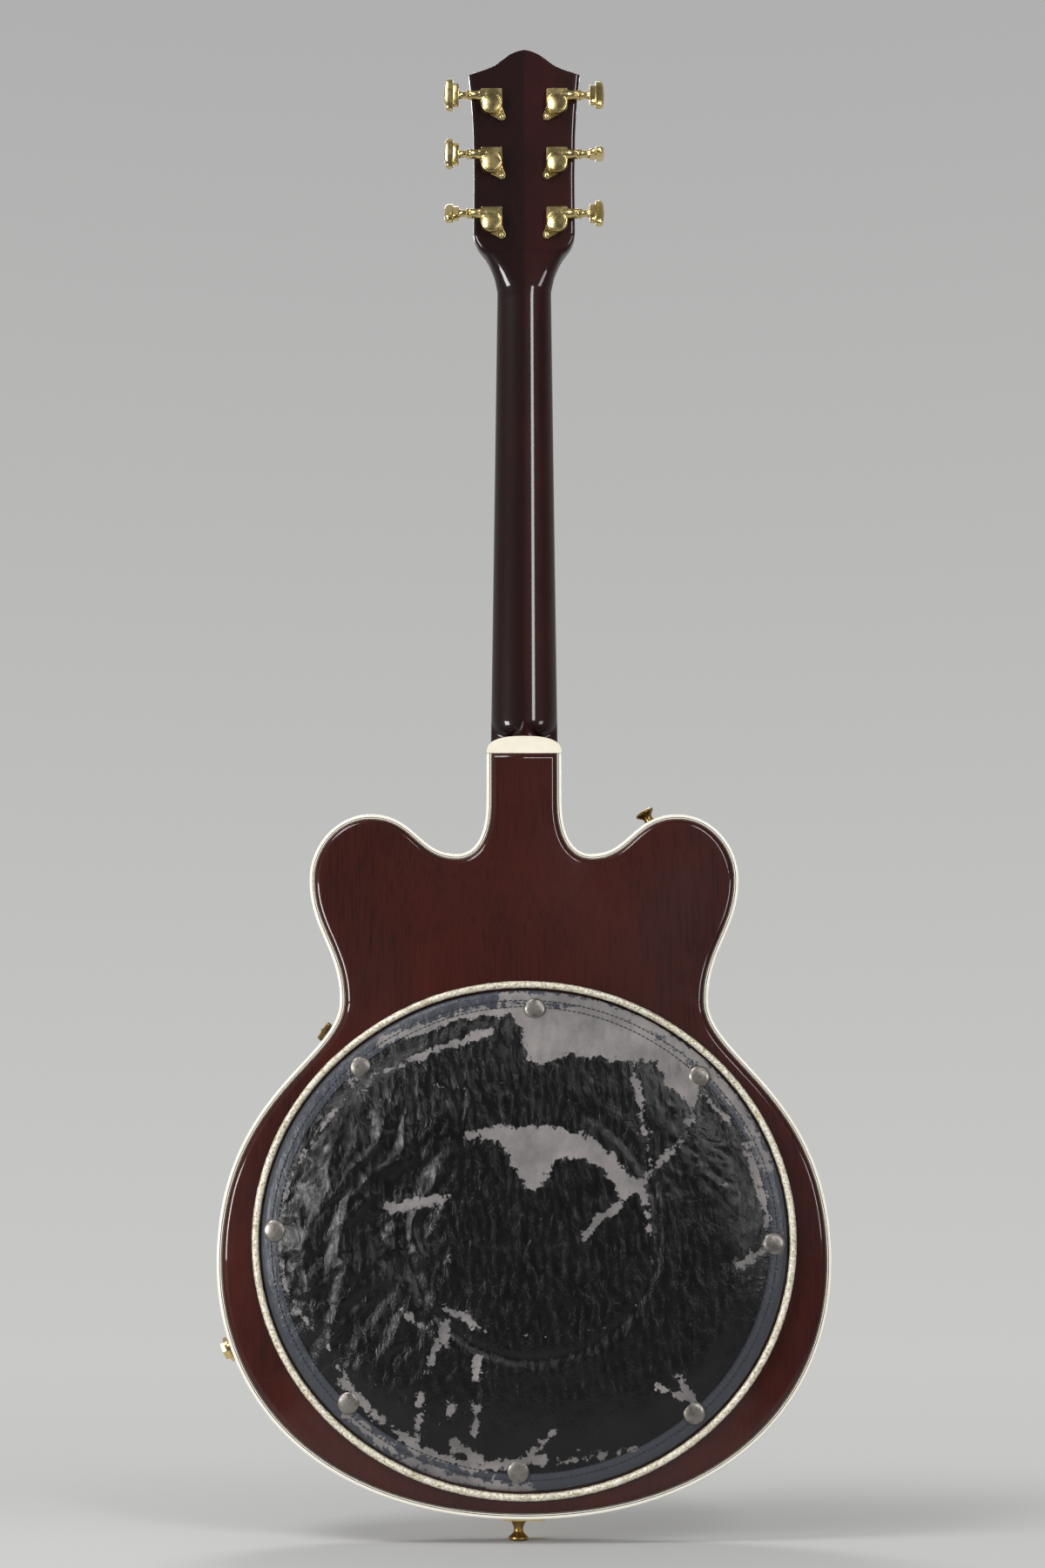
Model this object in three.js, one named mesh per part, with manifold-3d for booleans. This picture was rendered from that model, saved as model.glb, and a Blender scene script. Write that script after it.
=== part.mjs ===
// A thin hollow-body electric guitar with two cutaways, a round padded cover on its back and a
// roller vibrato tailpiece. Millimetres. +Z runs up the neck, +Y out of the back, -Y out of the
// strings' side, and +X is the treble side. The origin is on the centre line, on the flat outer
// face of the end strap button, at the middle of the body's depth.
import * as THREE from "three";
import { mergeVertices } from "three/addons/utils/BufferGeometryUtils.js";
import Module from "manifold-3d";

const wasm = await Module();
wasm.setup();

// Clearances
const FIT = 0.3; // between pieces that seat on or turn in each other
const OVERRUN = 5; // how far a cutter runs past what it cuts
const MERGE_GAP = 0.0001; // points closer than this are one

// End strap button and the tailpiece's end bracket set the body's height above the origin
const END_BUTTON_LENGTH = 13;
const END_BUTTON_OFFSET = 4; // to the treble side of the centre line
const BUTTON_FLANGE_RADIUS = 7.2;
const BUTTON_FACE_RADIUS = 6.2;
const BUTTON_WAIST_RADIUS = 3.3;
const BUTTON_FOOT_RADIUS = 5.6;
const HORN_BUTTON_LENGTH = 12;
const HORN_BUTTON_SHARE = -0.438889; // on the bass horn, of half the lower bout's width
const BUTTON_SHARES = { flange: 0.16, neck: 0.4, foot: 0.82 };
const BRACKET_THICKNESS = 2.4;

// Body outline: the lowest edge, then the width and the length that the rest of the body follows
const BODY_BASE = END_BUTTON_LENGTH + FIT + BRACKET_THICKNESS + FIT;
const LOWER_BOUT_WIDTH = 432;
const BODY_LENGTH = 538.3; // up to the end of the tongue, where the neck starts
const TONGUE_WIDTH = 55.4;
// The outline's points, as shares of half the lower bout's width and of the body's length
const OUTLINE_SHARES = {
  lower_bout: [1, 0.33067],
  waist: [0.613426, 0.661341],
  upper_bout: [0.722222, 0.828534],
  horn: [0.519444, 0.915846],
};
const CUTAWAY_SPACING = LOWER_BOUT_WIDTH * 0.227315;
const CUTAWAY_GAP = 10.9; // between the neck's pickup and the cutaways' floor
const TONGUE_SIDE_SHARE = 0.515354; // of the way from that floor to the body's end

// How far each curve's handles reach, as shares of its width or height, and its number of steps
const LOWER_CURVE = { start_share: 0.64, end_share: 0.57, steps: 9 };
const WAIST_CURVE = { start_share: 0.64, end_share: 0.23, steps: 8 };
const UPPER_CURVE = { start_share: 0.41, end_share: 0.42, steps: 4 };
const HORN_CURVE = { start_share: 0.5, end_share: 0.58, steps: 5 };
const CUTAWAY_CURVE = { start_share: 0.52, end_share: 0.43, steps: 5 };
const TONGUE_CURVE = { start_share: 0.45, end_share: 0.8, steps: 5 };

// Body walls and plates
const BODY_DEPTH = 50.8; // at the edge, over both plates
const ARCH_HEIGHT = 9; // each plate's rise from its edge to its middle
const ARCH_RUN = 80; // over which it rises
const PLATE_THICKNESS = 5.2;
const ARCH_RING_INSETS = [9, 20];
const BINDING_WIDTH = 4;
const RIM_WALL = 4;
const LINING_WIDTH = 14;
const LINING_HEIGHT = 10;
const ACCESS_HOLE_RADIUS = 85;
const HOLE_SIDES = 40;
// The flat middle of each plate, as shares of half the lower bout's width and of the body's length
const PLATEAU_SHARES = [
  [0, 0.149],
  [0.27, 0.16],
  [0.48, 0.212],
  [0.6, 0.277],
  [0.63, 0.336],
  [0.593, 0.407],
  [0.486, 0.481],
  [0.347, 0.546],
  [0.27, 0.611],
  [0.26, 0.667],
  [0.287, 0.71],
  [0.15, 0.716],
  [0, 0.723],
];
const TAIL_BLOCK_WIDTH = LOWER_BOUT_WIDTH * 0.185185;
const TAIL_BLOCK_CLEAR_SHARE = 0.6; // the linings stop this share of its width from the centre
const TAIL_BLOCK_HEIGHT = 34;
const NECK_BLOCK_GAP = 11.8; // between the neck's pickup and the neck block

// Back pad
const PAD_WIDTH = LOWER_BOUT_WIDTH * 0.884259; // over its piping
const PAD_HEIGHT = BODY_LENGTH * 0.663199;
const PAD_CENTRE_SHARE = 0.354263; // of the body's length
const PAD_CROWN = 11.5;
const PIPING_RADIUS = 2.6;
const PIPING_SIDES = 6;
const PAD_STEPS = 52;
const PAD_BASE_SHARE = 0.985; // its sides pull in under its edge
// Rings of the pad from its edge inwards, as shares of its half width and of its crown
const PAD_RING_SHARES = [
  [1, 0.16],
  [0.993, 0.33],
  [0.975, 0.42],
  [0.93, 0.45],
  [0.9, 0.4],
  [0.875, 0.5],
  [0.82, 0.68],
  [0.68, 0.85],
  [0.45, 0.96],
  [0.2, 1],
];

// Neck and fingerboard
const SCALE_LENGTH = 625;
const NECK_LENGTH = SCALE_LENGTH * 0.60112; // from the body's end to the nut's string edge
const NECK_ANGLE = THREE.MathUtils.degToRad(2.6);
const FACE_LINE_AT_BRIDGE = 16.78; // the fingerboard's line over the top plate's middle, at the bridge
const BOARD_THICKNESS = 6;
const BOARD_CAMBER_RADIUS = 305;
const BOARD_LENGTH = SCALE_LENGTH * 0.7232;
const NUT_WIDTH = 42.4;
const BODY_END_WIDTH = 53; // the fingerboard's width at its body end
const FRET_COUNT = 22;
const FRET_HEIGHT = 1;
const FRET_WIDTH = 2.2;
const FRET_CHAMFER = 0.15;
const NECK_DEPTH_AT_NUT = 20.8; // with the fingerboard
const NECK_DEPTH_AT_HEEL = 23.6;
const NUT_THICKNESS = 5;
const NUT_CROWN = 0.4; // over the strings' middles
const HEEL_CURVE_START = 50; // above the body's end, where the round neck stops
const HEEL_HEIGHT = 13.1; // of the heel and its cap above the body's end, at the back
const HEEL_CAP_THICKNESS = 3;
const EXTENSION_NARROWING = 1;
// The neck's depth below its round end, as pairs of height share and depth share
const NECK_END_SHARES = [
  [0, 0.52],
  [0.6, 0.55],
  [0.8, 0.7],
  [0.92, 0.9],
  [1, 1],
];
// Heel outlines from the cap towards the fingerboard: depth share, height share, width share,
// and the power of the outline's curve, from a dome to a wedge
const HEEL_SHARES = [
  [0, 0, 1, 2.6],
  [0.18, 0.07, 0.96, 2.2],
  [0.42, 0.24, 0.82, 1.7],
  [0.66, 0.5, 0.62, 1.4],
  [0.86, 0.82, 0.44, 1.2],
  [1, 1.12, 0.36, 1.1],
];
const HEEL_STEPS = 12;
const NECK_STEPS = 12;
// The fingerboard's face, across its half width
const BOARD_POINT_SHARES = [-1, -0.5, 0, 0.5, 1];

// Head, in its own tilted plane from the nut's string edge
const HEAD_ANGLE = THREE.MathUtils.degToRad(11);
const HEAD_THICKNESS = 14.5;
const HEAD_LENGTH = 192.5;
const HEAD_SHOULDER_WIDTH = 79.4;
// Half outline as shares of half the shoulder's width and of the head's length
const HEAD_SHARES = [
  [0.7, 0.105],
  [0.81, 0.158],
  [0.9, 0.193],
  [0.98, 0.228],
  [1, 0.255],
  [0.99, 0.48],
  [1.003, 0.654],
  [1.025, 0.745],
  [1.062, 0.835],
  [1.096, 0.9],
  [1.06, 0.903],
  [0.77, 0.922],
  [0.58, 0.94],
  [0.44, 0.962],
  [0.3, 0.982],
  [0.14, 0.996],
  [0, 1],
];
// Where the round neck turns into the flat head: length share, half-width share, roundness
const HEAD_ROOT_SHARES = [
  [0.02, 0.56, 0.85],
  [0.06, 0.6, 0.65],
  [0.105, 0.69, 0.42],
  [0.13, 0.76, 0.28],
];

// Strings
const STRING_RADII = [0.65, 0.53, 0.43, 0.35, 0.3, 0.25];
const STRING_SIDES = 6;
const NUT_STRING_SPREAD = 35.6;
const BRIDGE_STRING_SPREAD = 52;
const NUT_STRING_RISE = 2.2; // above the fingerboard's face
const BRIDGE_STRING_RISE = 6.2;

// Tuners
const TUNER_ACROSS = 25.5;
const TUNER_RISES = [0.292987, 0.534545, 0.774026].map((share) => share * HEAD_LENGTH);
const POST_RADIUS = 3;
const POST_WAIST_RADIUS = 2.4;
const POST_HEIGHT = 13; // out of the head's front
const POST_WAIST_HEIGHT = 6;
const GEAR_RADIUS = 3.9;
const GEAR_THICKNESS = 4;
const GEAR_START = 1.2; // above the head's back
const CASE_RADIUS = 8.2;
const CASE_HEIGHT = 7.6;
const CASE_UPPER_EDGE = 11.4;
const CASE_STEP = 0.8; // the round cap's height over the rest of the case
const CASE_SIDES = 18;
const SHAFT_OFFSET = 6.5; // from the post's axis to the button shaft's
const SHAFT_HEIGHT = 4;
const SHAFT_RADIUS = 2.1;
const SHAFT_INNER_END = 6;
const COLLAR_LENGTH = 9;
const COLLAR_START_RADIUS = 3.7;
const COLLAR_END_RADIUS = 3.4;
const EAR_ACROSS = 7.8;
const EAR_DROP = 9.4;
const EAR_RADIUS = 3.1;
const EAR_THICKNESS = 2.2;
const ROUND_SIDES = 10;
const WASHER_RADIUS = 4;
const WASHER_THICKNESS = 1.9;
const STEM_RADIUS = 3.1;
const STEM_LENGTH = 6;
const BUTTON_INNER_WIDTH = 19.3;
const BUTTON_INNER_DEPTH = 6.4;
const BUTTON_INNER_LENGTH = 4.4;
const BUTTON_OUTER_WIDTH = 26.5;
const BUTTON_OUTER_DEPTH = 8;
const BUTTON_OUTER_LENGTH = 6.5;
const BUTTON_STEP = 0.2;
const BUTTON_END_SHARE = 0.72;
const BUTTON_CORNER_SHARE = 0.55;
// Each button's turn about its shaft, bass side then treble side, from the nut upwards
const BUTTON_TURNS = [
  [35, 88, 28],
  [52, 20, 12],
];

// Bridge
const BRIDGE_BASE_WIDTH = 150;
const BRIDGE_BASE_DEPTH = 13;
const BRIDGE_BASE_HEIGHT = 6.5;
const BRIDGE_TRAVEL = 1.5; // the bar comes down this far
const BRIDGE_BAR_WIDTH = 88;
const BRIDGE_BAR_DEPTH = 10;
const BRIDGE_BAR_HEIGHT = 9.5; // behind the outer strings' middles
const BAR_CROWN = 0.4;
const BRIDGE_STUD_SPACING = 74;
const BRIDGE_STUD_RADIUS = 2.4;
const BRIDGE_STUD_REACH = 4; // into the bar
const WHEEL_RADIUS = 8;
const WHEEL_THICKNESS = 3;
const WHEEL_SIDES = 16;
const BASE_END_SHARE = 0.55;
const BASE_MIDDLE_SHARE = 0.62;

// Tailpiece: frame, roller, arm and spring
const FRAME_THICKNESS = 3;
const BRACKET_WIDTH = 29;
const BRACKET_REACH = 34; // round the end of the body
const FRAME_FLARE_RISE = 50;
const FRAME_HEAD_RISE = 82;
const ROLLER_RISE = 96;
const ROLLER_RADIUS = 5.2;
const ROLLER_HEIGHT = 9.5; // its axis above the top plate's middle
const ROLLER_LENGTH = 66;
const JOURNAL_RADIUS = 3.2;
const EAR_PLATE_THICKNESS = 4;
const EAR_PLATE_MARGIN = 3.4;
const PIN_RADIUS = 1.1;
const PIN_REACH = 4.2;
const PIN_SIDES = 6;
const LEVER_REACH = 17; // from the roller's axis outwards
const LEVER_WIDTH = 16;
const LEVER_THICKNESS = 5;
const ARM_LENGTH = 150;
const ARM_RADIUS = 3.4;
const ARM_RISE = 24; // of its grip over its root
const ARM_SPREAD = 26;
const ARM_HUB_RADIUS = 7;
const ARM_HUB_HEIGHT = 5;
const ARM_SIDES = 8;
// The arm's rings as shares of its length, its rise and its thickness
const ARM_SHARES = [
  [0, 0, 0.8],
  [0.1, 0.04, 0.95],
  [0.3, 0.3, 1],
  [0.6, 0.75, 0.9],
  [0.76, 0.92, 1],
  [0.82, 0.96, 1.4],
  [0.96, 1, 1.4],
  [1, 1, 1],
];
const SPRING_RADIUS = 4.6; // to the wire's middle
const WIRE_RADIUS = 0.9;
const SPRING_LENGTH = 24;
const SPRING_CURLS = 6;
const CURL_STEPS = 8;
const WIRE_SIDES = 5;
const SPRING_HEIGHT = 8; // its axis over the roller's axis
const POST_PLATE_THICKNESS = 4;

// Pickups
const PICKUP_FROM_BRIDGE = 38;
const PICKUP_FROM_BOARD = 28;
const PICKUP_WIDTH = 70;
const PICKUP_DEPTH = 37;
const PICKUP_RING_WIDTH = 90;
const PICKUP_RING_DEPTH = 45;
const PICKUP_RING_HEIGHT = 5;
const PICKUP_STRING_GAP = 3.6;
const PICKUP_INNER_DEPTH = 10; // below the plate's edge level

// Controls, as shares of half the lower bout's width and of the body's length
const NECK_VOLUME_SHARES = [0.611111, 0.352963];
const BRIDGE_VOLUME_SHARES = [0.541667, 0.248932];
const MASTER_VOLUME_SHARE = 0.444444; // of half the lower bout's width
const MASTER_VOLUME_DROP = 26.2; // below the middle of the slope between the cutaway and the horn
const KNOB_RADIUS = 10.5;
const KNOB_CROWN_RADIUS = 9.4;
const KNOB_HEIGHT = 13;
const KNOB_SKIRT_HEIGHT = 3;
const KNOB_SIDES = 18;
const KNOB_SHAFT_RADIUS = 3;
const KNOB_SHAFT_LENGTH = 16;
const POT_RADIUS = 12;
const POT_HEIGHT = 10;
const BUSHING_RADIUS = 4.7;
const SWITCH_BUSHING_RADIUS = 5.6;
const BUSHING_NUT_RADIUS = 7;
const BUSHING_NUT_HEIGHT = 2.4;
const SLOPE_ALLOWANCE = 1.6; // for the plate's slope under a nut
const SWITCH_SHARES = [-0.425926, 0.817388];
const SWITCH_WIDTH = 22;
const SWITCH_DEPTH = 14;
const SWITCH_HEIGHT = 16;
const LEVER_BALL_RADIUS = 3.6;
const LEVER_ROD_RADIUS = 1.4;
const LEVER_LENGTH = 15;
const LEVER_TIP_RADIUS = 3;

// Pickguard and its bracket
const PICKGUARD_THICKNESS = 2.5;
const PICKGUARD_HEIGHT = 8.2; // its underside above the top plate's middle
const PICKGUARD_SIDE_GAP = 2; // beside the pickups' rings
const PICKGUARD_BRIDGE_GAP = 11; // from the bridge's middle
const PICKGUARD_WIDTH = LOWER_BOUT_WIDTH * 0.143519;
// Outline as shares of its width and of its length, from the end by the bridge
const PICKGUARD_SHARES = [
  [0, 0],
  [0.22, -0.08],
  [0.66, 0.03],
  [0.93, 0.28],
  [0.95, 0.5],
  [0.7, 0.68],
  [0.35, 0.82],
  [0.08, 1],
];
const PICKGUARD_STEPS = 22;
const GUARD_TAB_LENGTH = 12;
const GUARD_FOOT_RISE = 37.7; // above the pickguard's lower end
const GUARD_ROD_RADIUS = 1.8;
const GUARD_ROD_START_SHARE = 0.7; // under the pickguard's width
const GUARD_ROD_STEPS = 12;
const GUARD_ROD_SEGMENTS = 3; // of each half of its round section
const GUARD_FOOT_SIZE = 14;
const GUARD_FOOT_THICKNESS = 3;
const GUARD_ROD_STAND_OFF = 4.5;

// Output jack, on the treble side of the lower bout
const JACK_SHARE = 0.212707; // of the body's length
const JACK_FLANGE_RADIUS = 9;
const JACK_FLANGE_THICKNESS = 2.2;
const JACK_NUT_RADIUS = 6.6;
const JACK_NUT_THICKNESS = 3;
const JACK_BORE_RADIUS = 3.9;
const JACK_BARREL_RADIUS = 5.6;
const JACK_BARREL_LENGTH = 22;
const JACK_SIDES = 16;

const HALF_DEPTH = BODY_DEPTH / 2;
const PLATE_SEAT = HALF_DEPTH - PLATE_THICKNESS - FIT; // the rim's edge, where the plates lie
const MIDDLE_LEVEL = HALF_DEPTH + ARCH_HEIGHT; // the flat middle of either plate, from the mid-plane
const BODY_END = BODY_BASE + BODY_LENGTH;
const NUT_Z = BODY_END + NECK_LENGTH;
const BRIDGE_Z = NUT_Z - SCALE_LENGTH;
const BOARD_END = NUT_Z - BOARD_LENGTH;
const PICKUP_PLACES = [BRIDGE_Z + PICKUP_FROM_BRIDGE, BOARD_END - PICKUP_FROM_BOARD];
const CUTAWAY_Z = PICKUP_PLACES[1] + PICKUP_DEPTH / 2 + CUTAWAY_GAP;
const SLOPE_MIDDLE_Z = (CUTAWAY_Z + bodyPlace(OUTLINE_SHARES.horn)[1]) / 2;
const KNOB_PLACES = {
  knob_master_volume: [(MASTER_VOLUME_SHARE * LOWER_BOUT_WIDTH) / 2, SLOPE_MIDDLE_Z - MASTER_VOLUME_DROP],
  knob_neck_volume: bodyPlace(NECK_VOLUME_SHARES),
  knob_bridge_volume: bodyPlace(BRIDGE_VOLUME_SHARES),
};
const SWITCH_PLACE = bodyPlace(SWITCH_SHARES);
const PICKGUARD_INNER = PICKUP_RING_WIDTH / 2 + PICKGUARD_SIDE_GAP; // from the centre line

function material(color, roughness, metalness) {
  return new THREE.MeshStandardMaterial({ color, roughness, metalness });
}

const walnut = material(0x4a150d, 0.25, 0);
const darkMaple = material(0x2a0c0b, 0.2, 0);
const creamPlastic = material(0xf0ead2, 0.35, 0);
const spruce = material(0xb98a5a, 0.7, 0);
const ebony = material(0x17110e, 0.45, 0);
const boneWhite = material(0xe9e2cd, 0.5, 0);
const vinyl = material(0x1b1b1f, 0.35, 0);
const sparkle = material(0xb9ad8e, 0.35, 0.4);
const gold = material(0xd9ab4f, 0.25, 1);
const steel = material(0xb9bcc0, 0.3, 1);
const nickelWire = material(0xc9cacc, 0.3, 1);
const guardPlastic = material(0x8c7440, 0.2, 0.2);

const guitar = new THREE.Group();

// Adds a sub-part under its name, to the guitar or to a group inside it
function addPiece(name, geometry, look, parent = guitar) {
  const mesh = new THREE.Mesh(geometry, look.clone());
  mesh.name = name;
  parent.add(mesh);
  return mesh;
}

// A closed geometry from points and triangles, turned to face outwards
function closedGeometry(points, triangles) {
  const corner = new THREE.Vector3();
  let volume = 0;
  for (const [a, b, c] of triangles) {
    corner.crossVectors(points[b], points[c]);
    volume += points[a].dot(corner);
  }
  const faces = volume < 0 ? triangles.map(([a, b, c]) => [a, c, b]) : triangles;
  const geometry = new THREE.BufferGeometry().setFromPoints(points);
  geometry.setIndex(faces.flat());
  geometry.computeVertexNormals();
  return geometry;
}

// A copy with its positions alone, so that shared corners can be merged
function bareCopy(geometry) {
  const source = geometry.index ? geometry.toNonIndexed() : geometry;
  const bare = new THREE.BufferGeometry();
  bare.setAttribute("position", source.getAttribute("position"));
  return bare;
}

// A closed geometry as a solid that can be joined and cut
function solidOf(geometry) {
  const merged = mergeVertices(bareCopy(geometry), MERGE_GAP);
  const vertProperties = merged.getAttribute("position").array;
  const triVerts = new Uint32Array(merged.index.array);
  return new wasm.Manifold(new wasm.Mesh({ numProp: 3, vertProperties, triVerts }));
}

function geometryOf(solid) {
  const mesh = solid.getMesh();
  const geometry = new THREE.BufferGeometry();
  geometry.setAttribute("position", new THREE.BufferAttribute(mesh.vertProperties, 3));
  geometry.setIndex(new THREE.BufferAttribute(mesh.triVerts, 1));
  geometry.computeVertexNormals();
  return geometry;
}

function join(...geometries) {
  return geometryOf(geometries.map(solidOf).reduce((whole, next) => whole.add(next)));
}

function cut(geometry, ...tools) {
  return geometryOf(tools.map(solidOf).reduce((whole, tool) => whole.subtract(tool), solidOf(geometry)));
}

function keepInside(geometry, space) {
  return geometryOf(solidOf(geometry).intersect(solidOf(space)));
}

// A box between two corners
function block(low, high) {
  const size = high.map((value, axis) => value - low[axis]);
  const middle = high.map((value, axis) => (value + low[axis]) / 2);
  return new THREE.BoxGeometry(...size).translate(...middle);
}

// A cylinder or cone along Y between two heights, standing at a place across and along the body
function rodAlongY(radius, low, high, sides, x = 0, z = 0, highRadius = radius) {
  const rod = new THREE.CylinderGeometry(highRadius, radius, high - low, sides);
  return rod.translate(x, (low + high) / 2, z);
}

function rodAlongX(radius, low, high, sides, y = 0, z = 0, highRadius = radius) {
  const rod = new THREE.CylinderGeometry(highRadius, radius, high - low, sides).rotateZ(-Math.PI / 2);
  return rod.translate((low + high) / 2, y, z);
}

// A turned piece from a profile of radius and height, with its axis along Y
function turned(profile, sides) {
  return new THREE.LatheGeometry(profile.map(([radius, height]) => new THREE.Vector2(radius, height)), sides);
}

// A plate with an outline across X and Z, between two levels in Y
function plateBetween(outline, low, high) {
  const shape = new THREE.Shape(outline.map(([x, z]) => new THREE.Vector2(x, z)));
  const plate = new THREE.ExtrudeGeometry(shape, { depth: high - low, bevelEnabled: false });
  return plate.rotateX(Math.PI / 2).translate(0, high, 0);
}

// A solid through closed rings of points, with its ends closed or joined to each other
function loft(rings, endless = false) {
  const count = rings[0].length;
  const triangles = [];
  const last = endless ? rings.length : rings.length - 1;
  for (let ring = 0; ring < last; ring += 1) {
    const here = ring * count;
    const there = ((ring + 1) % rings.length) * count;
    for (let step = 0; step < count; step += 1) {
      const next = (step + 1) % count;
      triangles.push([here + step, there + step, there + next]);
      triangles.push([here + step, there + next, here + next]);
    }
  }
  if (!endless) {
    for (let step = 1; step < count - 1; step += 1) {
      triangles.push([0, step, step + 1]);
      const top = (rings.length - 1) * count;
      triangles.push([top, top + step + 1, top + step]);
    }
  }
  return closedGeometry(rings.flat(), triangles);
}

// A loft between two like outlines that may be concave
function loftConcave(rings) {
  const [first, second] = rings;
  const count = first.length;
  const flat = first.map((point) => new THREE.Vector2(point.y, point.z));
  const ends = layoutTriangles(flat.map(({ x, y }) => [x, y]), THREE.ShapeUtils.triangulateShape(flat, []));
  const clockwise = THREE.ShapeUtils.isClockWise(flat);
  const triangles = [...ends, ...ends.map(([a, b, c]) => [a + count, c + count, b + count])];
  for (let step = 0; step < count; step += 1) {
    const next = (step + 1) % count;
    const [a, b] = clockwise ? [next, step] : [step, next];
    triangles.push([b, a, a + count], [b, a + count, b + count]);
  }
  return closedGeometry([...first, ...second], triangles);
}

function smoothStep(share) {
  const within = Math.min(Math.max(share, 0), 1);
  return within * within * (3 - 2 * within);
}

function mirrored(points) {
  return points.map(([x, z]) => [-x, z]).reverse();
}

// One curve of the outline; each end leaves its point across the body or up along it
function outlineCurve(from, to, curve, startsAcross, endsAcross) {
  const [dx, dz] = [to[0] - from[0], to[1] - from[1]];
  const [startX, startZ] = startsAcross ? [dx * curve.start_share, 0] : [0, dz * curve.start_share];
  const [endX, endZ] = endsAcross ? [dx * curve.end_share, 0] : [0, dz * curve.end_share];
  const start = [from[0] + startX, from[1] + startZ];
  const end = [to[0] - endX, to[1] - endZ];
  const ends = [from, start, end, to].map(([x, z]) => new THREE.Vector2(x, z));
  return new THREE.CubicBezierCurve(...ends).getPoints(curve.steps).map((point) => [point.x, point.y]);
}

// A place on the body from its shares of half the lower bout's width and of the body's length
function bodyPlace([across, along]) {
  return [(across * LOWER_BOUT_WIDTH) / 2, BODY_BASE + along * BODY_LENGTH];
}

// The treble half of the body's outline, from the bottom centre to the corner by the neck
function halfOutline() {
  const base = [0, BODY_BASE];
  const lower = bodyPlace(OUTLINE_SHARES.lower_bout);
  const waist = bodyPlace(OUTLINE_SHARES.waist);
  const upper = bodyPlace(OUTLINE_SHARES.upper_bout);
  const horn = bodyPlace(OUTLINE_SHARES.horn);
  const cutaway = [CUTAWAY_SPACING / 2, CUTAWAY_Z];
  const tongue = [TONGUE_WIDTH / 2, CUTAWAY_Z + (BODY_END - CUTAWAY_Z) * TONGUE_SIDE_SHARE];
  return [
    ...outlineCurve(base, lower, LOWER_CURVE, true, false),
    ...outlineCurve(lower, waist, WAIST_CURVE, false, false).slice(1),
    ...outlineCurve(waist, upper, UPPER_CURVE, false, false).slice(1),
    ...outlineCurve(upper, horn, HORN_CURVE, false, true).slice(1),
    ...outlineCurve(horn, cutaway, CUTAWAY_CURVE, true, true).slice(1),
    ...outlineCurve(cutaway, tongue, TONGUE_CURVE, true, false).slice(1),
    [TONGUE_WIDTH / 2, BODY_END],
  ];
}

// The whole outline, from the treble corner by the neck round the body to the bass corner
const HALF_OUTLINE = halfOutline();
const OUTLINE = [...HALF_OUTLINE.slice(1).reverse(), ...mirrored(HALF_OUTLINE).reverse()];

// The outline moved inwards; with an open end the neck end keeps its height
function insetOutline(distance, openEnd = false) {
  const count = OUTLINE.length;
  const moved = OUTLINE.map((point, index) => {
    const before = OUTLINE[(index + count - 1) % count];
    const after = OUTLINE[(index + 1) % count];
    const first = new THREE.Vector2(point[0] - before[0], point[1] - before[1]).normalize();
    const second = new THREE.Vector2(after[0] - point[0], after[1] - point[1]).normalize();
    const inward = new THREE.Vector2(first.y + second.y, -first.x - second.x).normalize();
    const reach = distance / (inward.x * first.y - inward.y * first.x);
    return [point[0] + inward.x * reach, point[1] + inward.y * reach];
  });
  if (openEnd) {
    moved[0][1] = BODY_END;
    moved[count - 1][1] = BODY_END;
  }
  return moved;
}

const HALF_PLATEAU = PLATEAU_SHARES.map(bodyPlace);

// Triangles over a flat layout of points, all turned the same way
function layoutTriangles(points, triangles) {
  return triangles.map(([a, b, c]) => {
    const [first, second, third] = [points[a], points[b], points[c]];
    const area =
      (second[0] - first[0]) * (third[1] - first[1]) - (third[0] - first[0]) * (second[1] - first[1]);
    return area > 0 ? [a, b, c] : [a, c, b];
  });
}

// Triangles between two rows of points, each step taken across the shorter way
function zipRows(layout, outerRow, innerRow) {
  const span = (a, b) => Math.hypot(layout[a][0] - layout[b][0], layout[a][1] - layout[b][1]);
  const triangles = [];
  let [outer, inner] = [0, 0];
  while (outer < outerRow.length - 1 || inner < innerRow.length - 1) {
    const outerStep = outer < outerRow.length - 1 ? span(outerRow[outer + 1], innerRow[inner]) : Infinity;
    const innerStep = inner < innerRow.length - 1 ? span(outerRow[outer], innerRow[inner + 1]) : Infinity;
    if (outerStep < innerStep) {
      triangles.push([outerRow[outer], outerRow[outer + 1], innerRow[inner]]);
      outer += 1;
    } else {
      triangles.push([outerRow[outer], innerRow[inner + 1], innerRow[inner]]);
      inner += 1;
    }
  }
  return triangles;
}

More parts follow.
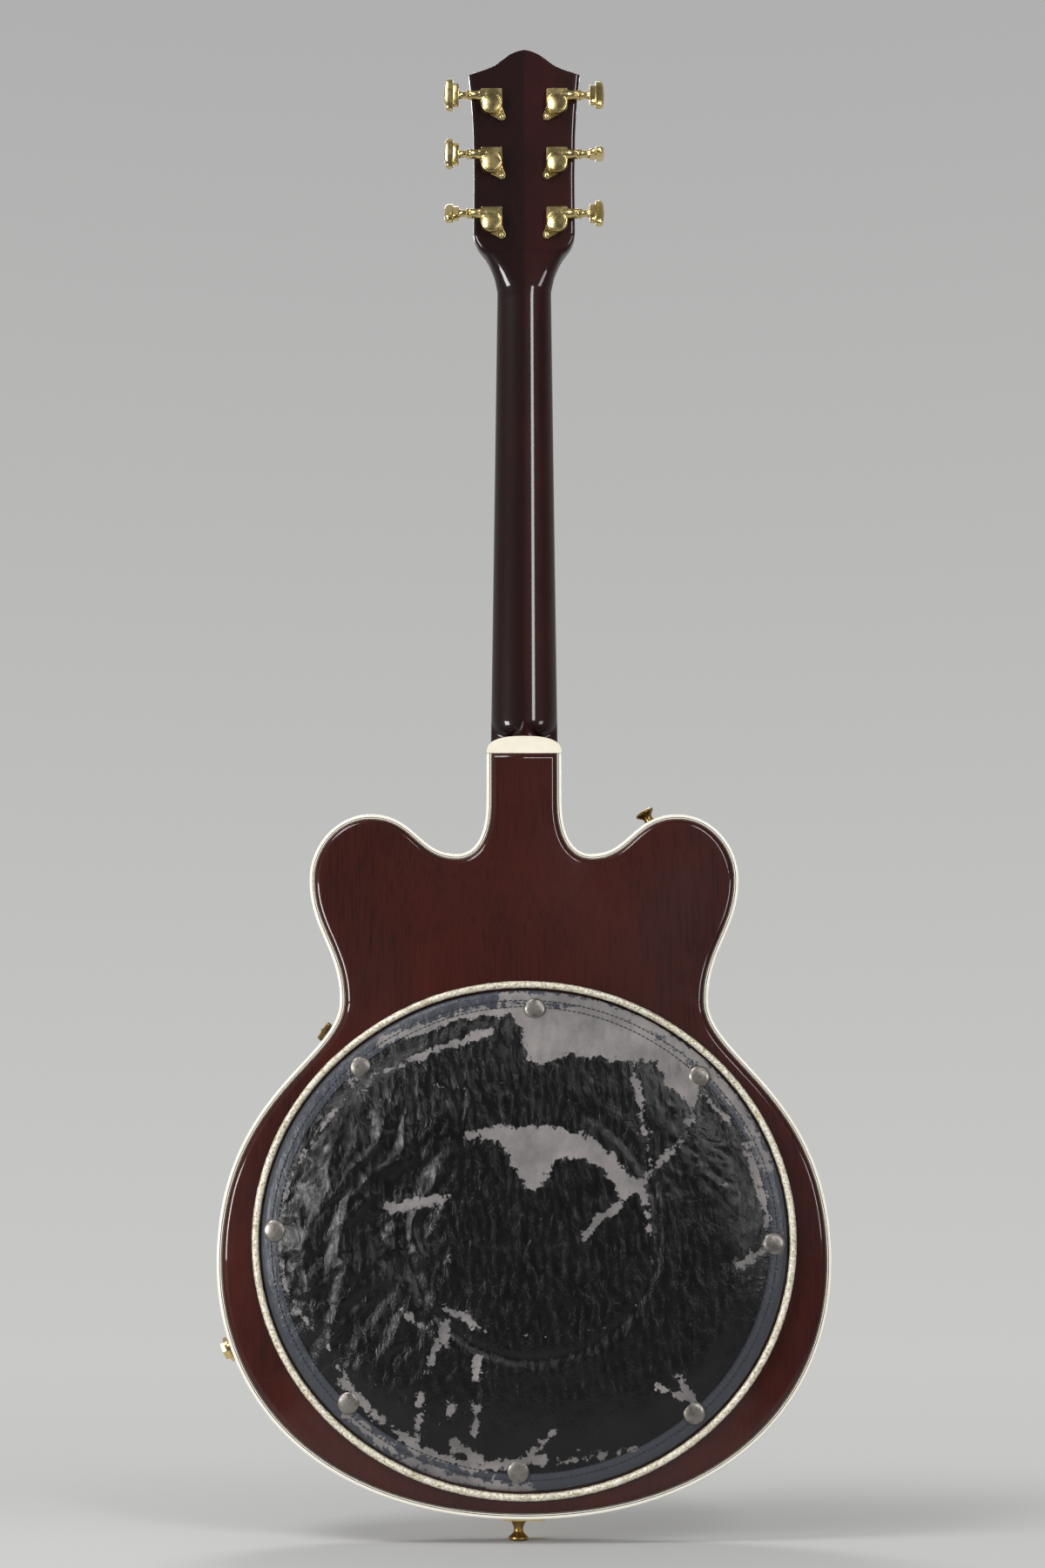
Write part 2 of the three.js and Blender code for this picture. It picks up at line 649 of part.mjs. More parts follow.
// The arched surface as a flat layout of points, their rises over the edge, and triangles
function archedSurface(inset, openEnd) {
  const insets = [inset, ...ARCH_RING_INSETS];
  const rings = insets.map((distance, index) => insetOutline(distance, openEnd && index === 0));
  const rises = insets.map((distance) => ARCH_HEIGHT * smoothStep(distance / ARCH_RUN));
  const count = rings[0].length;
  const plateau = [...HALF_PLATEAU, ...mirrored(HALF_PLATEAU).slice(1, -1)];
  const layout = [...rings.flat(), ...plateau];
  const heights = rings.flatMap((ring, index) => ring.map(() => rises[index]));
  heights.push(...plateau.map(() => ARCH_HEIGHT));
  const triangles = [];
  for (let ring = 0; ring < rings.length - 1; ring += 1) {
    for (let step = 0; step < count; step += 1) {
      const next = (step + 1) % count;
      const [a, b] = [ring * count + step, ring * count + next];
      triangles.push([a, b, b + count], [a, b + count, a + count]);
    }
  }
  const start = (rings.length - 1) * count;
  const low = start + (count - 1) / 2;
  const inner = start + count;
  const top = inner + HALF_PLATEAU.length - 1;
  const reach = HALF_PLATEAU.length - 1;
  const [trebleOuter, bassOuter, trebleInner, bassInner] = [[], [], [], []];
  for (let step = 0; step <= (count - 1) / 2; step += 1) {
    trebleOuter.push(low - step);
    bassOuter.push(low + step);
  }
  for (let step = 0; step <= reach; step += 1) {
    const onCentreLine = step === 0 || step === reach;
    trebleInner.push(inner + step);
    bassInner.push(onCentreLine ? inner + step : inner + plateau.length - step);
  }
  triangles.push(...zipRows(layout, trebleOuter, trebleInner), ...zipRows(layout, bassOuter, bassInner));
  triangles.push([start, start + count - 1, top]);
  for (let step = 1; step < reach; step += 1) {
    const [here, there] = [trebleInner[step], trebleInner[step + 1]];
    const [across, acrossThere] = [bassInner[step], bassInner[step + 1]];
    if (step === 1) triangles.push([inner, here, across]);
    triangles.push([across, here, there]);
    if (there !== acrossThere) triangles.push([across, there, acrossThere]);
  }
  return { layout, heights, count, triangles: layoutTriangles(layout, triangles) };
}

// A solid between two copies of the arched surface, each moved outwards from it by an amount,
// or between the arched surface and the body's mid-plane where no inner amount is given
function archedSlab(side, inset, outer, inner, openEnd = false) {
  const { layout, heights, count, triangles } = archedSurface(inset, openEnd);
  const total = layout.length;
  const toPoint = (amount) => ([x, z], index) =>
    new THREE.Vector3(x, amount === null ? 0 : side * (HALF_DEPTH + heights[index] + amount), z);
  const points = [...layout.map(toPoint(outer)), ...layout.map(toPoint(inner))];
  const faces = [...triangles, ...triangles.map(([a, b, c]) => [a + total, c + total, b + total])];
  for (let step = 0; step < count; step += 1) {
    const next = (step + 1) % count;
    faces.push([step, next, next + total], [step, next + total, step + total]);
  }
  return closedGeometry(points, faces);
}

// How far the arched surface stands over its edge at a place across and along the body
const WHOLE_SURFACE = archedSurface(0, false);

function archRise(x, z) {
  const { layout, heights, triangles } = WHOLE_SURFACE;
  const corner = (index) => new THREE.Vector3(layout[index][0], layout[index][1], 0);
  const weights = new THREE.Vector3();
  const place = new THREE.Vector3(x, z, 0);
  for (const [a, b, c] of triangles) {
    const found = THREE.Triangle.getBarycoord(place, corner(a), corner(b), corner(c), weights);
    if (found !== null && Math.min(weights.x, weights.y, weights.z) >= -MERGE_GAP) {
      return weights.dot(new THREE.Vector3(heights[a], heights[b], heights[c]));
    }
  }
  return 0;
}

// What lies under the strings' side of the top plate, with the clearance that seats a piece on it
const underTop = archedSlab(-1, -FIT, FIT, null);
const underBack = archedSlab(1, -FIT, FIT, null);

// The inside of the body between the two plates, a fit clear of them
const insideTop = archedSlab(-1, RIM_WALL + FIT, -PLATE_THICKNESS - FIT, null);
const insideBack = archedSlab(1, RIM_WALL + FIT, -PLATE_THICKNESS - FIT, null);
const bodyInside = join(insideTop, insideBack);

// The rim's outer face at a height on one side: a point on it and its outward direction
function wallAt(matches, score) {
  let best = null;
  for (let index = 0; index < OUTLINE.length - 1; index += 1) {
    const [from, to] = [OUTLINE[index], OUTLINE[index + 1]];
    const share = matches(from, to);
    if (share === null) continue;
    const point = [from[0] + (to[0] - from[0]) * share, from[1] + (to[1] - from[1]) * share];
    const outward = new THREE.Vector2(-(to[1] - from[1]), to[0] - from[0]).normalize();
    if (best === null || score(point) > score(best.point)) best = { point, outward };
  }
  return best;
}

function crossing(from, to, value) {
  const share = (value - from) / (to - from);
  return share >= 0 && share <= 1 ? share : null;
}

function wallAtHeight(z, side) {
  return wallAt((from, to) => crossing(from[1], to[1], z), (point) => point[0] * side);
}

// The middle of the flat stretch of the treble side's wall that lies nearest to a height
function wallMiddle(z) {
  const treble = (from, to) => (Math.min(from[0], to[0]) > 0 ? 1 / 2 : null);
  return wallAt(treble, (point) => -Math.abs(point[1] - z));
}

function wallAcross(x) {
  return wallAt((from, to) => crossing(from[0], to[0], x), (point) => point[1]);
}

// A group whose Y axis points out of the rim at a place, with its origin on the rim's face
function groupOnWall(wall) {
  const group = new THREE.Group();
  group.position.set(wall.point[0], 0, wall.point[1]);
  const outward = new THREE.Vector3(wall.outward.x, 0, wall.outward.y);
  group.quaternion.setFromUnitVectors(new THREE.Vector3(0, 1, 0), outward);
  guitar.add(group);
  return group;
}

// The radius of a faceted bore whose flats stand a fit clear of a shaft
function boreFor(radius, sides) {
  return (radius + FIT) / Math.cos(Math.PI / sides);
}

// A turned piece with merged points and its faces outwards
function turnedPiece(profile, sides) {
  const merged = mergeVertices(bareCopy(turned(profile, sides)), MERGE_GAP);
  const position = merged.getAttribute("position");
  const points = [];
  for (let index = 0; index < position.count; index += 1) {
    points.push(new THREE.Vector3().fromBufferAttribute(position, index));
  }
  const triangles = [];
  for (let index = 0; index < merged.index.count; index += 3) {
    const [a, b, c] = [0, 1, 2].map((corner) => merged.index.getX(index + corner));
    if (a !== b && b !== c && c !== a) triangles.push([a, b, c]);
  }
  return closedGeometry(points, triangles);
}

function placed(geometry, group) {
  group.updateMatrixWorld(true);
  return geometry.clone().applyMatrix4(group.matrixWorld);
}

// Rim: a bent ring of wood with its linings, which stop at the neck block and the tail block
function hasNoLining([x, z]) {
  const byNeck = z > CUTAWAY_Z && Math.abs(x) < CUTAWAY_SPACING / 2;
  const byTail = z < BODY_BASE + TAIL_BLOCK_HEIGHT && Math.abs(x) < TAIL_BLOCK_WIDTH * TAIL_BLOCK_CLEAR_SHARE;
  return byNeck || byTail;
}

function makeRim() {
  const wall = insetOutline(RIM_WALL);
  const lining = insetOutline(LINING_WIDTH);
  const rings = OUTLINE.map((outer, index) => {
    const edge = hasNoLining(outer) ? wall[index] : lining[index];
    const level = ([x, z], y) => new THREE.Vector3(x, y, z);
    return [
      level(outer, -PLATE_SEAT),
      level(outer, PLATE_SEAT),
      level(edge, PLATE_SEAT),
      level(edge, PLATE_SEAT - LINING_HEIGHT),
      level(wall[index], 0),
      level(edge, LINING_HEIGHT - PLATE_SEAT),
      level(edge, -PLATE_SEAT),
    ];
  });
  return loft(rings, true);
}

const jackWall = groupOnWall(wallAtHeight(BODY_BASE + JACK_SHARE * BODY_LENGTH, 1));
const jackHole = placed(
  rodAlongY(boreFor(JACK_BARREL_RADIUS, JACK_SIDES), -LINING_WIDTH - OVERRUN, OVERRUN, JACK_SIDES),
  jackWall,
);
addPiece("rim", cut(makeRim(), jackHole), walnut);

// Bindings: a strip let into each edge, open where the neck joins
function makeBinding(side) {
  const outer = insetOutline(0, true);
  const inner = insetOutline(BINDING_WIDTH, true);
  const [low, high] = [side * (HALF_DEPTH - PLATE_THICKNESS), side * HALF_DEPTH];
  const rings = OUTLINE.map((point, index) => [
    new THREE.Vector3(outer[index][0], low, outer[index][1]),
    new THREE.Vector3(outer[index][0], high, outer[index][1]),
    new THREE.Vector3(inner[index][0], high, inner[index][1]),
    new THREE.Vector3(inner[index][0], low, inner[index][1]),
  ]);
  return loft(rings);
}

addPiece("top_binding", makeBinding(-1), creamPlastic);
addPiece("back_binding", makeBinding(1), creamPlastic);

// Plates, with the holes that the controls, the pickups and the hand need
const PAD_CENTRE = BODY_BASE + PAD_CENTRE_SHARE * BODY_LENGTH;

function controlHole(place, radius) {
  const bore = boreFor(radius, ROUND_SIDES);
  return rodAlongY(bore, -MIDDLE_LEVEL - OVERRUN, 0, ROUND_SIDES, ...place);
}

function pickupBlock(z, margin, low, high) {
  const [across, along] = [PICKUP_WIDTH / 2 + margin, PICKUP_DEPTH / 2 + margin];
  return block([-across, low, z - along], [across, high, z + along]);
}

const topHoles = [
  ...Object.values(KNOB_PLACES).map((place) => controlHole(place, BUSHING_RADIUS)),
  controlHole(SWITCH_PLACE, SWITCH_BUSHING_RADIUS),
  ...PICKUP_PLACES.map((z) => pickupBlock(z, FIT, -MIDDLE_LEVEL - OVERRUN, 0)),
];
const topPlate = archedSlab(-1, BINDING_WIDTH + FIT, 0, -PLATE_THICKNESS, true);
addPiece("top_plate", cut(topPlate, ...topHoles), walnut);

const backPlate = archedSlab(1, BINDING_WIDTH + FIT, 0, -PLATE_THICKNESS, true);
const accessHole = rodAlongY(ACCESS_HOLE_RADIUS, 0, MIDDLE_LEVEL + OVERRUN, HOLE_SIDES, 0, PAD_CENTRE);
addPiece("back_plate", cut(backPlate, accessHole), walnut);

// Blocks at the two ends of the body
const neckBlockHalf = TONGUE_WIDTH / 2 - RIM_WALL - FIT;
const neckBlock = block(
  [-neckBlockHalf, -BODY_DEPTH, PICKUP_PLACES[1] + PICKUP_DEPTH / 2 + NECK_BLOCK_GAP],
  [neckBlockHalf, BODY_DEPTH, BODY_END],
);
addPiece("neck_block", keepInside(neckBlock, bodyInside), spruce);

const tailBlock = block(
  [-TAIL_BLOCK_WIDTH / 2, -BODY_DEPTH, 0],
  [TAIL_BLOCK_WIDTH / 2, BODY_DEPTH, BODY_BASE + TAIL_BLOCK_HEIGHT],
);
addPiece("tail_block", keepInside(tailBlock, bodyInside), spruce);

// Back pad: a crowned cushion that lies on the arched back, and the piping round its edge
function padRing(inset, share, level) {
  const ring = [];
  for (let step = 0; step < PAD_STEPS; step += 1) {
    const angle = (2 * Math.PI * step) / PAD_STEPS;
    const x = (PAD_WIDTH / 2 - inset) * share * Math.cos(angle);
    const z = PAD_CENTRE + (PAD_HEIGHT / 2 - inset) * share * Math.sin(angle);
    ring.push(new THREE.Vector3(x, level === null ? PLATE_SEAT : HALF_DEPTH + archRise(x, z) + level, z));
  }
  return ring;
}

function makePad() {
  const inset = 2 * PIPING_RADIUS + FIT;
  const rings = PAD_RING_SHARES.map(([share, height]) => padRing(inset, share, PAD_CROWN * height));
  return cut(loft([padRing(inset, PAD_BASE_SHARE, null), ...rings]), underBack);
}

function makePiping() {
  const middle = padRing(PIPING_RADIUS, 1, PIPING_RADIUS + FIT);
  const rings = middle.map((centre, step) => {
    const angle = (2 * Math.PI * step) / PAD_STEPS;
    const outward = new THREE.Vector3(Math.cos(angle), 0, Math.sin(angle));
    const ring = [];
    for (let side = 0; side < PIPING_SIDES; side += 1) {
      const turn = (2 * Math.PI * side) / PIPING_SIDES;
      const point = centre.clone().addScaledVector(outward, PIPING_RADIUS * Math.cos(turn));
      point.y += PIPING_RADIUS * Math.sin(turn);
      ring.push(point);
    }
    return ring;
  });
  return cut(loft(rings, true), underBack);
}

addPiece("pad_cushion", makePad(), vinyl);
addPiece("pad_piping", makePiping(), sparkle);

// Fingerboard, neck and head share these lines
function faceAt(z) {
  return (z - BRIDGE_Z) * Math.tan(NECK_ANGLE) - MIDDLE_LEVEL - FACE_LINE_AT_BRIDGE;
}

function neckFrontAt(z) {
  return faceAt(z) + BOARD_THICKNESS + FIT;
}

function widthAt(z) {
  return NUT_WIDTH + ((BODY_END_WIDTH - NUT_WIDTH) * (NUT_Z - z)) / BOARD_LENGTH;
}

// How far a cambered surface falls away at a distance from its middle
function camber(x) {
  return (x * x) / (2 * BOARD_CAMBER_RADIUS);
}

const head = new THREE.Group();
head.position.set(0, neckFrontAt(NUT_Z), NUT_Z);
head.rotation.x = -HEAD_ANGLE;
guitar.add(head);

function headFrontAt(z) {
  return neckFrontAt(NUT_Z) + (z - NUT_Z) * Math.tan(HEAD_ANGLE);
}

// A ring round the neck: flat in front, and from oval to nearly square behind
function neckRing(z, front, back, halfWidth, roundness) {
  const ring = [];
  for (let step = 0; step <= NECK_STEPS; step += 1) {
    const angle = (Math.PI * step) / NECK_STEPS;
    const [cosine, sine] = [Math.cos(angle), Math.max(Math.sin(angle), 0)];
    const x = halfWidth * Math.sign(cosine) * Math.abs(cosine) ** roundness;
    ring.push(new THREE.Vector3(x, front + (back - front) * sine ** roundness, z));
  }
  return ring;
}

function makeShaft() {
  const start = BODY_END + FIT;
  const rings = [];
  const addRing = (z, depthShare) => {
    const along = (NUT_Z - z) / (NUT_Z - start);
    const depth = NECK_DEPTH_AT_NUT + (NECK_DEPTH_AT_HEEL - NECK_DEPTH_AT_NUT) * along;
    const front = neckFrontAt(z);
    const back = front + (faceAt(z) + depth - front) * depthShare;
    rings.push(neckRing(z, front, back, widthAt(z) / 2, 1));
  };
  NECK_END_SHARES.forEach(([height, depth]) => addRing(start + height * HEEL_CURVE_START, depth));
  addRing(NUT_Z, 1);
  const shelf = NUT_Z + NUT_THICKNESS;
  const shelfBack = headFrontAt(shelf) + HEAD_THICKNESS;
  rings.push(neckRing(shelf, neckFrontAt(shelf), shelfBack, NUT_WIDTH / 2, 1));
  HEAD_ROOT_SHARES.forEach(([along, across, roundness]) => {
    const z = shelf + along * HEAD_LENGTH;
    const halfWidth = (HEAD_SHOULDER_WIDTH / 2) * across;
    rings.push(neckRing(z, headFrontAt(z), headFrontAt(z) + HEAD_THICKNESS, halfWidth, roundness));
  });
  return loft(rings);
}

// A dome or wedge standing on the body's end, as an outline across X and Z
function heelOutline(halfWidth, height, power) {
  const outline = [];
  for (let step = 0; step <= HEEL_STEPS; step += 1) {
    const angle = (Math.PI * step) / HEEL_STEPS;
    const [cosine, sine] = [Math.cos(angle), Math.max(Math.sin(angle), 0)];
    const x = halfWidth * Math.sign(cosine) * Math.abs(cosine) ** (2 / power);
    outline.push([x, BODY_END + FIT + height * sine ** (2 / power)]);
  }
  return outline;
}

const HEEL_BACK = HALF_DEPTH - HEEL_CAP_THICKNESS - FIT;

function makeHeel() {
  const front = neckFrontAt(BODY_END + HEEL_CURVE_START + HEEL_HEIGHT) + FIT;
  const rings = HEEL_SHARES.map(([depth, height, width, power]) => {
    const rise = HEEL_HEIGHT + (HEEL_CURVE_START - HEEL_HEIGHT) * height;
    const y = HEEL_BACK + (front - HEEL_BACK) * depth;
    return heelOutline((TONGUE_WIDTH / 2) * width, rise, power).map(([x, z]) => new THREE.Vector3(x, y, z));
  });
  return loft(rings);
}

// The part of the neck that runs on over the body, down to the top plate
function makeExtension() {
  const top = BODY_END + FIT + OVERRUN;
  const rings = [BOARD_END, top].map((z) => {
    const half = (widthAt(z) - EXTENSION_NARROWING) / 2;
    const corners = [[-half, neckFrontAt(z)], [half, neckFrontAt(z)], [half, 0], [-half, 0]];
    return corners.map(([x, y]) => new THREE.Vector3(x, y, z));
  });
  const reach = BODY_END_WIDTH;
  const pastEnd = block([-reach, -HALF_DEPTH - FIT, BODY_END - OVERRUN], [reach, OVERRUN, top + OVERRUN]);
  return cut(loft(rings), underTop, pastEnd);
}

const TUNER_PLACES = [-1, 1].flatMap((side) => TUNER_RISES.map((rise) => [side * TUNER_ACROSS, rise]));

function makeHead() {
  const shoulder = HEAD_SHOULDER_WIDTH / 2;
  const half = HEAD_SHARES.map(([across, along]) => [across * shoulder, along * HEAD_LENGTH]);
  const outline = [...half, ...mirrored(half.slice(0, -1))];
  const plate = plateBetween(outline, 0, HEAD_THICKNESS);
  const holes = TUNER_PLACES.map(([x, z]) =>
    rodAlongY(boreFor(POST_RADIUS, ROUND_SIDES), -OVERRUN, HEAD_THICKNESS + OVERRUN, ROUND_SIDES, x, z),
  );
  return placed(cut(plate, ...holes), head);
}

addPiece("neck", join(makeShaft(), makeHeel(), makeExtension(), makeHead()), darkMaple);

const capOutline = heelOutline(TONGUE_WIDTH / 2, HEEL_HEIGHT, HEEL_SHARES[0][3]);
addPiece("heel_cap", plateBetween(capOutline, HALF_DEPTH - HEEL_CAP_THICKNESS, HALF_DEPTH), creamPlastic);

// Fingerboard with its frets pressed in
function boardRing(z, lift) {
  const half = widthAt(z) / 2;
  const face = faceAt(z);
  const ring = BOARD_POINT_SHARES.map((share) => {
    const x = half * share;
    return new THREE.Vector3(x, face + camber(x) - lift, z);
  });
  [half, -half].forEach((x) => ring.push(new THREE.Vector3(x, face + BOARD_THICKNESS, z)));
  return ring;
}

function makeFingerboard() {
  const rings = [boardRing(BOARD_END, 0)];
  for (let fret = FRET_COUNT; fret > 0; fret -= 1) {
    const z = NUT_Z - SCALE_LENGTH * (1 - 2 ** (-fret / 12));
    const [half, crown] = [FRET_WIDTH / 2, FRET_WIDTH / 2 - FRET_CHAMFER];
    rings.push(boardRing(z - half, 0), boardRing(z - crown, FRET_HEIGHT));
    rings.push(boardRing(z + crown, FRET_HEIGHT), boardRing(z + half, 0));
  }
  rings.push(boardRing(NUT_Z - FIT, 0));
  return loft(rings);
}

addPiece("fingerboard", makeFingerboard(), ebony);

// Strings run from the roller over the bridge and the nut to the posts
const STRINGS = STRING_RADII.map((radius, index) => {
  const share = index / (STRING_RADII.length - 1) - 1 / 2;
  const [nutX, bridgeX] = [NUT_STRING_SPREAD * share, BRIDGE_STRING_SPREAD * share];
  const nutY = faceAt(NUT_Z) - NUT_STRING_RISE + camber(nutX);
  const bridgeY = faceAt(BRIDGE_Z) - BRIDGE_STRING_RISE + camber(bridgeX);
  return { radius, index, nutX, bridgeX, nutY, bridgeY };
});

function stringLevelAt(z) {
  const share = (NUT_Z - z) / SCALE_LENGTH;
  return faceAt(z) - NUT_STRING_RISE - (BRIDGE_STRING_RISE - NUT_STRING_RISE) * share;
}

// A notched outline under the strings: a row of points with a slot at each string
function notched(places, gap, crown) {
  return places.flatMap(({ x, y, radius }) => {
    const half = radius + FIT;
    const bottom = y + radius + gap;
    return [[x - half, y - crown], [x - half, bottom], [x + half, bottom], [x + half, y - crown]];
  });
}

function barAcross(outline, depth, z) {
  const shape = new THREE.Shape(outline.map(([x, y]) => new THREE.Vector2(x, y)));
  return new THREE.ExtrudeGeometry(shape, { depth, bevelEnabled: false }).translate(0, 0, z);
}

const nutPlaces = STRINGS.map(({ nutX, nutY, radius }) => ({ x: nutX, y: nutY, radius }));
const nutHalf = NUT_WIDTH / 2;
const nutEdge = nutPlaces[0].y - NUT_CROWN;
const nutOutline = [
  [-nutHalf, neckFrontAt(NUT_Z) - FIT],
  [-nutHalf, nutEdge],
  ...notched(nutPlaces, FIT, NUT_CROWN),
  [nutHalf, nutEdge],
  [nutHalf, neckFrontAt(NUT_Z) - FIT],
];
addPiece("nut", barAcross(nutOutline, NUT_THICKNESS, NUT_Z), boneWhite);

// Tuners, each on its own station on the head's back
function octagonRing(x, halfAlong, halfDeep, corner) {
  const [along, deep] = [halfAlong * corner, halfDeep * corner];
  const points = [[halfAlong, deep], [along, halfDeep], [-along, halfDeep], [-halfAlong, deep]];
  const behind = points.map(([z, y]) => [-z, -y]);
  return [...points, ...behind].map(([z, y]) => new THREE.Vector3(x, y, z));
}

function makeTunerCase() {
  const coverEdge = CASE_HEIGHT - CASE_STEP;
  const round = rodAlongY(CASE_RADIUS, FIT, CASE_HEIGHT, CASE_SIDES);
  const upper = block([-CASE_RADIUS, FIT, 0], [CASE_RADIUS, coverEdge, CASE_UPPER_EDGE]);
  const collarEnd = CASE_RADIUS + COLLAR_LENGTH;
  const shaftPlace = [SHAFT_HEIGHT, SHAFT_OFFSET];
  const collar = rodAlongX(COLLAR_START_RADIUS, 0, collarEnd, ROUND_SIDES, ...shaftPlace, COLLAR_END_RADIUS);
  const ear = rodAlongY(EAR_RADIUS, FIT, EAR_THICKNESS, ROUND_SIDES, -EAR_ACROSS, -EAR_DROP);
  const reach = Math.hypot(EAR_ACROSS, EAR_DROP);
  const [webX, webZ] = [(EAR_DROP / reach) * EAR_RADIUS, (-EAR_ACROSS / reach) * EAR_RADIUS];
  const web = plateBetween(
    [
      [webX, webZ],
      [webX - EAR_ACROSS, webZ - EAR_DROP],
      [-webX - EAR_ACROSS, -webZ - EAR_DROP],
      [-webX, -webZ],
    ],
    FIT,
    EAR_THICKNESS,
  );
  const gearTop = GEAR_START + GEAR_THICKNESS + FIT;
  const pocket = rodAlongY(boreFor(GEAR_RADIUS, ROUND_SIDES), -OVERRUN, gearTop, ROUND_SIDES);
  const tunnelRadius = boreFor(SHAFT_RADIUS, ROUND_SIDES);
  const tunnelStart = -SHAFT_INNER_END - FIT;
  const tunnel = rodAlongX(tunnelRadius, tunnelStart, collarEnd + OVERRUN, ROUND_SIDES, ...shaftPlace);
  return cut(join(round, upper, collar, ear, web), pocket, tunnel);
}

function makeTunerButton() {
  const collarEnd = CASE_RADIUS + COLLAR_LENGTH + FIT;
  const roundCorner = Math.tan(Math.PI / 8);
  const flat = Math.cos(Math.PI / 8);
  const round = (x, radius) => octagonRing(x, radius * flat, radius * flat, roundCorner);
  const oval = (x, width, depth, share) =>
    octagonRing(x, (width / 2) * share, (depth / 2) * share, BUTTON_CORNER_SHARE);
  const stemStart = collarEnd + WASHER_THICKNESS;
  const inner = stemStart + STEM_LENGTH;
  const outer = inner + BUTTON_INNER_LENGTH;
  const end = outer + BUTTON_OUTER_LENGTH;
  return loft([
    round(-SHAFT_INNER_END, SHAFT_RADIUS),
    round(collarEnd, SHAFT_RADIUS),
    round(collarEnd + BUTTON_STEP, WASHER_RADIUS),
    round(stemStart - BUTTON_STEP, WASHER_RADIUS),
    round(stemStart, STEM_RADIUS),
    round(inner, STEM_RADIUS),
    oval(inner + BUTTON_STEP, BUTTON_INNER_WIDTH, BUTTON_INNER_DEPTH, 1),
    oval(outer, BUTTON_INNER_WIDTH, BUTTON_INNER_DEPTH, 1),
    oval(outer + BUTTON_STEP, BUTTON_OUTER_WIDTH, BUTTON_OUTER_DEPTH, 1),
    oval((outer + end) / 2, BUTTON_OUTER_WIDTH, BUTTON_OUTER_DEPTH, 1),
    oval(end, BUTTON_OUTER_WIDTH, BUTTON_OUTER_DEPTH, BUTTON_END_SHARE),
  ]);
}

function makeTunerPost() {
  const face = -HEAD_THICKNESS;
  const waist = face - POST_WAIST_HEIGHT;
  return turnedPiece(
    [
      [0, face - POST_HEIGHT],
      [POST_RADIUS, face - POST_HEIGHT],
      [POST_RADIUS, waist - POST_RADIUS],
      [POST_WAIST_RADIUS, waist - POST_WAIST_RADIUS / 2],
      [POST_WAIST_RADIUS, waist + POST_WAIST_RADIUS / 2],
      [POST_RADIUS, waist + POST_RADIUS],
      [POST_RADIUS, GEAR_START],
      [GEAR_RADIUS, GEAR_START],
      [GEAR_RADIUS, GEAR_START + GEAR_THICKNESS],
      [0, GEAR_START + GEAR_THICKNESS],
    ],
    ROUND_SIDES,
  );
}

["bass", "treble"].forEach((sideName, sideIndex) => {
  TUNER_RISES.forEach((rise, index) => {
    const side = sideIndex === 0 ? -1 : 1;
    const station = new THREE.Group();
    station.position.set(side * TUNER_ACROSS, HEAD_THICKNESS, rise);
    station.scale.x = side;
    head.add(station);
    const label = `${sideName}_${index + 1}`;
    addPiece(`tuner_housing_${label}`, makeTunerCase(), gold, station);
    addPiece(`tuner_post_${label}`, makeTunerPost(), gold, station);
    const button = addPiece(`tuner_button_${label}`, makeTunerButton(), gold, station);
    button.position.set(0, SHAFT_HEIGHT, SHAFT_OFFSET);
    button.rotation.x = THREE.MathUtils.degToRad(BUTTON_TURNS[sideIndex][index]);
  });
});

// Strings, which end beside the posts of their own side: the outer ones on the nearest posts
const ROLLER_Z = BODY_BASE + ROLLER_RISE;
const ROLLER_Y = -MIDDLE_LEVEL - ROLLER_HEIGHT;

function makeString({ radius, index, nutX, bridgeX, nutY, bridgeY }) {
  const side = Math.sign(nutX);
  const half = STRING_RADII.length / 2;
  const rise = TUNER_RISES[side < 0 ? index : 2 * half - 1 - index];
  const beside = side * (TUNER_ACROSS - POST_WAIST_RADIUS - radius - FIT);
  const post = head.localToWorld(new THREE.Vector3(beside, -POST_WAIST_HEIGHT, rise));
  const past = NUT_Z + NUT_THICKNESS + FIT;
  const slope = (nutY - bridgeY) / SCALE_LENGTH;
  const centres = [
    new THREE.Vector3(bridgeX, ROLLER_Y - ROLLER_RADIUS - radius - FIT, ROLLER_Z),
    new THREE.Vector3(bridgeX, bridgeY, BRIDGE_Z),
    new THREE.Vector3(nutX, nutY + slope * (past - NUT_Z), past),
    post,
  ];
  const rings = centres.map((centre) => {
    const ring = [];
    for (let step = 0; step < STRING_SIDES; step += 1) {
      const angle = (2 * Math.PI * step) / STRING_SIDES;
      ring.push(new THREE.Vector3(radius * Math.cos(angle), radius * Math.sin(angle), 0).add(centre));
    }
    return ring;
  });
  return loft(rings);
}

head.updateMatrixWorld(true);
STRINGS.forEach((string) => {
  addPiece(`string_${STRING_RADII.length - string.index}`, makeString(string), nickelWire);
});

// Bridge: a base that stands on the top plate, a bar on two studs and the wheels that set its height
const bridgePlaces = STRINGS.map(({ bridgeX, bridgeY, radius }) => ({ x: bridgeX, y: bridgeY, radius }));
const barFront = bridgePlaces[0].y - BAR_CROWN;
const barBack = bridgePlaces[0].y + BRIDGE_BAR_HEIGHT;
const baseTop = -MIDDLE_LEVEL - FIT - BRIDGE_BASE_HEIGHT;
const studSides = [-BRIDGE_STUD_SPACING / 2, BRIDGE_STUD_SPACING / 2];

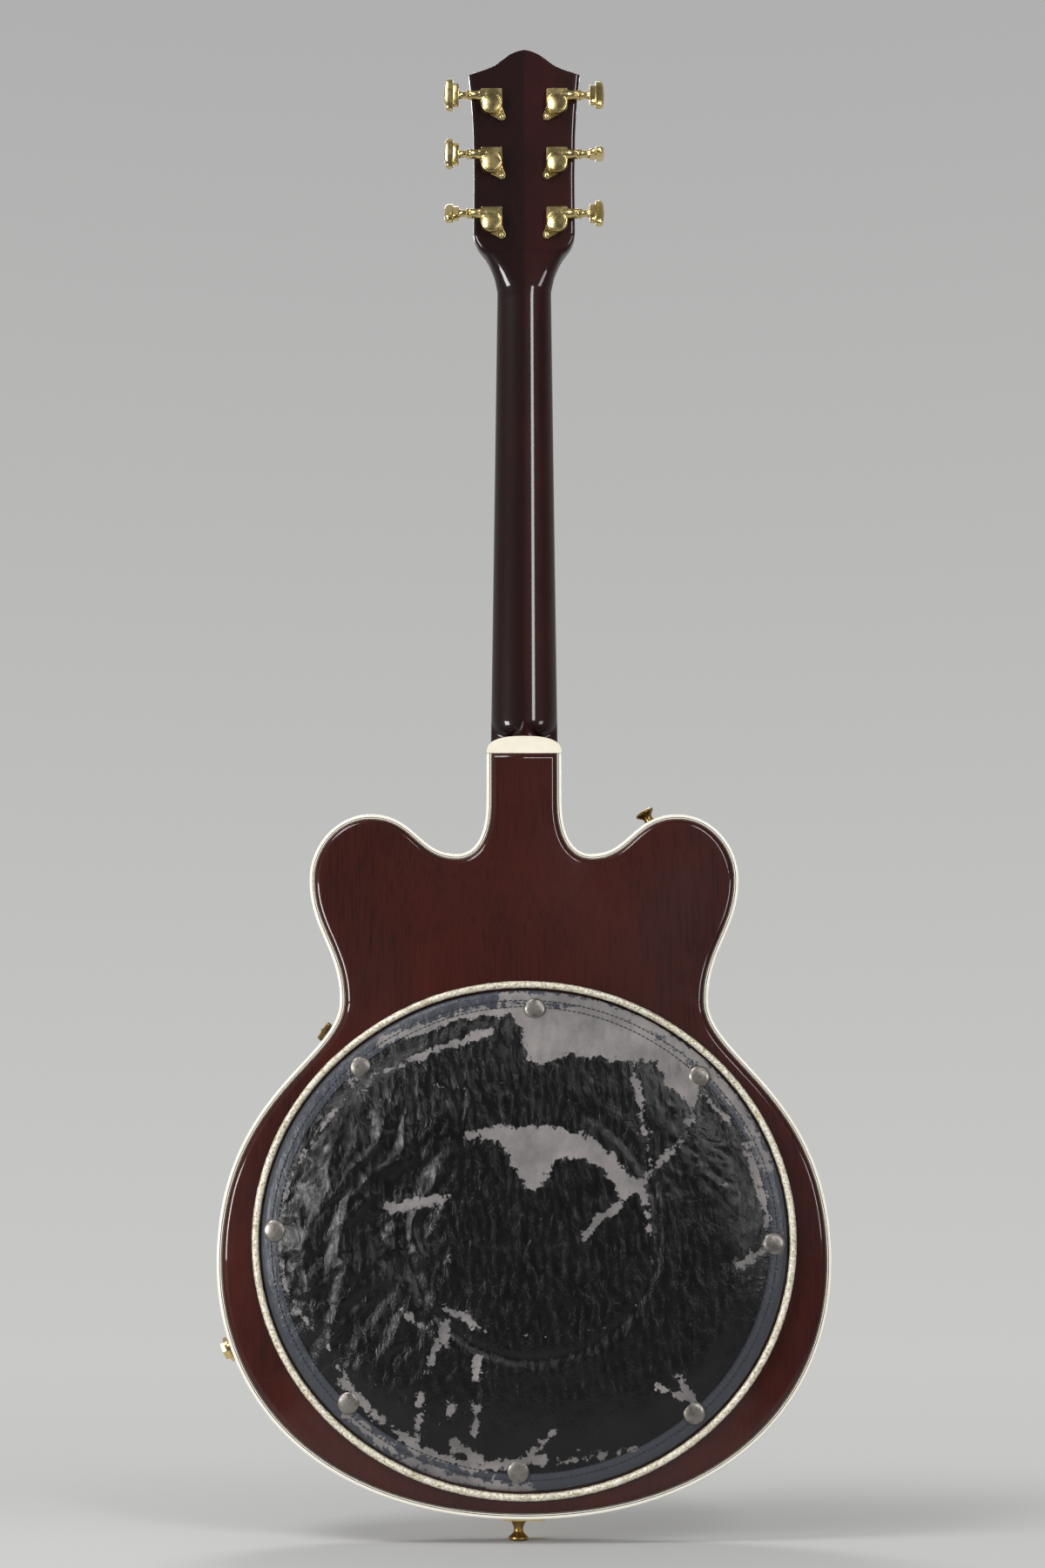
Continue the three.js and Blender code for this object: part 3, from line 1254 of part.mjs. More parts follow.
function makeBridgeBase() {
  const [half, middle] = [BRIDGE_BASE_WIDTH / 2, (BRIDGE_BASE_WIDTH / 2) * BASE_MIDDLE_SHARE];
  const endTop = -MIDDLE_LEVEL - FIT - BRIDGE_BASE_HEIGHT * BASE_END_SHARE;
  const outline = [
    [-half, -PLATE_SEAT],
    [-half, endTop],
    [-middle, baseTop],
    [middle, baseTop],
    [half, endTop],
    [half, -PLATE_SEAT],
  ];
  const foot = cut(barAcross(outline, BRIDGE_BASE_DEPTH, BRIDGE_Z - BRIDGE_BASE_DEPTH / 2), underTop);
  const studs = studSides.map((x) =>
    rodAlongY(BRIDGE_STUD_RADIUS, barBack - BRIDGE_STUD_REACH, baseTop + FIT, ROUND_SIDES, x, BRIDGE_Z),
  );
  return join(foot, ...studs);
}

function makeBridgeBar() {
  const half = BRIDGE_BAR_WIDTH / 2;
  const outline = [
    [-half, barBack],
    [-half, barFront],
    ...notched(bridgePlaces, 2 * FIT, BAR_CROWN),
    [half, barFront],
    [half, barBack],
  ];
  const depth = BRIDGE_STUD_REACH + BRIDGE_TRAVEL + FIT;
  const boreRadius = boreFor(BRIDGE_STUD_RADIUS, ROUND_SIDES);
  const bores = studSides.map((x) =>
    rodAlongY(boreRadius, barBack - depth, barBack + OVERRUN, ROUND_SIDES, x, BRIDGE_Z),
  );
  return cut(barAcross(outline, BRIDGE_BAR_DEPTH, BRIDGE_Z - BRIDGE_BAR_DEPTH / 2), ...bores);
}

addPiece("bridge_base", makeBridgeBase(), ebony);
addPiece("bridge_bar", makeBridgeBar(), gold);
["bass", "treble"].forEach((sideName, index) => {
  const bore = boreFor(BRIDGE_STUD_RADIUS, WHEEL_SIDES);
  const rim = [[WHEEL_RADIUS, 0], [WHEEL_RADIUS, WHEEL_THICKNESS]];
  const ring = [[bore, 0], ...rim, [bore, WHEEL_THICKNESS], [bore, 0]];
  const wheel = addPiece(`thumbwheel_${sideName}`, turnedPiece(ring, WHEEL_SIDES), gold);
  wheel.position.set(studSides[index], barBack + FIT, BRIDGE_Z);
});

// Tailpiece frame: a plate on the top, a bracket round the body's end, two ears and a spring post
const frameFace = -MIDDLE_LEVEL - FIT - FRAME_THICKNESS;
const bracketTop = BODY_BASE - FIT;
const bracketLow = bracketTop - BRACKET_THICKNESS;
const earInner = ROLLER_LENGTH / 2 + FIT;
const earOuter = earInner + EAR_PLATE_THICKNESS;
const leverInner = earOuter + FIT;
const leverOuter = leverInner + LEVER_WIDTH;
const springStart = ROLLER_Z + LEVER_THICKNESS / 2 + FIT;
const springPost = springStart + SPRING_LENGTH + FIT;
const postPlateEnd = springPost + POST_PLATE_THICKNESS;
const springX = (leverInner + leverOuter) / 2;
const springY = ROLLER_Y - SPRING_HEIGHT;

function makeFrame() {
  const half = BRACKET_WIDTH / 2;
  const [flare, headStart] = [BODY_BASE + FRAME_FLARE_RISE, BODY_BASE + FRAME_HEAD_RISE];
  const earReach = ROLLER_RADIUS + EAR_PLATE_MARGIN;
  const headEnd = ROLLER_Z + earReach;
  const plan = [
    [-half, bracketLow],
    [half, bracketLow],
    [half, flare],
    [earOuter, headStart],
    [leverOuter, ROLLER_Z],
    [leverOuter, postPlateEnd],
    [leverInner, postPlateEnd],
    [earOuter, headEnd],
    [-earOuter, headEnd],
    [-earOuter, headStart],
    [-half, flare],
  ];
  const [edge, ring] = ARCH_RING_INSETS;
  const ringRise = ARCH_HEIGHT * smoothStep(ring / ARCH_RUN);
  const edgeFace = -HALF_DEPTH - FIT - FRAME_THICKNESS;
  const profile = [
    [-PLATE_SEAT, bracketLow],
    [edgeFace, bracketLow],
    [edgeFace, BODY_BASE + edge],
    [edgeFace - ringRise, BODY_BASE + ring],
    [frameFace, HALF_PLATEAU[0][1]],
    [frameFace, postPlateEnd],
    [-PLATE_SEAT, postPlateEnd],
  ];
  const rings = [-leverOuter, leverOuter].map((x) => profile.map(([y, z]) => new THREE.Vector3(x, y, z)));
  const plate = keepInside(loftConcave(rings), plateBetween(plan, -BODY_DEPTH, OVERRUN));
  const seat = block([-leverOuter, -HALF_DEPTH, bracketTop], [leverOuter, OVERRUN, BODY_BASE + edge]);
  const bracket = block([-half, edgeFace, bracketLow], [half, BRACKET_REACH - HALF_DEPTH, bracketTop]);
  const ears = [-1, 1].map((side) => {
    const [low, high] = side < 0 ? [-earOuter, -earInner] : [earInner, earOuter];
    const [start, end] = [ROLLER_Z - earReach, ROLLER_Z + earReach];
    return block([low, ROLLER_Y - earReach, start], [high, frameFace + FIT, end]);
  });
  const post = block(
    [leverInner, springY - SPRING_RADIUS, springPost],
    [leverOuter, frameFace + FIT, postPlateEnd],
  );
  const boreRadius = boreFor(JOURNAL_RADIUS, ROUND_SIDES);
  const bore = rodAlongX(boreRadius, -leverOuter, leverOuter, ROUND_SIDES, ROLLER_Y, ROLLER_Z);
  return cut(join(cut(plate, underTop, seat), bracket, ...ears, post), bore);
}

addPiece("vibrato_frame", makeFrame(), gold);

// Roller with its string pins and the lever that the spring pushes
function makeRoller() {
  const half = ROLLER_LENGTH / 2;
  const body = rodAlongX(ROLLER_RADIUS, -half, half, ROUND_SIDES, ROLLER_Y, ROLLER_Z);
  const journal = rodAlongX(JOURNAL_RADIUS, -earOuter, leverOuter, ROUND_SIDES, ROLLER_Y, ROLLER_Z);
  const thick = LEVER_THICKNESS / 2;
  const lever = block(
    [leverInner, ROLLER_Y - LEVER_REACH, ROLLER_Z - thick],
    [leverOuter, ROLLER_Y, ROLLER_Z + thick],
  );
  const pins = STRINGS.map(({ bridgeX }) => {
    const pin = new THREE.CylinderGeometry(PIN_RADIUS, PIN_RADIUS, ROLLER_RADIUS + PIN_REACH, PIN_SIDES);
    return pin.rotateX(Math.PI / 2).translate(bridgeX, ROLLER_Y, ROLLER_Z - (ROLLER_RADIUS + PIN_REACH) / 2);
  });
  return join(body, journal, lever, ...pins);
}

addPiece("vibrato_roller", makeRoller(), gold);

// Arm: a hub on the lever's end and a rod that rises to a thicker grip
function makeArm() {
  const rings = ARM_SHARES.map(([along, rise, thickness]) => {
    const radius = ARM_RADIUS * thickness;
    const y = -ARM_HUB_HEIGHT / 2 - ARM_RISE * rise;
    const centre = new THREE.Vector3(ARM_SPREAD * along, y, ARM_LENGTH * along);
    const ring = [];
    for (let step = 0; step < ARM_SIDES; step += 1) {
      const angle = (2 * Math.PI * step) / ARM_SIDES;
      ring.push(new THREE.Vector3(radius * Math.cos(angle), radius * Math.sin(angle), 0).add(centre));
    }
    return ring;
  });
  return join(rodAlongY(ARM_HUB_RADIUS, -ARM_HUB_HEIGHT, 0, CASE_SIDES), loft(rings));
}

const arm = addPiece("vibrato_arm", makeArm(), gold);
arm.position.set(springX, ROLLER_Y - LEVER_REACH - FIT, ROLLER_Z);

// Spring: one wire in a plain helix, between the lever and the frame's post
function helixPoint(share) {
  const angle = 2 * Math.PI * SPRING_CURLS * share;
  const along = WIRE_RADIUS + (SPRING_LENGTH - 2 * WIRE_RADIUS) * share;
  return new THREE.Vector3(SPRING_RADIUS * Math.cos(angle), SPRING_RADIUS * Math.sin(angle), along);
}

const HELIX_STEPS = SPRING_CURLS * CURL_STEPS;
const HELIX_POINTS = [];
for (let step = 0; step <= HELIX_STEPS; step += 1) HELIX_POINTS.push(helixPoint(step / HELIX_STEPS));

function makeSpring() {
  const rings = HELIX_POINTS.map((centre, step) => {
    const before = HELIX_POINTS[Math.max(step - 1, 0)];
    const after = HELIX_POINTS[Math.min(step + 1, HELIX_STEPS)];
    const tangent = after.clone().sub(before).normalize();
    const outward = new THREE.Vector3(centre.x, centre.y, 0).normalize();
    outward.addScaledVector(tangent, -outward.dot(tangent)).normalize();
    const side = new THREE.Vector3().crossVectors(tangent, outward);
    const ring = [];
    for (let corner = 0; corner < WIRE_SIDES; corner += 1) {
      const angle = (2 * Math.PI * corner) / WIRE_SIDES;
      const point = centre.clone().addScaledVector(outward, WIRE_RADIUS * Math.cos(angle));
      ring.push(point.addScaledVector(side, WIRE_RADIUS * Math.sin(angle)));
    }
    return ring;
  });
  return loft(rings);
}

// The least gap between the spring's turns, measured on its points more than half a curl apart
function leastSpringGap() {
  let least = Infinity;
  HELIX_POINTS.forEach((point, step) => {
    HELIX_POINTS.slice(step + CURL_STEPS / 2 + 1).forEach((other) => {
      least = Math.min(least, point.distanceTo(other) - 2 * WIRE_RADIUS);
    });
  });
  return least;
}

console.log(`least gap between the spring's turns: ${leastSpringGap().toFixed(2)} mm`);
const spring = addPiece("vibrato_spring", makeSpring(), steel);
spring.position.set(springX, springY, springStart);

// Pickups, each with its mounting ring on the top plate
function makePickup(z) {
  const ringFace = -MIDDLE_LEVEL - FIT - PICKUP_RING_HEIGHT;
  const [across, along] = [PICKUP_RING_WIDTH / 2, PICKUP_RING_DEPTH / 2];
  const ring = cut(block([-across, ringFace, z - along], [across, -PLATE_SEAT, z + along]), underTop);
  const face = stringLevelAt(z) + STRING_RADII[0] + PICKUP_STRING_GAP;
  return join(ring, pickupBlock(z, 0, face, -HALF_DEPTH + PICKUP_INNER_DEPTH));
}

["bridge", "neck"].forEach((label, index) => {
  addPiece(`pickup_${label}`, makePickup(PICKUP_PLACES[index]), gold);
});

// Controls: a pot or switch under the plate, with its bushing and nut, and what turns in it.
// Levels are in Y, and the plate slopes a little where a control stands near its edge.
function controlLevels([x, z]) {
  const surface = -HALF_DEPTH - archRise(x, z);
  const seat = surface - FIT - SLOPE_ALLOWANCE - BUSHING_NUT_HEIGHT;
  const inside = surface + PLATE_THICKNESS + FIT + SLOPE_ALLOWANCE;
  return { x, z, surface, seat, inside };
}

function controlBody({ x, z, surface, seat, inside }, bushingRadius, body) {
  const nutRadius = BUSHING_NUT_RADIUS + bushingRadius - BUSHING_RADIUS;
  const nut = cut(rodAlongY(nutRadius, seat, surface + PLATE_THICKNESS, ROUND_SIDES, x, z), underTop);
  const bushing = rodAlongY(bushingRadius, seat, inside + FIT, ROUND_SIDES, x, z);
  return join(nut, bushing, body);
}

Object.entries(KNOB_PLACES).forEach(([name, place]) => {
  const levels = controlLevels(place);
  const { x, z, seat, inside } = levels;
  const bodyShape = rodAlongY(POT_RADIUS, inside, inside + POT_HEIGHT, CASE_SIDES, x, z);
  const knobBase = seat - FIT;
  const shaftEnd = knobBase + KNOB_SHAFT_LENGTH;
  const boreRadius = boreFor(KNOB_SHAFT_RADIUS, ROUND_SIDES);
  const bore = rodAlongY(boreRadius, seat - OVERRUN, shaftEnd + FIT, ROUND_SIDES, x, z);
  addPiece(name.replace("knob", "pot"), cut(controlBody(levels, BUSHING_RADIUS, bodyShape), bore), steel);
  const profile = [
    [0, -KNOB_HEIGHT],
    [KNOB_CROWN_RADIUS, -KNOB_HEIGHT],
    [KNOB_CROWN_RADIUS, -KNOB_SKIRT_HEIGHT],
    [KNOB_RADIUS, 0],
    [KNOB_SHAFT_RADIUS, 0],
    [KNOB_SHAFT_RADIUS, KNOB_SHAFT_LENGTH],
    [0, KNOB_SHAFT_LENGTH],
  ];
  const knob = addPiece(name, turnedPiece(profile, KNOB_SIDES), gold);
  knob.position.set(x, knobBase, z);
});

const switchLevels = controlLevels(SWITCH_PLACE);
const leverPivot = switchLevels.seat + LEVER_BALL_RADIUS;
const [switchHalfX, switchHalfZ] = [SWITCH_WIDTH / 2, SWITCH_DEPTH / 2];
const switchBody = block(
  [switchLevels.x - switchHalfX, switchLevels.inside, switchLevels.z - switchHalfZ],
  [switchLevels.x + switchHalfX, switchLevels.inside + SWITCH_HEIGHT, switchLevels.z + switchHalfZ],
);
const leverBore = rodAlongY(
  boreFor(LEVER_BALL_RADIUS, CASE_SIDES),
  switchLevels.seat - OVERRUN,
  leverPivot + 2 * LEVER_BALL_RADIUS + FIT,
  CASE_SIDES,
  switchLevels.x,
  switchLevels.z,
);
const switchPiece = cut(controlBody(switchLevels, SWITCH_BUSHING_RADIUS, switchBody), leverBore);
addPiece("selector_switch", switchPiece, steel);

const ballEdge = Math.sqrt(LEVER_BALL_RADIUS ** 2 - LEVER_ROD_RADIUS ** 2);
const ballSlant = LEVER_BALL_RADIUS * Math.SQRT1_2;
const leverProfile = [
  [0, -LEVER_LENGTH],
  [LEVER_TIP_RADIUS, LEVER_TIP_RADIUS - LEVER_LENGTH],
  [LEVER_ROD_RADIUS, -LEVER_LENGTH / 2],
  [LEVER_ROD_RADIUS, -ballEdge],
  [ballSlant, -ballSlant],
  [LEVER_BALL_RADIUS, 0],
  [ballSlant, ballSlant],
  [LEVER_ROD_RADIUS, ballEdge],
  [LEVER_ROD_RADIUS, 2 * LEVER_BALL_RADIUS - FIT],
  [0, 2 * LEVER_BALL_RADIUS - FIT],
];
const lever = addPiece("selector_lever", turnedPiece(leverProfile, ROUND_SIDES), steel);
lever.position.set(switchLevels.x, leverPivot, switchLevels.z);

// Pickguard: a plate that floats over the top, held at the fingerboard and by a rod from the rim
const guardBack = -MIDDLE_LEVEL - PICKGUARD_HEIGHT;
const guardBase = BRIDGE_Z + PICKGUARD_BRIDGE_GAP;
const guardLength = BOARD_END - GUARD_TAB_LENGTH - guardBase;
const guardCurve = new THREE.SplineCurve(
  PICKGUARD_SHARES.map(([across, along]) => {
    const z = guardBase + along * guardLength;
    return new THREE.Vector2(PICKGUARD_INNER + across * PICKGUARD_WIDTH, z);
  }),
);
const guardOutline = [
  ...guardCurve.getPoints(PICKGUARD_STEPS).map((point) => [point.x, point.y]),
  [widthAt(BOARD_END + GUARD_TAB_LENGTH) / 2 + FIT, BOARD_END + GUARD_TAB_LENGTH],
  [widthAt(BOARD_END) / 2 + FIT, BOARD_END + FIT],
  [PICKGUARD_INNER, BOARD_END - GUARD_TAB_LENGTH],
];
addPiece("pickguard", plateBetween(guardOutline, guardBack - PICKGUARD_THICKNESS, guardBack), guardPlastic);

const guardWall = wallMiddle(guardBase + GUARD_FOOT_RISE);
const guardStation = groupOnWall(guardWall);

function makeGuardBracket() {
  const z = guardWall.point[1];
  const y = guardBack + FIT + GUARD_ROD_RADIUS;
  const outside = guardWall.point[0] + GUARD_ROD_STAND_OFF;
  const bend = GUARD_ROD_STAND_OFF;
  const points = [
    [PICKGUARD_INNER + PICKGUARD_WIDTH * GUARD_ROD_START_SHARE, y],
    [outside - 2 * bend, y],
    [outside - bend, y + bend / 2],
    [outside, y + 2 * bend],
    [outside, -GUARD_FOOT_SIZE / 2],
  ];
  const path = new THREE.CatmullRomCurve3(points.map(([px, py]) => new THREE.Vector3(px, py, z)));
  const section = new THREE.Shape();
  section.absarc(0, 0, GUARD_ROD_RADIUS, 0, 2 * Math.PI);
  const settings = { steps: GUARD_ROD_STEPS, curveSegments: GUARD_ROD_SEGMENTS, extrudePath: path };
  const rod = new THREE.ExtrudeGeometry(section, settings);
  const half = GUARD_FOOT_SIZE / 2;
  const foot = block([-half, FIT, -half], [half, FIT + GUARD_FOOT_THICKNESS, half]);
  return join(rod, placed(foot, guardStation));
}

addPiece("pickguard_bracket", makeGuardBracket(), gold);

// Output jack: a threaded barrel through the rim with its flange and nut
const jackFace = FIT + JACK_FLANGE_THICKNESS;
const jackProfile = [
  [JACK_BORE_RADIUS, -JACK_BARREL_LENGTH],
  [JACK_BARREL_RADIUS, -JACK_BARREL_LENGTH],
  [JACK_BARREL_RADIUS, FIT],
  [JACK_FLANGE_RADIUS, FIT],
  [JACK_FLANGE_RADIUS, jackFace],
  [JACK_NUT_RADIUS, jackFace],
  [JACK_NUT_RADIUS, jackFace + JACK_NUT_THICKNESS],
  [JACK_BORE_RADIUS, jackFace + JACK_NUT_THICKNESS],
  [JACK_BORE_RADIUS, -JACK_BARREL_LENGTH],
];
addPiece("output_jack", turnedPiece(jackProfile, JACK_SIDES), gold, jackWall);

// Strap buttons, from the foot to the flat outer face
function makeStrapButton(length) {
  return turnedPiece(
    [
      [0, 0],
      [BUTTON_FOOT_RADIUS, 0],
      [BUTTON_WAIST_RADIUS, length * (1 - BUTTON_SHARES.foot)],
      [BUTTON_WAIST_RADIUS, length * (1 - BUTTON_SHARES.neck)],
      [BUTTON_FLANGE_RADIUS, length * (1 - BUTTON_SHARES.flange)],
      [BUTTON_FACE_RADIUS, length],
      [0, length],
    ],
    CASE_SIDES,
  );
}

const endButton = addPiece("strap_button_end", makeStrapButton(END_BUTTON_LENGTH), gold);
endButton.position.set(END_BUTTON_OFFSET, 0, END_BUTTON_LENGTH);
endButton.rotation.x = -Math.PI / 2;
const hornStation = groupOnWall(wallAcross((HORN_BUTTON_SHARE * LOWER_BOUT_WIDTH) / 2));
const hornButton = addPiece("strap_button_horn", makeStrapButton(HORN_BUTTON_LENGTH), gold, hornStation);
hornButton.position.y = FIT;

export default guitar;
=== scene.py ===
# %% [markdown]
# # A hollow-body electric guitar, seen from its back
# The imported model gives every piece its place, and this lesson dresses those pieces one by one.
# All lengths below are written in millimetres, as on the bench, and turned to metres when a mesh is made.

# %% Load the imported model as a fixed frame
import math

import bmesh
import bpy
import numpy as np
from mathutils import Matrix, Vector, noise
from mathutils.geometry import delaunay_2d_cdt


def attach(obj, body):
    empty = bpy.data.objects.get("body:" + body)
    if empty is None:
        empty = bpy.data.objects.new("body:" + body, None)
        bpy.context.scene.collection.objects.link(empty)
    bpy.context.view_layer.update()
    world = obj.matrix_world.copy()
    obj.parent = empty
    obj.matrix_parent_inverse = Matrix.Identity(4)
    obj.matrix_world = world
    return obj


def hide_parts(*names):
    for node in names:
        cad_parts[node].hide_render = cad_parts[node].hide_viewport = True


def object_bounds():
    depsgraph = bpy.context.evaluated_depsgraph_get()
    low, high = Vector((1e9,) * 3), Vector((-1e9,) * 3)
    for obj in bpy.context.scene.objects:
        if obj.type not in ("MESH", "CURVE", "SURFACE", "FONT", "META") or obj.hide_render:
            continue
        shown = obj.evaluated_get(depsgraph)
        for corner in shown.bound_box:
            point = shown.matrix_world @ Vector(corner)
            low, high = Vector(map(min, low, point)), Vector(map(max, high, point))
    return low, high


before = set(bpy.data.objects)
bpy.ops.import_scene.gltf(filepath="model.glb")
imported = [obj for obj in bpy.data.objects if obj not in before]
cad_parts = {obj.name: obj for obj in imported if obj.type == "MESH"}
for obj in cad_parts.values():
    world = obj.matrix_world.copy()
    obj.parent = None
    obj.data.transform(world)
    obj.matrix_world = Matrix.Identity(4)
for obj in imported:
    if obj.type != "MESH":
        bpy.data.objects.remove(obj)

CAD_LOW, CAD_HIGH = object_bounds()
MM = 0.001
SCENE = bpy.context.scene
GUITAR = "guitar_body"  # most pieces ride on this body

# %% [markdown]
# ## Camera
# The photo was taken from low down behind the guitar, with a lens a little longer than normal.
# The camera stands level with the lower bout and looks slightly up, so the neck runs away from it.

# %% Camera
PHOTO_HEIGHT, SHIFT_PIXELS = 1800, 2
camera_data = bpy.data.cameras.new("camera")
camera_data.lens = 52.3
camera_data.sensor_width = 36
camera_data.shift_x = -SHIFT_PIXELS / PHOTO_HEIGHT
camera = bpy.data.objects.new("camera", camera_data)
SCENE.collection.objects.link(camera)
camera.location = (0, 1.65695, 0.18464)
aim = Vector((0, 0.0254, 0.53143))
camera.rotation_euler = (aim - camera.location).to_track_quat("-Z", "Y").to_euler()
SCENE.camera = camera
SCENE.view_settings.view_transform = "Standard"
print("camera looks at", [round(value, 3) for value in aim])

# %% [markdown]
# ## Small helpers for materials
# A colour is written as it looks on a screen and has to be made linear for the renderer.
# One function adds any node, so a material reads as a short list of what feeds what.

# %% Helpers for materials
def linear(code):
    channels = [int(code[place:place + 2], 16) / 255 for place in (0, 2, 4)]
    return tuple(c / 12.92 if c <= 0.04045 else ((c + 0.055) / 1.055) ** 2.4 for c in channels) + (1.0,)


def feed(tree, node, inputs):
    """Link what comes from another node, and set what is a plain value."""
    for name, value in inputs.items():
        if isinstance(value, bpy.types.NodeSocket):
            tree.links.new(value, node.inputs[name])
        else:
            node.inputs[name].default_value = value


def add_node(tree, kind, inputs=None, stops=None, **settings):
    node = tree.nodes.new(kind)
    for name, value in settings.items():
        setattr(node, name, value)
    feed(tree, node, inputs or {})
    if stops:
        elements = node.color_ramp.elements
        while len(elements) < len(stops):
            elements.new(1.0)
        for element, (place, colour) in zip(elements, stops):
            element.position = place
            element.color = linear(colour) if isinstance(colour, str) else (colour, colour, colour, 1)
    return node


def new_material(name):
    material = bpy.data.materials.new(name)
    material.use_nodes = True
    tree = material.node_tree
    tree.nodes.clear()
    output = add_node(tree, "ShaderNodeOutputMaterial")
    shader = add_node(tree, "ShaderNodeBsdfPrincipled")
    tree.links.new(shader.outputs["BSDF"], output.inputs["Surface"])
    return material, tree, shader


# A noise whose features are about so many millimetres wide, stretched along some axes
def pattern(tree, size_mm, stretch=(1, 1, 1), inputs=None):
    place = add_node(tree, "ShaderNodeTexCoord")
    divide = [1 / amount for amount in stretch]
    mapping = add_node(tree, "ShaderNodeMapping", {"Vector": place.outputs["Object"], "Scale": divide})
    values = {"Vector": mapping.outputs["Vector"], "Scale": 1000 / size_mm}
    values.update(inputs or {})
    return add_node(tree, "ShaderNodeTexNoise", values)


def bump_of(tree, height, depth_mm, strength=1.0, normal=None):
    inputs = {"Height": height, "Distance": depth_mm * MM, "Strength": strength}
    if normal is not None:
        inputs["Normal"] = normal
    return add_node(tree, "ShaderNodeBump", inputs).outputs["Normal"]


print("the grey 808080 is", round(linear("808080")[0], 3), "when linear")


# %% [markdown]
# ## Lacquered wood
# The back is a plain wood under a dark red-brown stain and a thick gloss lacquer.
# The stain takes more in the open grain, so fine dark lines run up the body, with wider red patches.
# A clear coat over a rougher base gives the sharp gloss of lacquer over the softer wood.

# %% Lacquered wood
def lacquered_wood(name, dark, middle, red, grain_mm, seam=False):
    material, tree, shader = new_material(name)
    grain = pattern(tree, grain_mm, (1, 1, 26), inputs={"Detail": 6, "Roughness": 0.62})
    patches = pattern(tree, 62, (1, 1, 2.2), inputs={"Detail": 3, "Roughness": 0.55})
    tone = add_node(tree, "ShaderNodeValToRGB", {"Fac": grain.outputs["Fac"]},
                    [(0.3, dark), (0.52, middle), (0.74, middle)])
    share = add_node(tree, "ShaderNodeMapRange", {
        "Value": patches.outputs["Fac"], "From Min": 0.42, "From Max": 0.72, "To Max": 0.5})
    colour = add_node(tree, "ShaderNodeMix", {
        0: share.outputs["Result"], 6: tone.outputs["Color"], 7: linear(red)}, data_type="RGBA")
    result = colour.outputs[2]
    if seam:
        place = add_node(tree, "ShaderNodeTexCoord")
        split = add_node(tree, "ShaderNodeSeparateXYZ", {"Vector": place.outputs["Object"]})
        side = add_node(tree, "ShaderNodeMapRange", {
            "Value": split.outputs["X"], "From Min": -0.0006, "From Max": 0.0006, "To Max": 0.6})
        joint = add_node(tree, "ShaderNodeMix", {
            0: side.outputs["Result"], 6: result, 7: linear(dark)}, data_type="RGBA")
        result = joint.outputs[2]
    ripple = pattern(tree, 45, inputs={"Detail": 0})
    feed(tree, shader, {
        "Base Color": result, "Normal": bump_of(tree, grain.outputs["Fac"], 0.03),
        "Coat Normal": bump_of(tree, ripple.outputs["Fac"], 0.015), "Roughness": 0.42,
        "Specular IOR Level": 0.12, "Coat Weight": 0.75, "Coat Roughness": 0.06})
    return material


STAINED_BODY = lacquered_wood("stained_walnut_lacquer", "1d0705", "33100b", "49170e", 1.1)
STAINED_NECK = lacquered_wood("stained_maple_lacquer", "120505", "240908", "3a100d", 0.9, seam=True)
print("woods:", STAINED_BODY.name, STAINED_NECK.name)

# %% [markdown]
# ## Bare woods, bone and plastics
# Inside the body there is pale unfinished spruce, the fingerboard is dense dark ebony, and the nut is bone.
# The edges are trimmed in cream plastic: a thick cream strip outside and thin black lines inside it.
# The lines follow the edge, so they are read from a measure stored on the mesh, not from the place in space.

# %% Bare woods, bone and plastics
def plain_finish(name, dark, light, size_mm, stretch, roughness, depth_mm, **extra):
    material, tree, shader = new_material(name)
    texture = pattern(tree, size_mm, stretch, inputs={"Detail": 6, "Roughness": 0.6})
    tone = add_node(tree, "ShaderNodeValToRGB", {"Fac": texture.outputs["Fac"]},
                    [(0.32, dark), (0.68, light)])
    rough = add_node(tree, "ShaderNodeMapRange", {
        "Value": texture.outputs["Fac"], "To Min": roughness * 0.85, "To Max": roughness * 1.2})
    feed(tree, shader, {
        "Base Color": tone.outputs["Color"], "Roughness": rough.outputs["Result"],
        "Normal": bump_of(tree, texture.outputs["Fac"], depth_mm)})
    feed(tree, shader, {socket.replace("_", " "): value for socket, value in extra.items()})
    return material


RAW_SPRUCE = plain_finish("raw_spruce", "a57a4c", "c79f70", 1.6, (1, 1, 22), 0.75, 0.06)
OILED_EBONY = plain_finish("oiled_ebony", "100c0a", "231a15", 0.8, (1, 1, 18), 0.42, 0.04)
BONE = plain_finish("polished_bone", "ded4bb", "efe7d4", 2.5, (1, 1, 1), 0.4, 0.02)
CREAM = plain_finish("cream_celluloid", "dcd5c1", "e5dfcd", 14, (1, 1, 1), 0.28, 0.02)
PEARL = plain_finish("pearl_inlay", "b9c0c4", "eef0ea", 3.5, (1, 1, 1.6), 0.22, 0.02, Coat_Weight=0.4)
BLACK_PLASTIC = plain_finish("black_celluloid", "0b0b0c", "161617", 9, (1, 1, 1), 0.2, 0.01, Coat_Weight=0.5)
DARK_INSIDE = plain_finish("dark_socket_phenolic", "070707", "0f0e0d", 3, (1, 1, 1), 0.6, 0.02)
GUARD_PLASTIC = plain_finish("gold_backed_acrylic", "8d6f2e", "b08f48", 40, (1, 1, 3), 0.16, 0.01,
                             Metallic=0.6, Coat_Weight=1.0)


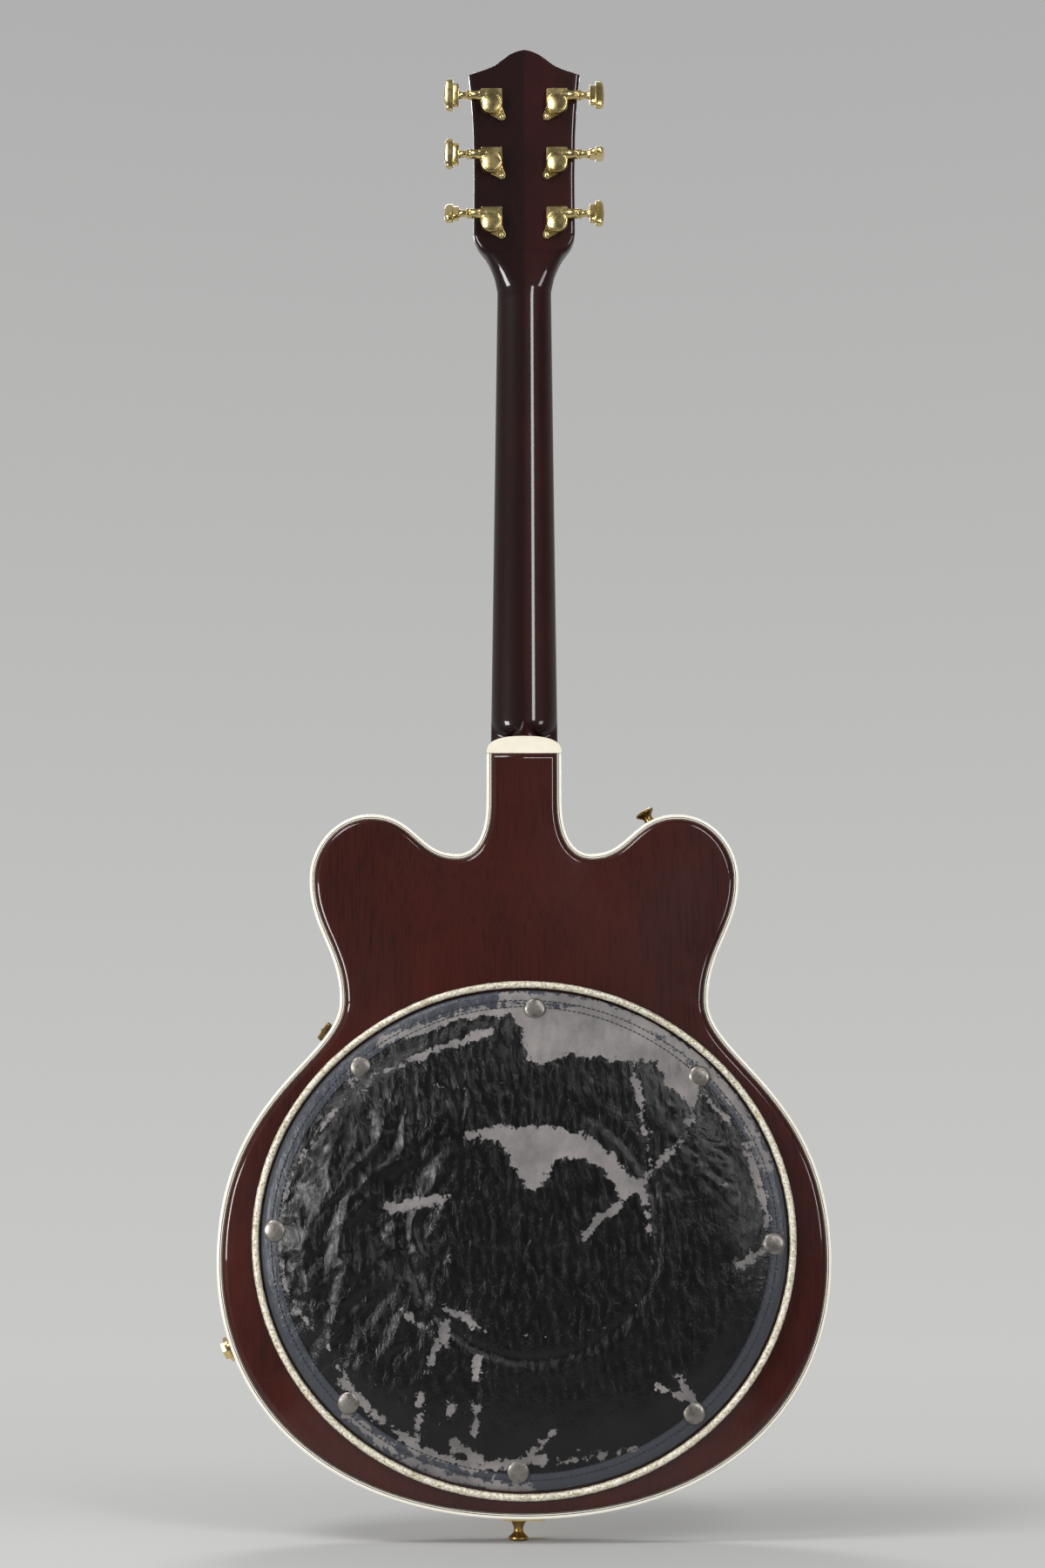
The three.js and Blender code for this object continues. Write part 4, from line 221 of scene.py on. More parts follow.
def binding_plies(name):
    material, tree, shader = new_material(name)
    measure = add_node(tree, "ShaderNodeAttribute", attribute_name="inset")
    share = add_node(tree, "ShaderNodeMath", {0: measure.outputs["Fac"], 1: 4.0}, operation="DIVIDE")
    lines = add_node(tree, "ShaderNodeValToRGB", {"Fac": share.outputs["Value"]}, [
        (0.0, "e9e5da"), (0.54, "100f0e"), (0.67, "e2ddcf"), (0.82, "100f0e"), (0.96, "cfc9ba")])
    lines.color_ramp.interpolation = "CONSTANT"
    grime = pattern(tree, 9, inputs={"Detail": 4})
    stain = add_node(tree, "ShaderNodeMapRange", {
        "Value": grime.outputs["Fac"], "From Min": 0.45, "From Max": 0.8, "To Max": 0.18})
    colour = add_node(tree, "ShaderNodeMix", {
        0: stain.outputs["Result"], 6: lines.outputs["Color"], 7: linear("b8a987")}, data_type="RGBA")
    feed(tree, shader, {
        "Base Color": colour.outputs[2], "Roughness": 0.25, "Coat Weight": 0.4, "Coat Roughness": 0.08})
    return material


BINDING = binding_plies("cream_and_black_binding")
print("trims:", CREAM.name, BINDING.name)

# %% [markdown]
# ## Metals
# Tuners, tailpiece and strap buttons are gold plated, and the plate is thin: it goes brown in places.
# A metal's colour is its reflection, so wear is shown by a change of colour and of roughness together.
# Springs and strings are drawn steel, and snap caps are nickel with fine scratches.

# %% Metals
def metal(name, bright, worn, roughness, wear_mm, wear_share, scratch_mm=0.5, stretch=(1, 1, 1)):
    material, tree, shader = new_material(name)
    patches = pattern(tree, wear_mm, inputs={"Detail": 5, "Roughness": 0.6})
    share = add_node(tree, "ShaderNodeMapRange", {
        "Value": patches.outputs["Fac"], "From Min": 0.5, "From Max": 0.72, "To Max": wear_share})
    colour = add_node(tree, "ShaderNodeMix", {
        0: share.outputs["Result"], 6: linear(bright), 7: linear(worn)}, data_type="RGBA")
    scratches = pattern(tree, scratch_mm, stretch, inputs={"Detail": 3})
    rough = add_node(tree, "ShaderNodeMapRange", {
        "Value": patches.outputs["Fac"], "From Min": 0.4, "From Max": 0.8,
        "To Min": roughness, "To Max": roughness * 2.2})
    feed(tree, shader, {
        "Base Color": colour.outputs[2], "Roughness": rough.outputs["Result"],
        "Normal": bump_of(tree, scratches.outputs["Fac"], 0.006), "Metallic": 1})
    return material


GOLD = metal("gold_plate_polished", "f2dc9c", "cdae68", 0.19, 9, 0.4)
WORN_GOLD = metal("gold_plate_worn", "a98a52", "5d4a2e", 0.26, 4, 0.9)
NICKEL = metal("nickel_snap_cap", "95908a", "5c5752", 0.33, 5, 0.8)
STEEL = metal("control_steel", "b6b8bb", "84868a", 0.3, 6, 0.6)
SPRING_STEEL = metal("drawn_spring_steel", "c4c5c6", "8f9092", 0.22, 5, 0.5, 0.3, (1, 1, 8))
PLAIN_STRING = metal("plain_string_steel", "cfd0d2", "a3a4a6", 0.16, 12, 0.4)
FRET_METAL = metal("nickel_fret_wire", "c9c6be", "9a978f", 0.2, 7, 0.5, 0.3, (12, 1, 1))


# The winding is finer than a pixel, so one turn takes 1.9 mm here, about four times its real size
def wound_wire(name):
    material, tree, shader = new_material(name)
    place = add_node(tree, "ShaderNodeTexCoord")
    turns = add_node(tree, "ShaderNodeTexWave", {
        "Vector": place.outputs["Object"], "Scale": 1000 / 6.0, "Distortion": 0.0}, bands_direction="Z")
    # The colour is light on the turns and dark in the grooves between them: painted shade in the grooves, not
    # a change in the metal.
    tone = add_node(tree, "ShaderNodeValToRGB", {"Fac": turns.outputs["Fac"]},
                    [(0.1, "6f6c66"), (0.6, "cbc8c0")])
    feed(tree, shader, {
        "Base Color": tone.outputs["Color"], "Normal": bump_of(tree, turns.outputs["Fac"], 0.15),
        "Metallic": 1, "Roughness": 0.3})
    return material


WOUND_STRING = wound_wire("nickel_wound_string")
print("materials so far:", len(bpy.data.materials))

# %% [markdown]
# ## Small helpers for shapes
# Most parts of a guitar are turned, bent or cut from a flat plate.
# So there is one helper for a turned part, one for a part with changing sections, one for a bent rod
# and one for a flat plate, and one function turns their points into a piece that rides on a body.

# %% Helpers for shapes
def loft(rings, endless=False):
    rings = [np.asarray(ring, float) for ring in rings]
    count = len(rings[0])
    faces = []
    for ring in range(len(rings) if endless else len(rings) - 1):
        here, there = ring * count, ((ring + 1) % len(rings)) * count
        for step in range(count):
            after = (step + 1) % count
            faces.append((here + step, here + after, there + after, there + step))
    if not endless:
        faces.append(tuple(range(count - 1, -1, -1)))
        faces.append(tuple((len(rings) - 1) * count + step for step in range(count)))
    return np.concatenate(rings), faces


def circle(radius, sides, middle=(0, 0, 0)):
    angles = 2 * np.pi * np.arange(sides) / sides
    ring = np.stack([radius * np.cos(angles), radius * np.sin(angles), np.zeros(sides)], 1)
    return ring + np.asarray(middle, float)


# The turning frame: its third axis is the part's own axis
def frame_along(origin, axis, beside=None):
    axis = Vector(axis).normalized()
    helper = Vector((0, 0, 1)) if abs(axis.z) < 0.9 else Vector((1, 0, 0))
    if beside is not None:
        helper = Vector(beside)
    across = (helper - axis * helper.dot(axis)).normalized()
    other = axis.cross(across)
    turn = Matrix((across, other, axis)).transposed().to_4x4()
    return Matrix.Translation(Vector(origin)) @ turn


def moved(matrix, points):
    table = np.array(matrix, float)
    return np.asarray(points, float) @ table[:3, :3].T + table[:3, 3]


def turned(profile, sides, place):
    rings = [circle(max(radius, 0.0), sides, (0, 0, height)) for radius, height in profile]
    points, faces = loft(rings)
    return moved(place, points), faces


def rod(path, radius, sides=12):
    path = [Vector(point) for point in path]
    radii = np.broadcast_to(np.asarray(radius, float), (len(path),))
    rings, side = [], None
    for index, point in enumerate(path):
        ahead = (path[min(index + 1, len(path) - 1)] - path[max(index - 1, 0)]).normalized()
        if side is None:
            side = frame_along(point, ahead).col[0].to_3d()
        side = (side - ahead * side.dot(ahead)).normalized()
        rings.append(moved(frame_along(point, ahead, side), circle(radii[index], sides)))
    return loft(rings)


# A flat plate whose outline lies across the first two axes of its place
def plate(outline, low, high, place=Matrix.Identity(4)):
    rings = [[(a, b, level) for a, b in outline] for level in (low, high)]
    points, faces = loft(rings)
    return moved(place, points), faces


# A plate's outline across X and Z, and its depth along Y
FLAT = Matrix(((1, 0, 0, 0), (0, 0, 1, 0), (0, 1, 0, 0), (0, 0, 0, 1)))


def box(low, high):
    outline = [(low[0], low[2]), (high[0], low[2]), (high[0], high[2]), (low[0], high[2])]
    return plate(outline, low[1], high[1], FLAT)


def together(*shapes):
    points, faces, start = [], [], 0
    for shape_points, shape_faces in shapes:
        points.append(np.asarray(shape_points, float))
        faces += [tuple(start + index for index in face) for face in shape_faces]
        start += len(shape_points)
    return np.concatenate(points), faces


def smooth_through(keys, count):
    """Points on an even, gently curved line through rows of numbers."""
    keys = np.asarray(keys, float)
    padded = np.vstack([2 * keys[0] - keys[1], keys, 2 * keys[-1] - keys[-2]])
    rows = []
    for place in np.linspace(0, len(keys) - 1 - 1e-9, count):
        index = int(place)
        t = place - index
        a, b, c, d = padded[index:index + 4]
        rows.append(0.5 * (2 * b + (c - a) * t + (2 * a - 5 * b + 4 * c - d) * t * t
                           + (3 * b - a - 3 * c + d) * t ** 3))
    return np.array(rows)


def new_object(name, shape, crease=32, recalculate=True):
    points, faces = shape
    mesh = bpy.data.meshes.new(name)
    mesh.from_pydata([tuple(point) for point in np.asarray(points, float) * MM], [], faces)
    shell = bmesh.new()
    shell.from_mesh(mesh)
    bmesh.ops.remove_doubles(shell, verts=shell.verts, dist=2e-6)
    bmesh.ops.dissolve_degenerate(shell, edges=shell.edges, dist=1e-7)
    if recalculate:
        bmesh.ops.recalc_face_normals(shell, faces=shell.faces)
    shell.to_mesh(mesh)
    shell.free()
    mesh.polygons.foreach_set("use_smooth", [True] * len(mesh.polygons))
    mesh.set_sharp_from_angle(angle=math.radians(crease))
    made = bpy.data.objects.new(name, mesh)
    SCENE.collection.objects.link(made)
    return made


def dress(made, material, body, stands_for=()):
    made.data.materials.clear()
    made.data.materials.append(material)
    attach(made, body)
    if stands_for:
        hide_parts(*stands_for)
    return made


# Only edges that turn by more than this many degrees are rounded
BEVEL_ANGLE = 38


def piece(name, shape, material, body, stands_for=(), bevel=0.0, crease=32, segments=2):
    made = new_object(name, shape, crease)
    if bevel:
        edge = made.modifiers.new("edges", "BEVEL")
        edge.width = bevel * MM
        edge.segments = segments
        edge.limit_method = "ANGLE"
        edge.angle_limit = math.radians(BEVEL_ANGLE)
        edge.harden_normals = True
    return dress(made, material, body, stands_for)


print("a box has", len(box((0, 0, 0), (1, 1, 1))[1]), "faces")

# %% [markdown]
# ## Copies on points
# Screws, snap caps, frets and inlays are the same small shape again and again.
# A Geometry Nodes tree puts one copy on every point, turned to face its own way, and then makes them real,
# because the exported model can't hold instances.

# %% Copies on points
def new_tree(name, inputs):
    tree = bpy.data.node_groups.new(name, "GeometryNodeTree")
    sockets = {}
    for label, kind in inputs.items():
        socket = tree.interface.new_socket(label, in_out="INPUT", socket_type="NodeSocket" + kind)
        sockets[label] = socket.identifier
    tree.interface.new_socket("Geometry", in_out="OUTPUT", socket_type="NodeSocketGeometry")
    return tree, sockets, add_node(tree, "NodeGroupInput")


def close_tree(tree, geometry, finish):
    real = add_node(tree, "GeometryNodeRealizeInstances", {"Geometry": geometry})
    coated = add_node(tree, "GeometryNodeSetMaterial",
                      {"Geometry": real.outputs["Geometry"], "Material": finish})
    add_node(tree, "NodeGroupOutput", {"Geometry": coated.outputs["Geometry"]})


def copies_tree():
    tree, sockets, given = new_tree("copies_on_points", {
        "Points": "Geometry", "Shape": "Object", "Size": "Float", "Finish": "Material"})
    facing = add_node(tree, "GeometryNodeInputNamedAttribute", {"Name": "facing"}, data_type="FLOAT_VECTOR")
    beside = add_node(tree, "GeometryNodeInputNamedAttribute", {"Name": "beside"}, data_type="FLOAT_VECTOR")
    size = add_node(tree, "GeometryNodeInputNamedAttribute", {"Name": "size"}, data_type="FLOAT_VECTOR")
    upright = add_node(tree, "FunctionNodeAlignRotationToVector", {"Vector": facing.outputs["Attribute"]},
                       axis="Z")
    aligned = add_node(tree, "FunctionNodeAlignRotationToVector", {
        "Rotation": upright.outputs["Rotation"], "Vector": beside.outputs["Attribute"]}, axis="X",
        pivot_axis="Z")
    scaled = add_node(tree, "ShaderNodeVectorMath", {
        0: size.outputs["Attribute"], "Scale": given.outputs["Size"]}, operation="SCALE")
    shape = add_node(tree, "GeometryNodeObjectInfo", {"Object": given.outputs["Shape"]})
    spread = add_node(tree, "GeometryNodeInstanceOnPoints", {
        "Points": given.outputs["Points"], "Instance": shape.outputs["Geometry"],
        "Rotation": aligned.outputs["Rotation"], "Scale": scaled.outputs["Vector"]})
    close_tree(tree, spread.outputs["Instances"], given.outputs["Finish"])
    return tree, sockets


COPIES, COPIES_INPUTS = copies_tree()


def bake(made):
    """Turn the evaluated shape into the object's plain mesh and remove the modifiers."""
    bpy.context.view_layer.update()
    graph = bpy.context.evaluated_depsgraph_get()
    result = bpy.data.meshes.new_from_object(made.evaluated_get(graph), depsgraph=graph)
    made.modifiers.clear()
    made.data = result


def apply_nodes(made, tree, values):
    modifier = made.modifiers.new("nodes", "NODES")
    modifier.node_group = tree
    for identifier, value in values.items():
        modifier[identifier] = value
    bake(made)
    made.data.name = made.name


def copies(name, shape, spots, material, body, crease=32, size=1.0):
    """spots: rows of (place, facing, beside, size along each axis)"""
    template = new_object(name + "_shape", shape, crease)
    mesh = bpy.data.meshes.new(name)
    mesh.from_pydata([tuple(np.asarray(spot[0], float) * MM) for spot in spots], [], [])
    for label, column in (("facing", 1), ("beside", 2), ("size", 3)):
        attribute = mesh.attributes.new(label, "FLOAT_VECTOR", "POINT")
        values = [spot[column] if len(spot) > column else (1, 1, 1) for spot in spots]
        attribute.data.foreach_set("vector", np.asarray(values, float).ravel())
    made = bpy.data.objects.new(name, mesh)
    SCENE.collection.objects.link(made)
    apply_nodes(made, COPIES, {COPIES_INPUTS["Shape"]: template, COPIES_INPUTS["Size"]: size,
                               COPIES_INPUTS["Finish"]: material})
    bpy.data.objects.remove(template)
    return dress(made, material, body)


SCREW_HEAD = turned([(0, 1.1), (0.8, 1.05), (1.7, 0.75), (2.3, 0.2), (2.35, -0.4)], 16, Matrix.Identity(4))
print("inputs of the copies tree:", list(COPIES_INPUTS))

# %% [markdown]
# ## The body's outline and its arch
# The outline is one chain of curves from the tail to the neck, mirrored, and both plates share it.
# Each plate is carved: it rises from the edge and is nearly flat in the middle, so its height depends
# only on how far a point is from the edge. That distance is measured to a fine copy of the outline.

# %% Outline and arch
BODY_END, HALF_DEPTH = 554.3, 25.4
PLATE_THICKNESS, BINDING_WIDTH, ARCH_HEIGHT, ARCH_RUN = 5.2, 4.0, 9.0, 80.0
FADE_LENGTH = 60  # the arch runs out over this length towards the neck
KNOTS = [(0, 16), (216, 194), (132.5, 372), (156, 462), (112.2, 509), (49.1, 479.4), (27.7, 518)]
# For each curve: how far its handles reach, and whether it leaves and arrives across the body
CURVES = [(0.64, 0.57, True, False), (0.64, 0.23, False, False), (0.41, 0.42, False, False),
          (0.5, 0.58, False, True), (0.52, 0.43, True, True), (0.45, 0.8, True, False)]


def half_outline(spacing=4.0):
    points = []
    for (start, end), (reach_start, reach_end, leaves, arrives) in zip(zip(KNOTS, KNOTS[1:]), CURVES):
        start, end = np.array(start, float), np.array(end, float)
        across, up = np.array((1.0, 0.0)), np.array((0.0, 1.0))
        first = start + (end - start) * (across if leaves else up) * reach_start
        second = end - (end - start) * (across if arrives else up) * reach_end
        steps = max(8, int(np.linalg.norm(end - start) * 1.15 / spacing))
        for t in np.arange(steps) / steps:
            points.append((1 - t) ** 3 * start + 3 * (1 - t) ** 2 * t * first
                          + 3 * (1 - t) * t * t * second + t ** 3 * end)
    points += [np.array((27.7, z)) for z in np.arange(518, BODY_END, spacing)]
    points.append(np.array((27.7, BODY_END)))
    return np.array(points)


HALF = half_outline()
OUTLINE = np.concatenate([HALF[::-1], (HALF * (-1, 1))[1:]])  # treble corner, round the tail, bass corner


def inset_outline(distance):
    before = np.roll(OUTLINE, 1, 0)
    after = np.roll(OUTLINE, -1, 0)
    first = (OUTLINE - before) / np.linalg.norm(OUTLINE - before, axis=1)[:, None]
    second = (after - OUTLINE) / np.linalg.norm(after - OUTLINE, axis=1)[:, None]
    first[0], second[-1] = second[0], first[-1]
    inward = np.stack([first[:, 1] + second[:, 1], -first[:, 0] - second[:, 0]], 1)
    inward /= np.linalg.norm(inward, axis=1)[:, None]
    reach = distance / (inward[:, 0] * first[:, 1] - inward[:, 1] * first[:, 0])
    return OUTLINE + inward * reach[:, None]


def distance_to_edges(points, starts, ends):
    points = np.asarray(points, float)[:, None, :]
    along = (ends - starts)[None]
    share = np.clip(((points - starts[None]) * along).sum(2) / (along ** 2).sum(2), 0, 1)
    return np.linalg.norm(points - (starts[None] + along * share[..., None]), axis=2).min(1)


def edge_distance(points):
    return distance_to_edges(points, OUTLINE, np.roll(OUTLINE, -1, 0))


# The same distance without the open end by the neck, where the arch only fades out
def edge_distance_sides(points):
    return distance_to_edges(points, OUTLINE[:-1], OUTLINE[1:])


def arch_rise(points):
    points = np.asarray(points, float)
    run = np.clip((edge_distance_sides(points) - BINDING_WIDTH) / (ARCH_RUN - BINDING_WIDTH), 0, 1)
    fade = np.clip((BODY_END - points[:, 1]) / FADE_LENGTH, 0, 1)
    return ARCH_HEIGHT * run * run * (3 - 2 * run) * fade * fade * (3 - 2 * fade)


def arch_at(x, z):
    return float(arch_rise([(x, z)])[0])


def inside(points, loop):
    points, loop = np.asarray(points, float), np.asarray(loop, float)
    ends = np.roll(loop, -1, 0)
    crossed = (loop[None, :, 1] > points[:, None, 1]) != (ends[None, :, 1] > points[:, None, 1])
    slope = (points[:, None, 1] - loop[None, :, 1]) / (ends[None, :, 1] - loop[None, :, 1] + 1e-12)
    beside = points[:, None, 0] < loop[None, :, 0] + slope * (ends - loop)[None, :, 0]
    return (crossed & beside).sum(1) % 2 == 1


print("outline points:", len(OUTLINE), "rise in the middle:", round(arch_at(0, 250), 2))

# %% [markdown]
# ## Carved plates
# A carved plate is one smooth sheet, so it is drawn as a net of triangles: close rings near the edge,
# where it bends most, and an even grid in the middle. The heights are evened out a little, because a real
# carver sands the ridges away. Thickness is added afterwards with a modifier.

# %% Carved plates
RING_INSETS = (8, 13, 19)
SMOOTHING_PASSES = 48


def ring_points(radius_x, radius_z, centre, count):
    angles = 2 * np.pi * np.arange(count) / count
    return np.stack([centre[0] + radius_x * np.cos(angles), centre[1] + radius_z * np.sin(angles)], 1)


def carved_sheet(hole=None):
    border = inset_outline(BINDING_WIDTH - 0.05)
    border[0, 1] = border[-1, 1] = BODY_END
    rings = [inset_outline(distance)[2:-2] for distance in RING_INSETS]
    columns, rows = np.arange(-210, 211, 6.5), np.arange(22, 556, 5.6)
    grid = np.array([(x + (index % 2) * 3.25, z) for index, z in enumerate(rows) for x in columns])
    grid = grid[inside(grid, OUTLINE)]
    grid = grid[(edge_distance_sides(grid) > 22) & (grid[:, 1] < BODY_END - 6)]
    loops = [border]
    if hole is not None:
        loops.append(hole)
        middle, radius = hole.mean(0), np.linalg.norm(hole[0] - hole.mean(0))
        grid = grid[np.linalg.norm(grid - middle, axis=1) > radius + 4]
        rings.append(ring_points(radius + 4, radius + 4, middle, len(hole)))
    flat = np.concatenate(loops + rings + [grid])
    edges, start = [], 0
    for loop in loops:
        edges += [(start + step, start + (step + 1) % len(loop)) for step in range(len(loop))]
        start += len(loop)
    found = delaunay_2d_cdt([Vector(point) for point in flat], edges, [], 0, 1e-6)
    flat, triangles = np.array([tuple(point) for point in found[0]]), np.array(found[2])
    middles = flat[triangles].mean(1)
    kept = inside(middles, border)
    if hole is not None:
        kept &= ~inside(middles, hole)
    triangles = triangles[kept]
    heights = arch_rise(flat)
    fixed = edge_distance(flat) < BINDING_WIDTH + 0.5
    pairs = np.concatenate([triangles[:, [0, 1]], triangles[:, [1, 2]], triangles[:, [2, 0]]])
    for _ in range(SMOOTHING_PASSES):
        total, count = np.zeros(len(flat)), np.zeros(len(flat))
        np.add.at(total, pairs[:, 0], heights[pairs[:, 1]])
        np.add.at(total, pairs[:, 1], heights[pairs[:, 0]])
        np.add.at(count, pairs.ravel(), 1)
        evened = np.where(count > 0, total / np.maximum(count, 1), heights)
        heights = np.where(fixed, heights, 0.4 * heights + 0.6 * evened)
    return flat, heights, triangles


def carved_plate(name, side, hole, stands_for):
    flat, heights, triangles = carved_sheet(hole)
    points = np.stack([flat[:, 0], side * (HALF_DEPTH + heights), flat[:, 1]], 1)
    corners = points[triangles]
    turn = np.cross(corners[:, 1] - corners[:, 0], corners[:, 2] - corners[:, 0])[:, 1] * side
    faces = [tuple(face if good > 0 else face[::-1]) for face, good in zip(triangles.tolist(), turn)]
    made = new_object(name, (points, faces), crease=60, recalculate=False)
    wall = made.modifiers.new("thickness", "SOLIDIFY")
    wall.thickness = PLATE_THICKNESS * MM
    wall.offset = -1
    dress(made, STAINED_BODY, GUITAR, [stands_for])
    print(name, len(points), "points,", len(faces), "triangles")


PAD_CENTRE = np.array((0.0, 206.7))
ACCESS_HOLE = ring_points(85, 85, PAD_CENTRE, 96)
carved_plate("back_plate_carved", 1, ACCESS_HOLE, "back_plate")
carved_plate("top_plate_carved", -1, None, "top_plate")

# %% [markdown]
# ## Rim and bindings
# The rim is a strip of wood bent round the body, and its edges are trimmed with plastic strips in a rebate.
# The binding stores how far each point lies from the edge, and its material draws the thin lines from that.

# %% Rim and bindings
def swept_round(profile, closed=False):
    """profile: rows of (inset, level in Y), carried round the outline"""
    columns = []
    for inset, level in profile:
        line = inset_outline(inset)
        line[0, 1] = line[-1, 1] = BODY_END
        columns.append(np.stack([line[:, 0], np.full(len(line), level), line[:, 1]], 1))
    rings = np.stack(columns, 1)
    return loft(list(rings), endless=closed)


def binding(name, side, stands_for):
    low, high = (HALF_DEPTH - PLATE_THICKNESS) * side, HALF_DEPTH * side
    profile = [(0, low), (0, high - 1.1 * side), (0.12, high - 0.6 * side), (0.45, high - 0.2 * side),
               (1.0, high - 0.02 * side)]
    profile += [(share, high) for share in (1.6, 2.4, 3.2, 4.0)] + [(4.0, low)]
    made = new_object(name, swept_round(profile), crease=50)
    measure = made.data.attributes.new("inset", "FLOAT", "POINT")
    places = np.array([vertex.co for vertex in made.data.vertices]) / MM
    distance = edge_distance_sides(places[:, [0, 2]])
    measure.data.foreach_set("value", distance)
    dress(made, BINDING, GUITAR, [stands_for])


binding("back_binding_plies", 1, "back_binding")
binding("top_binding_plies", -1, "top_binding")

JACK_FACE = Vector((209.53, 0.0, 128.04))
JACK_AXIS = Vector((0.894, 0.0, -0.448)).normalized()
rim_level = HALF_DEPTH - PLATE_THICKNESS - 0.05
rim_profile = [(0.02, -rim_level), (0.02, rim_level), (4, rim_level), (14, rim_level), (14, rim_level - 10),
               (4, rim_level - 14), (4, 14 - rim_level), (14, 10 - rim_level), (14, -rim_level),
               (4, -rim_level)]
rim = new_object("rim_bent", swept_round(rim_profile, closed=True), crease=40)
drill = new_object("drill", turned([(6.1, -30), (6.1, 20)], 32, frame_along(JACK_FACE, JACK_AXIS)))
bore = rim.modifiers.new("jack_bore", "BOOLEAN")
bore.object = drill
bore.operation = "DIFFERENCE"
bake(rim)
bpy.data.objects.remove(drill)
dress(rim, STAINED_BODY, GUITAR, ["rim"])
print("rim:", len(rim.data.polygons), "faces")

# %% [markdown]
# ## Neck and headstock
# The neck is one long piece of maple: round behind the strings, ending in a rounded nose above the heel,
# and flattening into the headstock at the other end. It is lofted from sections whose curve goes from
# an oval to nearly a rectangle, so there is no seam where the neck becomes the head.

# %% Neck and headstock
NUT_Z, BRIDGE_Z, BOARD_END = 930.0, 305.0, 478.0
NECK_START = BODY_END + 0.3
NECK_SLOPE = math.tan(math.radians(2.6))
HEAD_LENGTH, HEAD_THICKNESS, HEAD_HALF = 192.5, 14.5, 39.7
HEAD_FRONT, HEAD_TILT = -16.5, 11
HEAD = Matrix.Translation((0, HEAD_FRONT, NUT_Z)) @ Matrix.Rotation(math.radians(-HEAD_TILT), 4, "X")
HEAD_SHARES = [(0.7, 0.105), (0.81, 0.158), (0.9, 0.193), (0.98, 0.228), (1, 0.255), (0.99, 0.48),
               (1.003, 0.654),
               (1.025, 0.745), (1.062, 0.835), (1.096, 0.9), (1.06, 0.903), (0.77, 0.922), (0.58, 0.94),
               (0.44, 0.962), (0.3, 0.982), (0.14, 0.996), (0.0, 1.0)]


def face_at(z):
    return -22.8 - (NUT_Z - z) * NECK_SLOPE


def neck_front(z):
    return face_at(z) + 6.3


def width_at(z):
    return 42.4 + 10.6 * (NUT_Z - z) / 452


def neck_depth(z):
    return 20.8 + 2.8 * (NUT_Z - z) / (NUT_Z - NECK_START)


def section(half, front, back, level, roundness, steps=40):
    angles = np.pi * np.arange(steps + 1) / steps
    cosine, sine = np.cos(angles), np.clip(np.sin(angles), 0, 1)
    x = half * np.sign(cosine) * np.abs(cosine) ** roundness
    return np.stack([x, front + (back - front) * sine ** roundness, np.full(steps + 1, level)], 1)


def head_half(z):
    along = [0, 5, 9, 16.5, 25, 30, 34.5] + [share[1] * HEAD_LENGTH for share in HEAD_SHARES[2:]]
    across = [21.2, 21.2, 22, 23.8, 27.4, 30.2, 33.2] + [share[0] * HEAD_HALF for share in HEAD_SHARES[2:]]
    return float(np.interp(z, along, across))


def neck_rings():
    rings = []
    nose = 50.0
    round_share = np.sin(np.pi * np.arange(41) / 40)
    for rise in np.concatenate([np.linspace(0, 14, 5), np.linspace(15, nose, 44)]):
        z = NECK_START + rise
        ring = section(width_at(z) / 2, neck_front(z), face_at(z) + neck_depth(z), z, 1)
        along = np.clip((rise - 23.5 - 18 * (1 - round_share) ** 1.5) / 11, 0, 1)
        rounded = 0.5 + 0.5 * np.sqrt(1 - (1 - along) ** 2)
        ring[:, 1] = neck_front(z) + (ring[:, 1] - neck_front(z)) * rounded
        rings.append(ring)
    for z in np.linspace(NECK_START + nose + 6, NUT_Z - 4, 34):
        rings.append(section(width_at(z) / 2, neck_front(z), face_at(z) + neck_depth(z), z, 1))
    root = [(0, 21.2, 1.0), (5, 21.2, 0.96), (9, 22.0, 0.85), (16.5, 23.8, 0.66), (25, 27.4, 0.42),
            (30, 30.2, 0.3)]
    for rise, half, roundness in smooth_through(root, 22):
        z = NUT_Z + rise
        front = HEAD_FRONT + rise * math.tan(math.radians(HEAD_TILT))
        rings.append(section(half, front, front + HEAD_THICKNESS + 0.05, z, roundness))
    for z in np.concatenate([np.linspace(35.5, 173, 54), np.linspace(173.3, 191.2, 26),
                             [192.0, 192.35, 192.5]]):
        roundness = 0.11 + 0.17 * max(0.0, 1 - (z - 33) / 16)
        half = max(head_half(z), 0.6)
        rings.append(moved(HEAD, section(half, 0, HEAD_THICKNESS, z, roundness)))
    return rings


neck = piece("neck_and_headstock", loft(neck_rings()), STAINED_NECK, GUITAR, ["neck"],
             crease=50)
print("neck:", len(neck.data.polygons), "faces")

# %% [markdown]
# ## Heel
# Below its rounded nose the neck narrows to a wedge and then flares out into the heel, under a cream cap.
# The wedge is lofted towards the fingerboard from the half-moon of the cap, and the cap is a thin plate.

# %% Heel
HEEL_HEIGHT, TONGUE_HALF = 13.1, 27.7
HEEL_KEYS = [(0, 0, 1, 2.6), (0.18, 0.07, 0.96, 2.2), (0.42, 0.24, 0.82, 1.7), (0.66, 0.5, 0.62, 1.4),
             (0.86, 0.82, 0.44, 1.2), (1, 1.12, 0.36, 1.1)]


def half_moon(half, height, power, steps=40):
    angles = np.pi * np.arange(steps + 1) / steps
    cosine, sine = np.cos(angles), np.clip(np.sin(angles), 0, 1)
    x = half * np.sign(cosine) * np.abs(cosine) ** (2 / power)
    return np.stack([x, NECK_START + height * sine ** (2 / power)], 1)


def heel_shape():
    back, front = HALF_DEPTH - 3.1, neck_front(BODY_END + 63.1) + 0.3
    rings = []
    for depth, height, width, power in smooth_through(HEEL_KEYS, 26):
        outline = half_moon(TONGUE_HALF * width, HEEL_HEIGHT + 36.9 * height, power)
        rings.append([(x, back + (front - back) * depth, z) for x, z in outline])
    return loft(rings)


